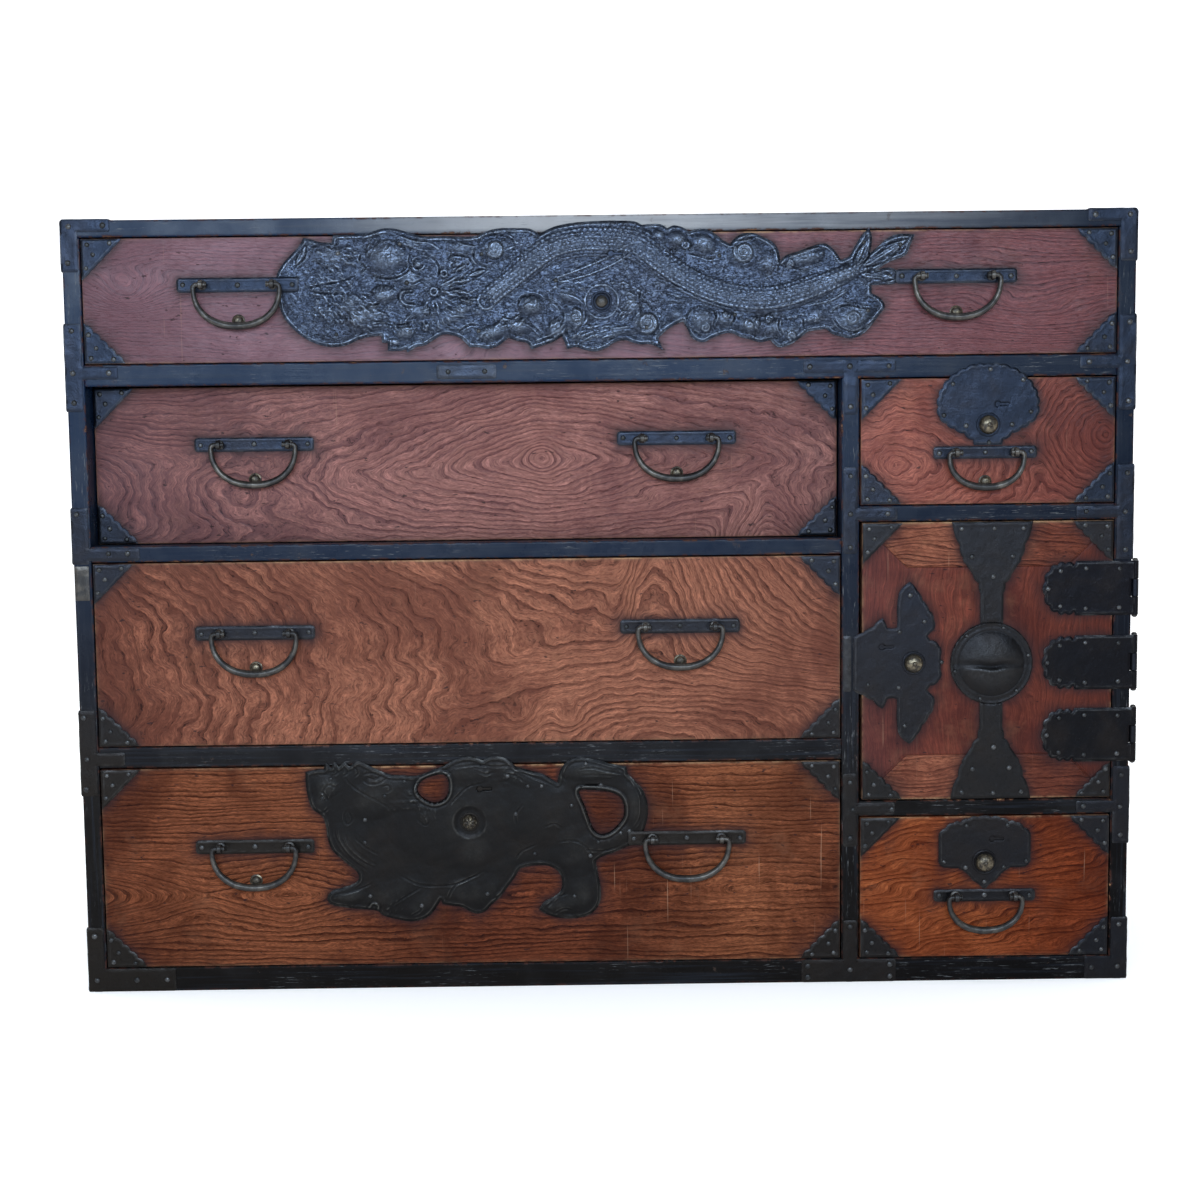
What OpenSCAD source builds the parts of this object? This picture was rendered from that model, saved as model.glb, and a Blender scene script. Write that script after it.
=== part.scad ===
// Chest of drawers with a hinged compartment, iron mounts, swinging bail
// handles and push-button locks. Millimetres, +Z up, front towards -Y.

/* [Carcass] */
// Width across the side boards
chest_w = 1200; // [1180:5:1240]
// Depth from the front edges to the back
chest_d = 450; // [430:5:500]
// Thickness of the side boards and of the centre post
side_t = 20; // [18:1:24]
// Thickness of the top board
top_t = 19; // [16:1:24]
// Thickness of the planks of the back
back_t = 10; // [8:1:12]
// Depth of the rails between the drawers
rail_d = 40; // [36:1:50]
// Thickness of the dust boards behind the rails
dust_t = 8; // [6:1:10]
// Centre line of the post between the two banks, from the middle
post_x = 280; // [276:1:284]

/* [Rows from the floor up] */
// Height of the base rail
base_h = 28; // [26:1:32]
// Height of the bottom drawer's opening
bottom_row = 234; // [232:1:240]
// Height of the rail over the bottom drawer
lower_rail = 24; // [20:1:28]
// Height of the middle drawer's opening
middle_row = 212; // [200:1:230]
// Height of the rail over the middle drawer
middle_rail = 18; // [16:1:24]
// Height of the upper drawer's opening
upper_row = 180; // [170:1:200]
// Height of the rail that runs across both banks
upper_rail = 24; // [20:1:28]
// Height of the top drawer's opening
top_row = 141; // [140:1:150]
// Height of the lower small drawer's opening
small_lower_row = 167; // [165:1:175]
// Height of the upper small drawer's opening
small_upper_row = 144; // [142:1:150]
// Height of the two rails above and below the door
door_rail = 18; // [16:1:22]

/* [Drawers and door] */
// Thickness of the drawer fronts and of the door
front_t = 20; // [18:1:22]
// Gap round a front in its opening
gap = 1.5; // [1:0.1:2]
// Gap at the door's free edge
door_gap = 3.5; // [3:0.1:4]
// How far the fronts stand proud of the rails
proud = 0.5; // [0.4:0.1:0.6]
// Length of a drawer from its face to its back
drawer_l = 409; // [380:1:409]
// Thickness of the sides and back of a drawer
box_t = 10; // [8:1:12]
// Thickness of a drawer's bottom
bottom_t = 7; // [6:1:9]
// How much deeper the upper drawer has been pushed in
pushed_in = 30; // [0:1:30]

/* [Ironwork] */
// Thickness of the sheet iron
iron_t = 1.5; // [1.2:0.1:1.8]
// Leg of the corner plates
corner_leg = 45; // [40:1:48]
// Depth of the irons that wrap round the sides
wrap_d = 46; // [30:1:60]
// Distance of a bail's pivot from the face of its drawer
pivot_off = 10; // [10:0.5:11]
// Half the width of a large bail, at the middle of its bar
bail_half = 48; // [46:1:50]
// Drop of a large bail from its pivot to the middle of its bar
bail_drop = 46; // [44:1:48]
// Half the width of a small bail
small_bail_half = 42; // [40:1:44]
// Drop of a small bail
small_bail_drop = 39; // [37:1:41]
// Radius of a bail's bar at its ends
bail_end_r = 2.6; // [2.4:0.1:2.8]
// Radius of a bail's bar at the bottom
bail_mid_r = 4.2; // [3.6:0.1:4.2]
// Radius of the pivot pins of the bails
pin_r = 2.42; // [2.40:0.01:2.44]
// Radius of the hole in an eye post
eye_r = 2.5; // [2.50:0.01:2.52]

/* [Locks and hinges] */
// Travel of a push button
press = 5; // [4:0.5:5]
// Rise of the bolt for each millimetre that its button goes in
bolt_gain = 1.6; // [1.4:0.1:1.6]
// Radius of the hinge knuckles
knuckle_r = 4; // [3.8:0.1:4.4]
// Radius of the hinge pins
hinge_pin_r = 1.95; // [1.90:0.01:1.96]
// Height of a hinge
hinge_h = 62; // [56:1:64]

/* [Hidden] */

LACQUER = "#1d2128";
KEYAKI = "#94503c";
PALE_WOOD = "#b99a72";
IRON = "#3a3d40";
BRONZE = "#8b7a55";

$fn = 32;
hair = 0.1;                       // joint line between two boards of one piece
half_w = chest_w / 2;
inner = half_w - side_t;          // half the width between the side boards
front_y = -chest_d / 2;
back_y = chest_d / 2 - back_t;    // inner face of the back
bank_l = post_x - side_t / 2;     // right end of the left bank
bank_r = post_x + side_t / 2;     // left end of the right bank

// Floor levels of the rows, added up from the base
z_bottom = base_h;
z_middle = z_bottom + bottom_row + lower_rail;
z_upper = z_middle + middle_row + middle_rail;
z_top = z_upper + upper_row + upper_rail;
under_rail = z_top - upper_rail;  // underside of the rail that runs across
chest_h = z_top + top_row + top_t;
z_small_upper = under_rail - small_upper_row;
z_door = base_h + small_lower_row + door_rail;
door_top = z_small_upper - door_rail;

// Opening of each drawer: name, left, right, floor, head, pushed in
TOP = 0;
UPPER = 1;
MIDDLE = 2;
BOTTOM = 3;
SMALL_UPPER = 4;
SMALL_LOWER = 5;
drawers = [
    ["top_drawer", -inner, inner, z_top, z_top + top_row, 0],
    ["upper_drawer", -inner, bank_l, z_upper, z_upper + upper_row, pushed_in],
    ["middle_drawer", -inner, bank_l, z_middle, z_middle + middle_row, 0],
    ["bottom_drawer", -inner, bank_l, z_bottom, z_bottom + bottom_row, 0],
    ["small_upper_drawer", bank_r, inner, z_small_upper, under_rail, 0],
    ["small_lower_drawer", bank_r, inner, base_h, base_h + small_lower_row, 0]];
floor_gap = 0.4;                  // running gap under a drawer
function face_y(i) = front_y - proud + drawers[i][5];
function left(i) = drawers[i][1] + gap;
function right(i) = drawers[i][2] - gap;
function low(i) = drawers[i][3] + 1;
function high(i) = drawers[i][4] - gap;
door_face = front_y - proud;

// Handles: drawer, name, middle, height over the drawer's floor, large, with its rest stud
handles = [
    [TOP, "top_drawer_bail_left", -405, 87, true, true],
    [TOP, "top_drawer_bail_right", 398, 88, true, true],
    [UPPER, "upper_drawer_bail_left", -397, 113, true, true],
    [UPPER, "upper_drawer_bail_right", 85, 115, true, true],
    [MIDDLE, "middle_drawer_bail_left", -397, 130, true, true],
    [MIDDLE, "middle_drawer_bail_right", 86, 132, true, true],
    [BOTTOM, "bottom_drawer_bail_left", -404, 141, true, true],
    [BOTTOM, "bottom_drawer_bail_right", 92, 145, true, false],
    [SMALL_UPPER, "small_upper_drawer_bail", 432, 59, false, true],
    [SMALL_LOWER, "small_lower_drawer_bail", 435, 73, false, false]];
eye_t = 5;                        // width of an eye post along the pivot
elbow = 4;                        // bend between a bail's pivot pin and its arm
neck_w = 5.2;
neck_in = 10;                     // how far an eye post's tang goes into the wood
function half_of(h) = h[4] ? bail_half : small_bail_half;
function drop_of(h) = h[4] ? bail_drop : small_bail_drop;
function eye_x(h) = half_of(h) - elbow - 2 - eye_t / 2;

// Locks: name, where it sits, middle of the button, button radius, washer radius
lock_x = [1, -157, 435, 435];
lock_z = [64, 167, 90, 112];      // over the floor of the drawer
lock_of = [TOP, BOTTOM, SMALL_UPPER, SMALL_LOWER];
button_rad = [7, 8, 10.5, 10.5];
washer_rad = [15, 13, 13.5, 14.5];
door_lock_x = 352;
door_lock_z = 372;
door_button_r = 10.5;
bolt_w = 16;
bolt_t = 6;
bolt_y = front_t + 2.2;           // front face of the bolt, behind the board's face
case_d = 19;
case_w = 52;
wedge_y = front_t + 0.8;          // where the button's wedge starts
wedge_l = 9;
wedge_z = 11;                     // top of the wedge at its thick end
mortise_d = 8;

// Hinge line, at the outer right corner of the front
hinge_x = half_w + knuckle_r + 0.5;
hinge_y = door_face - iron_t + knuckle_r;
hinges = [287, 370.5, 455.5];     // middles of the three hinges
knuckle_gap = 0.3;
door_l = bank_r + door_gap;
door_r = inner - gap;
door_low = z_door + gap;
door_high = door_top - gap;
batten_h = 51;                    // height of the end boards of the door

// ---------------------------------------------------------------- outlines
// Closed curve through points [x, y]; a third value of 1 makes a sharp corner
function tangent(p, i) = let (m = len(p))
    p[i][2] == 1 ? undef : (flat2(p[(i + 1) % m]) - flat2(p[(i + m - 1) % m])) / 2;
function flat2(v) = [v[0], v[1]];
function hermite(a, b, ta, tb, t) =
    a * (2 * t ^ 3 - 3 * t ^ 2 + 1) + ta * (t ^ 3 - 2 * t ^ 2 + t)
    + b * (3 * t ^ 2 - 2 * t ^ 3) + tb * (t ^ 3 - t ^ 2);
function curve(p, n = 3) = let (m = len(p)) [
    for (i = [0 : m - 1])
        let (a = flat2(p[i]), b = flat2(p[(i + 1) % m]), ca = tangent(p, i), cb = tangent(p, (i + 1) % m),
            ta = ca == undef ? b - a : ca, tb = cb == undef ? b - a : cb)
        for (k = [0 : n - 1]) hermite(a, b, ta, tb, k / n)];

// Outline of arcs: each point [x, y, s] starts an arc that swells out by s
function bow(a, b, s, t) = let (d = b - a)
    a + d * t + [d[1], -d[0]] / norm(d) * 4 * s * t * (1 - t);
function arcs(p, n = 4) = let (m = len(p)) [
    for (i = [0 : m - 1])
        let (a = flat2(p[i]), b = flat2(p[(i + 1) % m]), s = p[i][2])
        for (k = [0 : (s == 0 ? 1 : n) - 1]) bow(a, b, s, k / n)];
// A half outline and its reflection, left to right or top to bottom
function both(p) = let (m = len(p)) concat(p, [
    for (i = [m - 1 : -1 : 0]) [-p[i][0], p[i][1], i > 0 ? p[i - 1][2] : 0]]);
function both_z(p) = let (m = len(p)) concat(p, [
    for (i = [m - 1 : -1 : 0]) [p[i][0], -p[i][1], i > 0 ? p[i - 1][2] : 0]]);

// Head of the dragon at the left, tail fins at the right; y over the drawer's floor
dragon = [
    [-330, 138, 1], [-336, 128], [-346, 118], [-355, 108], [-361, 97], [-362, 84], [-360, 68], [-356, 54],
    [-349, 43], [-338, 32], [-326, 24], [-313, 19], [-300, 17], [-285, 19], [-271, 25], [-258, 28],
    [-246, 29, 1], [-245, 21, 1], [-239, 21, 1], [-239, 12, 1], [-225, 12], [-219, 14, 1], [-217, 10, 1],
    [-207, 16], [-197, 18], [-187, 24], [-178, 29], [-168, 29], [-157, 25], [-147, 15, 1], [-137, 15],
    [-128, 13], [-116, 16], [-104, 25, 1], [-92, 21], [-83, 19], [-78, 12, 1], [-66, 16], [-54, 20],
    [-44, 26, 1], [-41, 20], [-38, 12, 1], [-28, 14], [-19, 11], [-6, 9], [6, 13], [16, 19], [27, 21],
    [36, 18], [45, 16], [56, 16], [69, 10, 1], [64, 23, 1], [74, 32], [84, 38], [92, 41, 1], [96, 34],
    [101, 24], [108, 19], [116, 18], [126, 23], [138, 27], [148, 27], [156, 23], [168, 20], [178, 17],
    [190, 19, 1], [196, 13], [202, 11], [214, 15], [224, 22], [232, 28], [244, 30], [252, 31, 1],
    [260, 25], [270, 22], [280, 20], [292, 24], [302, 33], [311, 45], [318, 55], [313, 64], [303, 70, 1],
    [303, 79, 1], [328, 80], [334, 86], [332, 94], [321, 98], [308, 95, 1], [322, 104], [340, 111],
    [346, 122], [351, 134, 1], [336, 135], [322, 131], [310, 121], [301, 114, 1], [303, 124], [303, 134],
    [300, 142, 1], [292, 134], [284, 121], [278, 111], [269, 107, 1], [262, 117], [254, 124], [246, 125],
    [232, 121], [218, 116], [208, 113], [201, 107, 1], [199, 118], [193, 127], [182, 133], [170, 138],
    [158, 137], [149, 131], [145, 126, 1], [137, 130], [130, 136], [121, 142], [110, 143], [99, 140, 1],
    [92, 145], [82, 147], [75, 144, 1], [69, 148], [60, 149], [47, 148, 1], [38, 152], [22, 153],
    [0, 153], [-20, 152], [-38, 150], [-54, 146], [-68, 139, 1], [-78, 145], [-95, 146], [-112, 146],
    [-126, 143], [-138, 138], [-152, 137], [-172, 138], [-192, 138], [-206, 140], [-218, 144],
    [-230, 147], [-243, 147], [-256, 143], [-270, 141], [-285, 141], [-297, 140, 1], [-299, 132, 1],
    [-312, 133], [-322, 136]];

// Lion with its head turned up at the left and its tail looped at the right
lion = [
    [-344, 227, 1], [-331, 230], [-323, 230, 1], [-321, 239, 1], [-315, 232, 1], [-310, 240, 1],
    [-306, 233, 1], [-299, 239, 1], [-294, 233, 1], [-284, 239], [-272, 234], [-260, 228], [-247, 223],
    [-234, 222], [-221, 221], [-210, 223], [-198, 228], [-187, 232], [-176, 238], [-164, 242],
    [-152, 242], [-141, 238, 1], [-133, 242], [-121, 242], [-111, 238], [-103, 230, 1], [-88, 226],
    [-72, 221], [-56, 211, 1], [-54, 221], [-49, 231], [-41, 238], [-28, 240], [-10, 237], [8, 232],
    [23, 229, 1], [25, 220, 1], [34, 211], [42, 201], [47, 186], [47, 170], [43, 155], [38, 142],
    [22, 135], [8, 129], [-6, 124], [-13, 119, 1], [-11, 106], [-8, 90], [-8, 74], [-14, 62],
    [-24, 55], [-40, 52], [-56, 53], [-70, 57], [-79, 63, 1], [-73, 72], [-62, 78], [-54, 85],
    [-52, 96], [-56, 107], [-67, 114], [-84, 115], [-100, 111], [-106, 102], [-115, 90], [-124, 78],
    [-133, 70], [-141, 62], [-150, 59], [-159, 62], [-168, 67], [-180, 69], [-190, 71, 1],
    [-192, 76, 1], [-197, 68], [-204, 59], [-214, 53], [-228, 51], [-244, 54], [-258, 58], [-266, 64],
    [-282, 66], [-300, 68], [-318, 72], [-323, 80], [-317, 88], [-304, 92], [-292, 96], [-286, 102],
    [-288, 110], [-297, 118], [-306, 126], [-315, 135], [-320, 147], [-322, 162], [-326, 175],
    [-337, 184], [-342, 198], [-344, 213]];
lion_neck_hole = [
    [-216, 208], [-210, 216], [-198, 221], [-186, 222], [-181, 215], [-181, 203], [-186, 194],
    [-197, 190], [-208, 194], [-215, 201]];
lion_tail_hole = [
    [-31, 201], [-16, 202], [2, 200], [15, 194], [20, 183], [19, 170], [11, 159], [1, 152], [-8, 151],
    [-15, 157], [-20, 169], [-25, 184]];

// What is beaten up out of the two plates: lines of [x, y, half width] that fade at their ends,
// and round bosses of [x, y, radius, rise]. The dragon's body arches over the button, with its
// snout, jaw, crest, forearm, hind leg and tail fins, and clouds above and below it
dragon_limbs = [
    [[-156, 44, 3], [-128, 66, 11], [-103, 87, 14], [-79, 105, 16], [-52, 121, 17], [-26, 129, 18], [4, 131, 17],
        [38, 124, 16], [70, 105, 15], [101, 86, 15], [134, 73, 15], [168, 66, 15], [203, 68, 13], [232, 76, 11],
        [260, 86, 8], [284, 95, 5], [294, 99, 2]],
    [[-326, 86, 2], [-300, 94, 12], [-262, 100, 17], [-228, 98, 14], [-202, 90, 3]],
    [[-334, 70, 2], [-304, 58, 15], [-268, 47, 20], [-238, 43, 13], [-212, 47, 3]],
    [[-268, 134, 2], [-244, 139, 6], [-212, 132, 6], [-182, 126, 5], [-150, 128, 2]],
    [[-66, 94, 2], [-44, 82, 8], [-26, 64, 9], [-28, 42, 8], [-46, 28, 2]],
    [[32, 98, 2], [52, 84, 8], [76, 70, 8], [98, 58, 6], [118, 44, 2]],
    [[284, 97, 2], [298, 114, 5], [302, 132, 2]],
    [[290, 98, 2], [318, 116, 6], [344, 130, 2]],
    [[288, 90, 2], [308, 88, 5], [325, 87, 2]]];
dragon_bosses = [
    [-300, 120, 14, 1.2], [-219, 34, 10, 1.5], [-176, 80, 10, 2], [-117, 123, 15, 1.8], [-84, 58, 12, 1.8],
    [-112, 35, 12, 1.6], [4, 34, 13, 1.4], [50, 40, 15, 1.8], [134, 38, 12, 1.7], [166, 38, 13, 1.9],
    [212, 32, 12, 1.5], [280, 44, 17, 1.9], [116, 124, 13, 1.8], [160, 116, 17, 1.9], [226, 108, 10, 1.7]];
// The lion's trunk, hind leg, three forelegs, beard, brow and looped tail
lion_limbs = [
    [[-314, 198, 3], [-294, 194, 16], [-262, 186, 25], [-222, 170, 32], [-176, 158, 36], [-126, 160, 34],
        [-88, 174, 27], [-58, 190, 14], [-44, 197, 3]],
    [[-84, 192, 3], [-66, 170, 17], [-44, 144, 17], [-33, 116, 14], [-32, 90, 12], [-44, 71, 9], [-64, 62, 3]],
    [[-212, 150, 3], [-232, 130, 17], [-256, 104, 15], [-282, 84, 9], [-314, 79, 3]],
    [[-178, 136, 3], [-190, 116, 17], [-208, 88, 15], [-228, 66, 9], [-246, 61, 3]],
    [[-134, 136, 3], [-134, 116, 14], [-138, 96, 13], [-146, 76, 9], [-158, 67, 3]],
    [[-334, 214, 2], [-320, 196, 8], [-312, 170, 8], [-302, 146, 6], [-286, 126, 2]],
    [[-290, 232, 2], [-266, 220, 8], [-240, 213, 7], [-216, 211, 2]],
    [[-50, 216, 2], [-34, 226, 6], [-8, 226, 7], [18, 214, 7], [34, 194, 7], [33, 172, 6], [20, 148, 6],
        [-2, 136, 6], [-14, 132, 2]]];
lion_bosses = [[-306, 222, 13, 2], [-164, 228, 11, 1.3], [-118, 228, 10, 1.1]];

// Lock plates, round the button: a scalloped dome, a fan and a butterfly
dome_plate = both([
    [16, -23, 0], [17, -17, 1.5], [29, -7, 1.5], [41, 0, 0], [50, 3, 1.5], [56, 9, 1.5], [57, 33, 2],
    [51, 48, 1.5], [41, 57, 1.5], [28, 64, 1.5], [11, 68, 1]]);
fan_plate = both([
    [2, -31, -1], [13, -22, -1], [26, -9, 0], [30, -7, 0], [47, -6, 1], [53, 1, 0], [53, 31, 2],
    [45, 42, 1.5], [37, 48, 1], [26, 50, 0], [25, 53, 1.5], [9, 55, 1]]);
butterfly_plate = both_z([
    [34, 14, 0], [31, 25, -1], [26, 36, 0], [26, 48, 1.5], [17, 61, 1.5], [9, 70, 0], [3, 80, 1],
    [-4, 92, 1.5], [-18, 82, 0], [-20, 58, -1], [-19, 40, -1], [-30, 42, 1], [-28, 54, 1.5],
    [-43, 40, 1], [-55, 36, 1], [-69, 29, 0]]);
// Strap at the head of the door, upside down: wide at its foot, narrow at its tip
bow_strap = both([
    [46, 0, 0], [44, 10, 1], [37, 26, 1.5], [33, 41, 1], [30, 48, 0], [22, 60, 1.5], [15, 70, 1],
    [13, 82, 0]]);
// Half of a hinge leaf, from the hinge line to its scalloped tip
leaf_tip = both([
    [hinge_h / 2, 0, 0], [hinge_h / 2, 66, 2], [19, 74, 5], [22, 92, 2], [16, 99, 2], [8, 105, 1]]);

// ------------------------------------------------------------ small helpers
module board(lo, hi) {
    translate(lo) cube([for (i = [0 : 2]) hi[i] - lo[i]]);
}

// A flat shape drawn as seen from the front, standing out from y = 0 by its thickness
module sheet(t = iron_t) {
    rotate([90, 0, 0]) linear_extrude(t) children();
}

module rounded(w, h, r) {
    polygon([for (c = [[1, -1, -90], [1, 1, 0], [-1, 1, 90], [-1, -1, 180]], a = [0 : 22.5 : 90])
        [c[0] * (w / 2 - r), c[1] * (h / 2 - r)] + r * [cos(c[2] + a), sin(c[2] + a)]]);
}

module rounded_box2d(x0, z0, x1, z1, r = 3) {
    translate([(x0 + x1) / 2, (z0 + z1) / 2]) rounded(x1 - x0, z1 - z0, r);
}

module keyhole() {
    circle(r = 3);
    translate([0, -1.2]) square([13, 2.4]);
}

module domed_head(r, h) {
    // a low dome on the plane y = 0, pointing forward
    sphere_r = (r * r + h * h) / (2 * h);
    rotate([90, 0, 0]) rotate_extrude() polygon(concat([[0, 0]], [
        for (k = [0 : 6]) let (x = r * cos(k * 15)) [x, sqrt(sphere_r ^ 2 - x ^ 2) - sphere_r + h]]));
}

// ------------------------------------------------------------------ carcass
finger_h = 15;                    // depth of the pins that join the sides to the top
fingers = 7;
module finger_row(odd) {
    pitch = chest_d / fingers;
    for (i = [0 : fingers - 1])
        if (i % 2 == odd)
            translate([0, front_y + i * pitch + hair / 2, 0]) cube([side_t, pitch - hair, finger_h]);
}

module side_panel(s) {
    x0 = s > 0 ? inner : -half_w;
    color(LACQUER) {
        board([x0, front_y, 0], [x0 + side_t, -front_y, chest_h - top_t]);
        translate([x0, 0, chest_h - top_t - 0.01]) finger_row(1);
    }
}
module side_panel_left() { side_panel(-1); }
module side_panel_right() { side_panel(1); }

module top_board() {
    color(LACQUER) difference() {
        board([-half_w, front_y, chest_h - top_t], [half_w, -front_y, chest_h]);
        for (x = [-half_w - 1, inner - hair])
            translate([x, 0, chest_h - top_t - 1])
                for (i = [1 : 2 : fingers - 1])
                    translate([0, front_y + i * chest_d / fingers - hair, 0])
                        cube([side_t + 1 + hair, chest_d / fingers + hair * 2, finger_h + 1 + hair]);
        bolt_mortise(0, z_top + top_row);
    }
}

module bottom_board() {
    color(PALE_WOOD) board([-inner, front_y + rail_d, 0], [inner, back_y, base_h - dust_t]);
}

module back_planks() {
    count = 4;
    h = (chest_h - top_t) / count;
    color(PALE_WOOD) for (i = [0 : count - 1])
        board([-inner, back_y, i * h + hair], [inner, -front_y, (i + 1) * h - hair]);
}

// Slot in the underside of a rail, where a lock's bolt goes up
module bolt_mortise(k, z) {
    i = lock_of[k];
    translate([lock_x[k] - bolt_w / 2 - 1.5, face_y(i) + bolt_y - 1.2, z - 1])
        cube([bolt_w + 3, bolt_t + 2.4, mortise_d + 1]);
}

module partition() {
    color(LACQUER) difference() {
        board([bank_l, front_y, base_h], [bank_r, back_y, under_rail]);
        translate([bank_r - 7, door_face + bolt_y - 1.2, door_lock_z - bolt_w / 2 - 1.5])
            cube([8, bolt_t + 2.4, bolt_w + 3]);
    }
}

// Rails: left, right, underside, upper side, and the lock that bolts into it
rails = [
    [-inner, inner, 0, base_h, -1],
    [-inner, bank_l, z_middle - lower_rail, z_middle, 1],
    [-inner, bank_l, z_upper - middle_rail, z_upper, -1],
    [-inner, inner, under_rail, z_top, 2],
    [bank_r, inner, z_door - door_rail, z_door, 3],
    [bank_r, inner, door_top, door_top + door_rail, -1]];

module front_rails() {
    color(LACQUER) for (r = rails) difference() {
        board([r[0], front_y, r[2]], [r[1], front_y + rail_d, r[3]]);
        if (r[4] > 0) bolt_mortise(r[4], r[2]);
    }
}

module dust_boards() {
    color(PALE_WOOD) for (r = rails)
        board([r[0] + hair, front_y + rail_d + hair, r[3] - dust_t], [r[1] - hair, back_y - hair, r[3]]);
}

shelf_z = 165;                    // height of the inner shelf over the floor of its compartment
module inner_shelf() {
    z = z_door + shelf_z;
    y0 = front_y + 70;
    color(PALE_WOOD) {
        board([bank_r + 1, y0, z], [inner - 1, back_y - 1, z + 9]);
        for (x = [bank_r + 0.5, inner - 12.5])
            board([x, y0 + 15, z - 12], [x + 12, back_y - 1, z - hair]);
    }
}

module drawer_stops() {
    color(PALE_WOOD) for (i = [TOP, MIDDLE, BOTTOM, SMALL_UPPER, SMALL_LOWER], f = [0.15, 0.85]) {
        x = drawers[i][1] + f * (drawers[i][2] - drawers[i][1]);
        board([x - 12, face_y(i) + drawer_l + 0.5, drawers[i][3] + hair],
            [x + 12, back_y - hair, drawers[i][3] + 30]);
    }
}

// ------------------------------------------------------------ frame irons
leg_w = 18;                       // width of an iron on a post
// Post irons: side (-1, 1), foot, head, end of the arm from the middle, arm's underside and top
post_irons = [
    [-1, 823, 881.5, 546, 867, 881.5],
    [-1, 668, 766, 542, 704, 718],
    [-1, 496, 560, 525, 500, 514],
    [-1, 230, 329, 550, 265, 280],
    [-1, 0.5, 76, 500, 0.5, 27],
    [1, 823, 881.5, 545, 867, 881.5],
    [1, 657, 764, 538, 704, 718],
    [1, 488, 596, 536, 536, 549],
    [1, 160, 250, 540, 197, 210],
    [1, 0.5, 73, 552, 0.5, 27]];
// Irons on the centre post: foot, head, and the arm's left, right, underside and top
centre_irons = [
    [655, 716, 227, 331, 702, 716],
    [498, 596, 280, 333, 536, 550],
    [160, 245, 280, 331, 197, 211],
    [0.5, 73, 224, 333, 0.5, 27]];

module post_iron(p) {
    outer = half_w + iron_t;
    translate([0, front_y, 0]) sheet() mirror([p[0] < 0 ? 1 : 0, 0]) {
        rounded_box2d(half_w - leg_w, p[1], outer, p[2], 2);
        rounded_box2d(p[3], p[4], outer, p[5], 2);
    }
    translate([p[0] > 0 ? half_w : -outer, front_y - iron_t, p[1]]) cube([iron_t, wrap_d, p[2] - p[1]]);
}

module frame_irons() {
    color(IRON) {
        for (p = post_irons) post_iron(p);
        for (s = [-1, 1])         // the head irons also wrap over the top board
            translate([s > 0 ? post_irons[5][3] : -half_w - iron_t, front_y - iron_t, chest_h])
                cube([half_w + iron_t - post_irons[5][3], wrap_d, iron_t]);
        translate([0, front_y, 0]) sheet() {
            for (c = centre_irons) {
                rounded_box2d(bank_l + 2, c[0], bank_r - 2, c[1], 3);
                rounded_box2d(c[2], c[4], c[3], c[5], 3);
            }
            rounded_box2d(bank_l + 2, 340, bank_l + 11, 404, 2);
            rounded_box2d(-185, 700, -118, 716, 3);
        }
        // light-coloured repair on the left post
        translate([-half_w, front_y, 0]) sheet() rounded_box2d(1, 455, 17, 494, 1);
    }
}

// ------------------------------------------------------------------ hinges
module knuckle(z0, z1) {
    translate([0, 0, z0]) difference() {
        cylinder(r = knuckle_r, h = z1 - z0);
        translate([0, 0, -1]) cylinder(r = hinge_pin_r + 0.05, h = z1 - z0 + 2);
    }
}

third = hinge_h / 6;              // half the height of a middle knuckle
module hinge_side_leaves() {
    color(IRON) for (z = hinges) translate([hinge_x, hinge_y, z]) {
        knuckle(-third + knuckle_gap, third - knuckle_gap);
        x = half_w - hinge_x;
        board([x, 0, -third + knuckle_gap], [x + iron_t, knuckle_r + 1, third - knuckle_gap]);
        board([x, knuckle_r + 0.6, -hinge_h / 2], [x + iron_t, wrap_d, hinge_h / 2]);
    }
}

module hinge_pins() {
    color(IRON) for (z = hinges) translate([hinge_x, hinge_y, z]) {
        cylinder(r = hinge_pin_r, h = hinge_h + 1, center = true);
        for (s = [0, 1]) mirror([0, 0, s]) translate([0, 0, hinge_h / 2 + 0.4])
            rotate([-90, 0, 0]) domed_head(3.4, 2.6);
    }
}

module door_hinge_leaves() {
    color(IRON) for (z = hinges) translate([hinge_x, hinge_y, z]) {
        translate([0, iron_t - knuckle_r, 0]) sheet() difference() {
            rotate(90) polygon(arcs(leaf_tip));
            translate([-knuckle_r - 1.5, -third]) square([knuckle_r + 3, third * 2]);
        }
        knuckle(-hinge_h / 2, -third);
        knuckle(third, hinge_h / 2);
    }
}

// -------------------------------------------------------------------- door
mitre_l = door_l + batten_h;
mitre_r = door_r - batten_h;
module door_body() {
    translate([0, door_face + front_t, 0]) sheet(front_t) children();
}

module batten_outline(z_out, z_in) {
    polygon([[door_l, z_out], [door_r, z_out], [mitre_r, z_in], [mitre_l, z_in]]);
}

module door_panel() {
    color(KEYAKI) difference() {
        door_body() polygon([[door_l, door_low + hair], [mitre_l, door_low + batten_h + hair],
            [mitre_r, door_low + batten_h + hair], [door_r, door_low + hair],
            [door_r, door_high - hair], [mitre_r, door_high - batten_h - hair],
            [mitre_l, door_high - batten_h - hair], [door_l, door_high - hair]]);
        lock_holes(door_lock_x, door_lock_z, door_face, door_button_r);
    }
}

module door_battens() {
    color(KEYAKI) door_body() {
        batten_outline(door_low, door_low + batten_h - hair);
        batten_outline(door_high, door_high - batten_h + hair);
    }
}

medal_x = 441;
medal_z = 371;
medal_r = 47;
module medallion() {
    // a rim, a hollow and a crown, turned about the middle
    profile = [[0, 0], [medal_r, 0], [medal_r, iron_t], [medal_r - 4, iron_t + 1.2], [medal_r - 8, iron_t + 0.4],
        [34, 3.2], [26, 5.6], [17, 7.4], [8, 8.4], [0, 8.7]];
    rotate([90, 0, 0]) rotate_extrude($fn = 48) polygon(profile);
}

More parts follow.
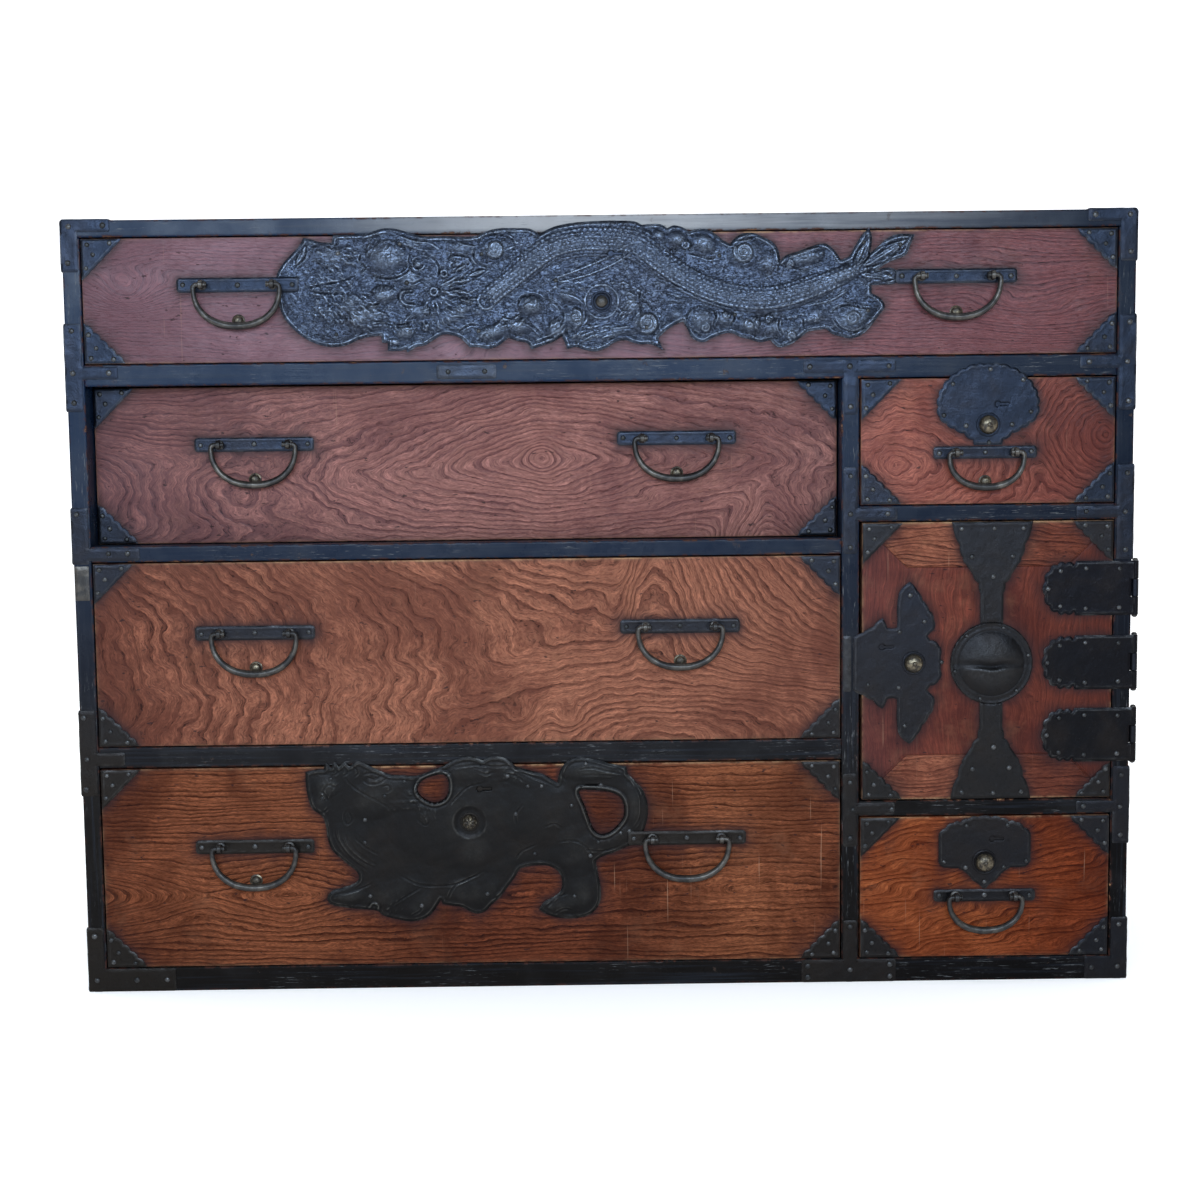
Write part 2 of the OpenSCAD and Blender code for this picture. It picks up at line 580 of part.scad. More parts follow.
module door_irons() {
    color(IRON) translate([0, door_face, 0]) {
        corner_plates(door_l, door_low, door_r, door_high, hinges[0] - hinge_h / 2 - door_low - 2);
        translate([0, 0, door_high]) mirror([0, 0, 1]) strap_half(door_high - medal_z);
        translate([0, 0, door_low]) strap_half(medal_z - door_low);
        translate([medal_x, 0, medal_z]) medallion();
    }
}

// From the door's edge, a wide scalloped foot and a bar up to the medallion
module strap_half(reach) {
    translate([medal_x, 0, 0]) sheet() difference() {
        union() {
            polygon(arcs(bow_strap));
            translate([-13, 70]) square([26, reach - 70]);
        }
        translate([0, reach]) circle(r = medal_r + hair);
    }
}

// ------------------------------------------------------------ corner plates
// Outline of a corner plate: two straight legs and a row of scallops between them
function corner_outline(leg, swell, lobes = 3) = concat([[0, 0, 0], [leg, 0, 0]], [
    for (k = [0 : lobes - 1]) [leg - 2 - (leg - 4) * k / lobes, 2 + (leg - 4) * k / lobes, swell]],
    [[2, leg - 2, 0], [0, leg, 0]]);

// The lower right one is shorter where a hinge is in its way
module corner_plates(x0, z0, x1, z1, lower_right = corner_leg) {
    inset = 0.6;
    for (sx = [0, 1], sz = [0, 1])
        translate([sx ? x1 - inset : x0 + inset, 0, sz ? z1 - inset : z0 + inset])
            mirror([sx, 0, 0]) mirror([0, 0, sz])
                sheet() polygon(arcs(corner_outline(sx && !sz ? lower_right : corner_leg, sz ? 0.6 : 2.6)));
}

// ----------------------------------------------------------------- handles
module eye_post() {
    difference() {
        rotate([0, 90, 0]) cylinder(r = 5.2, h = eye_t, center = true);
        rotate([0, 90, 0]) cylinder(r = eye_r, h = eye_t + 1, center = true);
    }
    board([-eye_t / 2, eye_r + 1, -neck_w / 2], [eye_t / 2, pivot_off + neck_in, neck_w / 2]);
}

module rest_stud(drop) {
    translate([0, pivot_off, 6 - drop]) {
        domed_head(6, 5.2);
        rotate([-90, 0, 0]) cylinder(r = 2, h = 8);
    }
}

module handle_plate(h, grow = 0) {
    rounded((h[4] ? 136 : 117) + grow, (h[4] ? 16 : 14) + grow, 4);
}

module handle_mount(h) {
    slot = 0.2;
    translate([h[2], face_y(h[0]) - pivot_off, drawers[h[0]][3] + h[3]]) {
        translate([0, pivot_off, 0]) sheet() difference() {
            handle_plate(h);
            for (s = [-1, 1]) translate([s * eye_x(h), 0])
                square([eye_t + slot, neck_w + slot], center = true);
        }
        for (s = [-1, 1]) translate([s * eye_x(h), 0, 0]) eye_post();
        if (h[5]) rest_stud(drop_of(h));
    }
}

// Holes in the front board for the tangs of the eye posts and the stud
module handle_holes(h) {
    slot = 0.2;
    translate([h[2], face_y(h[0]), drawers[h[0]][3] + h[3]]) {
        for (s = [-1, 1]) translate([s * eye_x(h), neck_in / 2, 0])
            cube([eye_t + slot, neck_in + 1, neck_w + slot], center = true);
        if (h[5]) translate([0, -1, 6 - drop_of(h)]) rotate([-90, 0, 0]) cylinder(r = 2.1, h = 10);
    }
}

// Swept bar: elbows at the pivot and a half superellipse below
bail_steps = 22;
bail_sides = 10;
bail_power = 2.2;
function d_point(a, b, t) = [
    -a * sign(cos(t)) * abs(cos(t)) ^ (2 / bail_power), 0,
    -elbow - (b - elbow) * abs(sin(t)) ^ (2 / bail_power)];
function bail_path(a, b) = concat(
    [for (t = [90 : -30 : 30]) [-(a - elbow) - elbow * cos(t), 0, -elbow + elbow * sin(t)]],
    [for (k = [0 : bail_steps]) d_point(a, b, 180 * k / bail_steps)],
    [for (t = [30 : 30 : 90]) [(a - elbow) + elbow * cos(t), 0, -elbow + elbow * sin(t)]]);
function bar_r(s) = bail_end_r + (bail_mid_r - bail_end_r) * sin(180 * s) ^ 1.3;

module bail_bar(a, b) {
    path = bail_path(a, b);
    m = len(path) - 1;
    pts = [for (i = [0 : m], k = [0 : bail_sides - 1])
        let (d = i == 0 || i == m ? [-1, 0, 0] : path[i + 1] - path[i - 1], u = d / norm(d),
            q = 360 * k / bail_sides)
        path[i] + bar_r(i / m) * (cos(q) * [-u[2], 0, u[0]] + sin(q) * [0, 1, 0])];
    quads = [for (i = [0 : m - 1], k = [0 : bail_sides - 1])
        let (a0 = i * bail_sides + k, a1 = i * bail_sides + (k + 1) % bail_sides)
        [a0, a1, a1 + bail_sides, a0 + bail_sides]];
    polyhedron(pts, concat([[for (k = [bail_sides - 1 : -1 : 0]) k]],
        quads, [[for (k = [0 : bail_sides - 1]) m * bail_sides + k]]), convexity = 4);
}

module bail(h) {
    a = half_of(h);
    inner_end = eye_x(h) - eye_t / 2 - 2.5;
    color(IRON) translate([h[2], face_y(h[0]) - pivot_off, drawers[h[0]][3] + h[3]]) {
        bail_bar(a, drop_of(h));
        for (s = [-1, 1]) rotate([0, 90 * s, 0]) {
            translate([0, 0, inner_end]) cylinder(r = pin_r, h = a - elbow - inner_end + 0.5);
            translate([0, 0, inner_end - 1.5]) cylinder(r = 3.4, h = 1.8);
        }
    }
}

// ------------------------------------------------------------------- locks
// Holes through a board for a lock's button and its shank
module lock_holes(x, z, y, r) {
    translate([x, y, z]) rotate([-90, 0, 0]) {
        translate([0, 0, -1]) cylinder(r = r + 1, h = 9);
        cylinder(r = 6, h = front_t + 1);
    }
}

// Everything of a lock is drawn round its button, with the bolt going up
module lock_case(reach) {
    y0 = front_t + hair;
    w = case_w / 2;
    difference() {
        board([-w, y0, -18], [w, y0 + case_d, reach - 3]);
        board([-w + 2, y0 - 1, -16], [w - 2, y0 + case_d - 2, reach]);
    }
}

module washer(r_in, r_out) {
    translate([0, -iron_t - hair, 0]) rotate([90, 0, 0]) difference() {
        cylinder(r = r_out, h = 1.8);
        translate([0, 0, -1]) cylinder(r = r_in + 0.08, h = 4);
    }
}

module plate_hole(r) {
    circle(r = r + 0.6);
}

module button(r) {
    // domed cap, body that slides in the washer, shank and wedge
    color(BRONZE) {
        translate([0, -iron_t - 4.5, 0]) domed_head(r, r * 0.62);
        rotate([90, 0, 0]) translate([0, 0, 0.5]) cylinder(r = r, h = iron_t + 4.01);
        rotate([-90, 0, 0]) translate([0, 0, -1]) cylinder(r = 5, h = wedge_y + 1.2);
        translate([-4, 0, 0]) rotate([90, 0, 90]) linear_extrude(8) polygon([
            [wedge_y, -4], [wedge_y + wedge_l, -4], [wedge_y + wedge_l, wedge_z - bolt_gain * wedge_l],
            [wedge_y, wedge_z]]);
    }
}

module bolt(reach) {
    // its sloping foot rides on the button's wedge
    foot = wedge_z + bolt_gain * wedge_y + 0.5;
    color(IRON) translate([-bolt_w / 2, 0, 0]) rotate([90, 0, 90]) linear_extrude(bolt_w) polygon([
        [bolt_y, foot - bolt_gain * bolt_y], [bolt_y + bolt_t, foot - bolt_gain * (bolt_y + bolt_t)],
        [bolt_y + bolt_t, reach - 1], [bolt_y, reach - 1]]);
}

module at_lock(k) {
    i = lock_of[k];
    translate([lock_x[k], face_y(i), drawers[i][3] + lock_z[k]]) children();
}
function lock_reach(k) = high(lock_of[k]) - drawers[lock_of[k]][3] - lock_z[k];

// Embossed plates lie on the drawer, in the drawer's own measures; what is embossed on one
// is given as children, cut away round the button and at the keyhole
module picture_plate(k, outline, holes, key) {
    i = lock_of[k];
    translate([0, face_y(i), drawers[i][3]]) difference() {
        union() {
            sheet() polygon(curve(outline));
            children();
        }
        translate([0, 1, 0]) sheet(12) {
            for (h = holes) polygon(curve(h));
            for (h = handles) if (h[0] == i) translate([h[2], h[3]]) handle_plate(h, 0.4);
            translate([lock_x[k], lock_z[k]]) plate_hole(button_rad[k]);
            translate([lock_x[k], lock_z[k]] + key) keyhole();
        }
        translate([lock_x[k], -iron_t, lock_z[k]]) rotate([90, 0, 0]) cylinder(r = washer_rad[k] + 3, h = 8);
    }
}

// Open smooth line through points [x, y, half width]
function line(p, n = 2) = let (m = len(p) - 1) concat([
    for (i = [0 : m - 1])
        let (a = p[i], b = p[i + 1], ta = (b - p[max(i - 1, 0)]) / 2, tb = (p[min(i + 2, m)] - a) / 2)
        for (k = [0 : n - 1]) hermite(a, b, ta, tb, k / n)], [p[m]]);

// A limb or body beaten up out of the sheet: rounded across, lower where it is narrow
module beaten(p, h, sunk) {
    s = line(p);
    m = len(s) - 1;
    sides = 6;
    ring = sides + 3;
    pts = [for (i = [0 : m])
        let (d = flat2(s[min(i + 1, m)] - s[max(i - 1, 0)]), n = [-d[1], d[0]] / norm(d) * s[i][2],
            c = flat2(s[i]), rise = h * min(1, s[i][2] / 16))
        each concat(
            [for (k = [0 : sides]) let (a = 180 * k / sides, q = c + n * cos(a))
                [q[0], -iron_t - 0.3 - rise * sin(a), q[1]]],
            [for (e = [-1, 1]) let (q = c + n * e) [q[0], sunk - iron_t, q[1]]])];
    quads = [for (i = [0 : m - 1], k = [0 : ring - 1])
        let (a0 = i * ring + k, a1 = i * ring + (k + 1) % ring) [a0, a0 + ring, a1 + ring, a1]];
    polyhedron(pts, concat([[for (k = [0 : ring - 1]) k]], quads,
        [[for (k = [ring - 1 : -1 : 0]) m * ring + k]]), convexity = 4);
}

// A round boss beaten up out of the sheet, at [x, y] with its radius and rise
module boss(b) {
    translate([b[0], 0.3 - iron_t, b[1]]) domed_head(b[2], b[3] + 0.3);
}

module shaped_plate(outline, r, key) {
    sheet() difference() {
        polygon(arcs(outline));
        plate_hole(r);
        translate(key) keyhole();
    }
}

module drawer_lock(k) {
    color(IRON) {
        if (k == 0) picture_plate(k, dragon, [], [11, 53]) {
            for (n = [0 : len(dragon_limbs) - 1]) beaten(dragon_limbs[n], n == 0 ? 3 : 2.6, 0.4 + n * 0.08);
            for (b = dragon_bosses) boss(b);
        }
        if (k == 1) picture_plate(k, lion, [lion_neck_hole, lion_tail_hole], [12, 38]) {
            for (n = [0 : len(lion_limbs) - 1]) beaten(lion_limbs[n], 2.8, 0.4 + n * 0.1);
            for (b = lion_bosses) boss(b);
        }
        at_lock(k) {
            if (k == 2) shaped_plate(dome_plate, button_rad[k], [11, 23]);
            if (k == 3) shaped_plate(fan_plate, button_rad[k], [9, 27]);
            washer(button_rad[k], washer_rad[k]);
            lock_case(lock_reach(k));
        }
    }
}

module at_door_lock() {
    translate([door_lock_x, door_face, door_lock_z]) children();
}

module door_lock() {
    color(IRON) at_door_lock() {
        shaped_plate(butterfly_plate, door_button_r, [-36, 19]);
        washer(door_button_r, door_button_r + 3);
        rotate([0, -90, 0]) lock_case(door_lock_x - door_l);
    }
}

module door_button() {
    at_door_lock() rotate([0, -90, 0]) button(door_button_r);
}

module door_bolt() {
    at_door_lock() rotate([0, -90, 0]) bolt(door_lock_x - door_l);
}

// ----------------------------------------------------------------- drawers
lap = 9;                          // depth of the lap that the sides fit into
module drawer_front(i) {
    y = face_y(i);
    color(KEYAKI) difference() {
        board([left(i), y, low(i)], [right(i), y + front_t, high(i)]);
        for (x = [left(i) - 1, right(i) - box_t - hair])
            board([x, y + front_t - lap, low(i) - 1], [x + box_t + 1 + hair, y + front_t + 1, high(i) + 1]);
        for (h = handles) if (h[0] == i) handle_holes(h);
        for (k = [0 : len(lock_of) - 1]) if (lock_of[k] == i)
            lock_holes(lock_x[k], drawers[i][3] + lock_z[k], y, button_rad[k]);
    }
}

module drawer_box(i) {
    y0 = face_y(i) + front_t;
    y1 = face_y(i) + drawer_l;
    z0 = drawers[i][3] + floor_gap;
    z1 = high(i) - 4;
    color(PALE_WOOD) {
        for (x = [left(i), right(i) - box_t])
            board([x, y0 - lap + hair, z0 + bottom_t + hair], [x + box_t, y1, z1]);
        board([left(i) + box_t + hair, y1 - box_t, z0 + bottom_t + hair],
            [right(i) - box_t - hair, y1, z1 - 6]);
        board([left(i), y0 + hair, z0], [right(i), y1, z0 + bottom_t]);
    }
}

module drawer_irons(i) {
    color(IRON) {
        translate([0, face_y(i), 0]) corner_plates(left(i), low(i), right(i), high(i));
        for (h = handles) if (h[0] == i) handle_mount(h);
    }
}

// ---------------------------------------------------------------- assembly
side_panel_left();
side_panel_right();
top_board();
bottom_board();
back_planks();
partition();
front_rails();
dust_boards();
inner_shelf();
drawer_stops();
frame_irons();
hinge_side_leaves();
hinge_pins();
door_panel();
door_battens();
door_irons();
door_hinge_leaves();
door_lock();
door_button();
door_bolt();
for (i = [0 : len(drawers) - 1]) {
    drawer_front(i);
    drawer_box(i);
    drawer_irons(i);
}
for (k = [0 : len(lock_of) - 1]) {
    drawer_lock(k);
    at_lock(k) button(button_rad[k]);
    at_lock(k) bolt(lock_reach(k));
}
for (h = handles)
    bail(h);
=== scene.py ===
"""Visual model of a low lacquered chest of drawers with embossed iron mounts.

Lengths are in millimetres in the row frame until a mesh is made, and the front faces -Y.
"""

import logging
import math
from dataclasses import dataclass, field
from enum import Enum
from typing import Callable, Sequence

import bpy
import numpy as np
from mathutils import Matrix, Vector
from mathutils.geometry import delaunay_2d_cdt


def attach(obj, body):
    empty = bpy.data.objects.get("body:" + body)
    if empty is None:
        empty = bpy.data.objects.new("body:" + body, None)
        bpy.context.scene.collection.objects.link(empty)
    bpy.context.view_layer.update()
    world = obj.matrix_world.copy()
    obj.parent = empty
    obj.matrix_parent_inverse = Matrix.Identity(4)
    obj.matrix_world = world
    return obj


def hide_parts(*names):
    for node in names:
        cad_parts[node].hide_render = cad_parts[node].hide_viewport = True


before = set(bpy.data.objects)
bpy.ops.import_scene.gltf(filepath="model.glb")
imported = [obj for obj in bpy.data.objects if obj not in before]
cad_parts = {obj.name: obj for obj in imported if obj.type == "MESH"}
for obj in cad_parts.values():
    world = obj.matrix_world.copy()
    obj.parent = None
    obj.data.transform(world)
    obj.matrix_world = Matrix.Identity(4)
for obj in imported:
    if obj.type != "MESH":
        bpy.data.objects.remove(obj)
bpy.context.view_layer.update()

LOG = logging.getLogger("chest")
MM = 0.001

Array = np.ndarray
Point = Sequence[float]
Placer = Callable[[Array, Array, Array], Array]
Painter = Callable[[Array, Array], dict[str, Array]]
Colour = tuple[float, float, float]
Rect = tuple[float, float, float, float]
Rows = tuple[tuple[float, ...], ...]
Lines = tuple[tuple[Point, ...], ...]
Socket = bpy.types.NodeSocket
Finish = bpy.types.Material


# --------------------------------------------------------------------------- sizes shared by pieces

HALF_WIDTH = 600.0
HEIGHT = 880.0
FRONT_Y = -225.0              # front edges of the carcass
FACE_Y = -225.5               # faces of the drawers and the door
SET_BACK = 30.0               # how far the upper drawer is pushed in
IRON = 1.5                    # thickness of the sheet iron
BOARD = 20.0                  # thickness of fronts and side boards
PIVOT = 10.0                  # from a drawer's face to its bail's pivot


@dataclass(frozen=True)
class Opening:
    """A drawer's place in the carcass: its clear opening and how deep its face lies."""

    name: str
    left: float
    right: float
    floor: float
    head: float
    set_back: float = 0.0

    @property
    def face(self) -> float:
        """Y of the drawer's face."""
        return FACE_Y + self.set_back

    @property
    def rect(self) -> Rect:
        """Left, bottom, right and top of the front board."""
        return self.left + 1.5, self.floor + 1.0, self.right - 1.5, self.head - 1.5


TOP = Opening("top_drawer", -580, 580, 720, 861)
UPPER = Opening("upper_drawer", -580, 270, 516, 696, SET_BACK)
MIDDLE = Opening("middle_drawer", -580, 270, 286, 498)
BOTTOM = Opening("bottom_drawer", -580, 270, 28, 262)
SMALL_UPPER = Opening("small_upper_drawer", 290, 580, 552, 696)
SMALL_LOWER = Opening("small_lower_drawer", 290, 580, 28, 195)
DOOR_RECT = (293.5, 214.5, 578.5, 532.5)

# Middles of the push buttons.
TOP_BUTTON = (1, 784)
BOTTOM_BUTTON = (-157, 195)
SMALL_UPPER_BUTTON = (435, 642)
SMALL_LOWER_BUTTON = (435, 140)
DOOR_BUTTON = (352, 372)


# --------------------------------------------------------------------------- plane curves

def smooth_outline(points: Sequence[Point], steps: int = 5) -> Array:
    """A closed curve through points.

    Args:
        points: Corners [x, z]; a third value of 1 makes a sharp corner.
        steps: Pieces from one point to the next.

    Returns:
        The curve's points, one row each.
    """
    count = len(points)
    flat = np.array([p[:2] for p in points], float)
    sharp = [len(p) > 2 and p[2] == 1 for p in points]
    t = np.arange(steps)[:, None] / steps
    out = []
    for i in range(count):
        j = (i + 1) % count
        a, b = flat[i], flat[j]
        ta = b - a if sharp[i] else (b - flat[i - 1]) / 2
        tb = b - a if sharp[j] else (flat[(j + 1) % count] - a) / 2
        out.append(a * (2 * t**3 - 3 * t**2 + 1) + ta * (t**3 - 2 * t**2 + t)
                   + b * (3 * t**2 - 2 * t**3) + tb * (t**3 - t**2))
    return np.concatenate(out)


def arc_outline(points: Sequence[Point], steps: int = 6) -> Array:
    """A closed outline of arcs, each starting at [x, z, swell] and swelling out by that much."""
    out = []
    for i, (x, z, swell) in enumerate(points):
        a, b = np.array([x, z], float), np.array(points[(i + 1) % len(points)][:2], float)
        d = b - a
        n = steps if swell else 1
        t = np.arange(n)[:, None] / n
        out.append(a + d * t + np.array([d[1], -d[0]]) / np.hypot(*d) * 4 * swell * t * (1 - t))
    return np.concatenate(out)


def mirrored(half: Sequence[Point], upright: bool = True) -> list[list[float]]:
    """An arc outline and its reflection, left to right if upright, or else top to bottom."""
    back = []
    for i in range(len(half) - 1, -1, -1):
        x, z, _ = half[i]
        swell = half[i - 1][2] if i > 0 else 0
        back.append([-x, z, swell] if upright else [x, -z, swell])
    return [list(p) for p in half] + back


def rounded_rectangle(x0: float, z0: float, x1: float, z1: float, r: float) -> Array:
    """Outline of a rectangle with round corners."""
    angles = np.radians(np.arange(0, 91, 15))
    out = []
    for cx, cz, turn in ((x1 - r, z1 - r, 0), (x0 + r, z1 - r, 1), (x0 + r, z0 + r, 2), (x1 - r, z0 + r, 3)):
        a = angles + turn * math.pi / 2
        out.append(np.stack([cx + r * np.cos(a), cz + r * np.sin(a)], 1))
    return np.concatenate(out)


def circle(x: float, z: float, r: float, count: int = 40) -> Array:
    """Outline of a circle."""
    a = np.linspace(0, 2 * math.pi, count, endpoint=False)
    return np.stack([x + r * np.cos(a), z + r * np.sin(a)], 1)


def open_curve(points: Sequence[Point], spacing: float = 1.5) -> Array:
    """A smooth open curve through points, sampled about every spacing."""
    p = np.array(points, float)
    if len(p) < 3:
        n = max(2, int(np.hypot(*(p[-1] - p[0])) / spacing) + 1)
        return p[0] + (p[-1] - p[0]) * np.linspace(0, 1, n)[:, None]
    p = np.vstack([2 * p[0] - p[1], p, 2 * p[-1] - p[-2]])
    out = []
    for i in range(1, len(p) - 2):
        n = max(2, int(np.hypot(*(p[i + 1] - p[i])) / spacing) + 1)
        t = np.linspace(0, 1, n, endpoint=False)[:, None]
        out.append(0.5 * (2 * p[i] + (p[i + 1] - p[i - 1]) * t
                          + (2 * p[i - 1] - 5 * p[i] + 4 * p[i + 1] - p[i + 2]) * t**2
                          + (3 * p[i] - p[i - 1] - 3 * p[i + 1] + p[i + 2]) * t**3))
    return np.vstack(out + [p[-2][None]])


def ripple(seed: int, x: Array, z: Array, size: float, octaves: int = 3) -> Array:
    """Smooth noise made of seeded sine waves.

    Args:
        seed: Picks the waves.
        x: First coordinate, in millimetres.
        z: Second coordinate.
        size: Length of the longest waves.
        octaves: How many halvings of the wave length are added.

    Returns:
        Values from about -1 to 1, shaped as x.
    """
    rng = np.random.default_rng(seed)
    total, weight = np.zeros(np.shape(x)), 0.0
    for octave in range(octaves):
        share = 0.55**octave
        for _ in range(5):
            angle, phase = rng.uniform(0, 2 * math.pi, 2)
            k = 2 * math.pi / size * 2**octave * rng.uniform(0.7, 1.4)
            total = total + share * np.sin(k * (x * math.cos(angle) + z * math.sin(angle)) + phase)
        weight += share * 2.2
    return total / weight


def smoothstep(a: float, b: float, value: Array) -> Array:
    """0 below a, 1 above b, and a smooth rise between them."""
    t = np.clip((value - a) / (b - a), 0, 1)
    return t * t * (3 - 2 * t)


def bell(value: Array, width: float) -> Array:
    """A bell curve of a width around 0."""
    return np.exp(-(value / width) ** 2)


def blurred(field_: Array, passes: int) -> Array:
    """A grid of values smoothed over its neighbours."""
    out = field_.astype(float)
    for _ in range(passes):
        out[1:-1] = (out[:-2] + out[1:-1] + out[2:]) / 3
        out[:, 1:-1] = (out[:, :-2] + out[:, 1:-1] + out[:, 2:]) / 3
    return out


# --------------------------------------------------------------------------- meshes

@dataclass
class Skin:
    """Points, faces and painted values of one mesh, gathered piece by piece."""

    points: list[Array] = field(default_factory=list)
    faces: list[tuple[int, ...]] = field(default_factory=list)
    values: dict[str, list[Array]] = field(default_factory=dict)
    count: int = 0

    def add(self, points: Array, faces: Sequence[Sequence[int]], **values: Array) -> "Skin":
        """Adds a piece with its painted values and returns the skin itself."""
        for name in set(self.values) | set(values):
            if name not in self.values:
                self.values[name] = [np.zeros(self.count)]
            given = values.get(name)
            self.values[name].append(np.zeros(len(points)) if given is None else np.asarray(given, float))
        self.points.append(np.asarray(points, float))
        start = self.count
        self.faces.extend(tuple(int(i) + start for i in f) for f in faces)
        self.count += len(points)
        return self

    def build(self, name: str, material: Finish, crease: float) -> bpy.types.Object:
        """Makes the Blender object.

        Args:
            name: Name of the piece.
            material: Its finish.
            crease: Edges that turn by more than this many degrees stay sharp.

        Returns:
            The new object, linked to the scene.
        """
        mesh = bpy.data.meshes.new(name)
        mesh.from_pydata((np.concatenate(self.points) * MM).tolist(), [], self.faces)
        mesh.validate()
        mesh.polygons.foreach_set("use_smooth", np.ones(len(mesh.polygons), bool))
        mesh.set_sharp_from_angle(angle=math.radians(crease))
        for key, parts in self.values.items():
            layer = mesh.attributes.new(key, "FLOAT", "POINT")
            layer.data.foreach_set("value", np.concatenate(parts).astype(np.float32))
        mesh.materials.append(material)
        piece = bpy.data.objects.new(name, mesh)
        bpy.context.scene.collection.objects.link(piece)
        return piece

    def settle(self, name: str, material: Finish, body: str, slot: str, *nodes: str,
               crease: float = 40.0) -> None:
        """Makes the piece and lets it ride on a body.

        Args:
            name: Name of the piece.
            material: Its finish.
            body: The body that carries it.
            slot: Its material slot; not used.
            nodes: The CAD nodes that it stands for.
            crease: Edges that turn by more than this many degrees stay sharp.
        """
        piece = self.build(name, material, crease)
        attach(piece, body)
        if nodes:
            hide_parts(*nodes)
        LOG.info("%s: %d faces on %s", piece.name, len(piece.data.polygons), body)


def turned(profile: Sequence[Point], at: Point, forward: Point = (0, -1, 0),
           sides: int = 28) -> tuple[Array, list]:
    """A turned piece.

    Args:
        profile: [radius, height] from the foot to the top of the axis.
        at: Where the axis starts.
        forward: Direction of the axis.
        sides: Faces around it.

    Returns:
        Points and faces.
    """
    axis = np.array(forward, float) / np.linalg.norm(forward)
    u = np.cross(axis, [0.0, 0.0, 1.0] if abs(axis[2]) < 0.9 else [1.0, 0.0, 0.0])
    u /= np.linalg.norm(u)
    v = np.cross(axis, u)
    points, rings = [], []
    for r, h in profile:
        if r <= 1e-6:
            rings.append([len(points)] * sides)
            points.append(np.array(at) + axis * h)
            continue
        rings.append(list(range(len(points), len(points) + sides)))
        for k in range(sides):
            a = 2 * math.pi * k / sides
            points.append(np.array(at) + axis * h + r * (u * math.cos(a) + v * math.sin(a)))
    faces = []
    for lower, upper in zip(rings, rings[1:]):
        for k in range(sides):
            j = (k + 1) % sides
            face = [lower[k], lower[j], upper[j], upper[k]]
            face = [p for i, p in enumerate(face) if p != face[i - 1]]
            if len(face) > 2:
                faces.append(face)
    return np.array(points), faces


def swept(path: Array, radii: Array, sides: int = 14, flat: float = 1.0) -> tuple[Array, list]:
    """A round bar along a path that lies in an XZ plane, with its own radius at each point."""
    step = np.gradient(path, axis=0)
    step /= np.linalg.norm(step, axis=1)[:, None]
    side = np.stack([-step[:, 2], np.zeros(len(path)), step[:, 0]], 1)
    a = np.linspace(0, 2 * math.pi, sides, endpoint=False)
    ring = (np.cos(a)[None, :, None] * side[:, None, :]
            + flat * np.sin(a)[None, :, None] * np.array([0.0, 1.0, 0.0]))
    points = (path[:, None, :] + radii[:, None, None] * ring).reshape(-1, 3)
    rows = np.arange(len(points)).reshape(-1, sides).tolist()
    faces = [[low[k], low[(k + 1) % sides], high[(k + 1) % sides], high[k]]
             for low, high in zip(rows, rows[1:]) for k in range(sides)]
    faces += [rows[0][::-1], rows[-1]]
    return points, faces


def spaced(lo: float, hi: float, step: float, r: float) -> Array:
    """Stations from lo to hi, with extra ones where the edges are rounded."""
    edge = [0, 0.3 * r, 0.65 * r, r, 2 * r, 3.5 * r] if hi - lo > 9 * r else [0, 0.3 * r, 0.65 * r, r]
    reach = edge[-1] + r
    count = max(1, int(round((hi - lo - 2 * reach) / step)))
    inner = np.linspace(lo + reach, hi - reach, count + 1)
    return np.concatenate([[lo + e for e in edge], inner, [hi - e for e in edge[::-1]]])


def rounded_board(lo: Point, hi: Point, r: float = 1.2, step: float = 8.0,
                  wear: Callable[[Array], Array] | None = None) -> tuple[Array, list]:
    """A board with rounded edges and an even grid of faces.

    Args:
        lo: Lowest corner.
        hi: Highest corner.
        r: Radius of the edges.
        step: Size of the faces.
        wear: Gives how far each point is worn in, in millimetres, from the points.

    Returns:
        Points and faces.
    """
    lo, hi = np.array(lo, float), np.array(hi, float)
    r = min(r, 0.45 * float((hi - lo).min()))
    stations = [spaced(lo[i], hi[i], step, r) for i in range(3)]
    points, faces, known = [], [], {}

    def index(key: tuple[int, int, int]) -> int:
        """Number of the grid point with this key, made when it is new."""
        if key not in known:
            known[key] = len(points)
            points.append([stations[i][key[i]] for i in range(3)])
        return known[key]

    size = [len(s) for s in stations]
    for axis in range(3):
        a, b = [(1, 2), (2, 0), (0, 1)][axis]
        for end in (0, size[axis] - 1):
            for i in range(size[a] - 1):
                for j in range(size[b] - 1):
                    quad = []
                    for di, dj in ((0, 0), (1, 0), (1, 1), (0, 1)):
                        key = [0, 0, 0]
                        key[axis], key[a], key[b] = end, i + di, j + dj
                        quad.append(index(tuple(key)))
                    faces.append(quad if end else quad[::-1])
    p = np.array(points)
    core = np.clip(p, lo + r, hi - r)
    d = p - core
    length = np.linalg.norm(d, axis=1)
    many = (np.abs(d) > 1e-9).sum(1) > 1
    p[many] = core[many] + r * d[many] / length[many][:, None]
    if wear is not None:
        inward = np.where(np.abs(d) > 1e-9, np.sign(d), 0.0)
        inward /= np.maximum(np.linalg.norm(inward, axis=1), 1)[:, None]
        p -= inward * (wear(p) * many)[:, None]
    return p, faces


def box_part(lo: Point, hi: Point) -> tuple[Array, list]:
    """A small plain block with softened edges, for parts inside a lock or joint."""
    return rounded_board(lo, hi, 0.3, 1000.0)


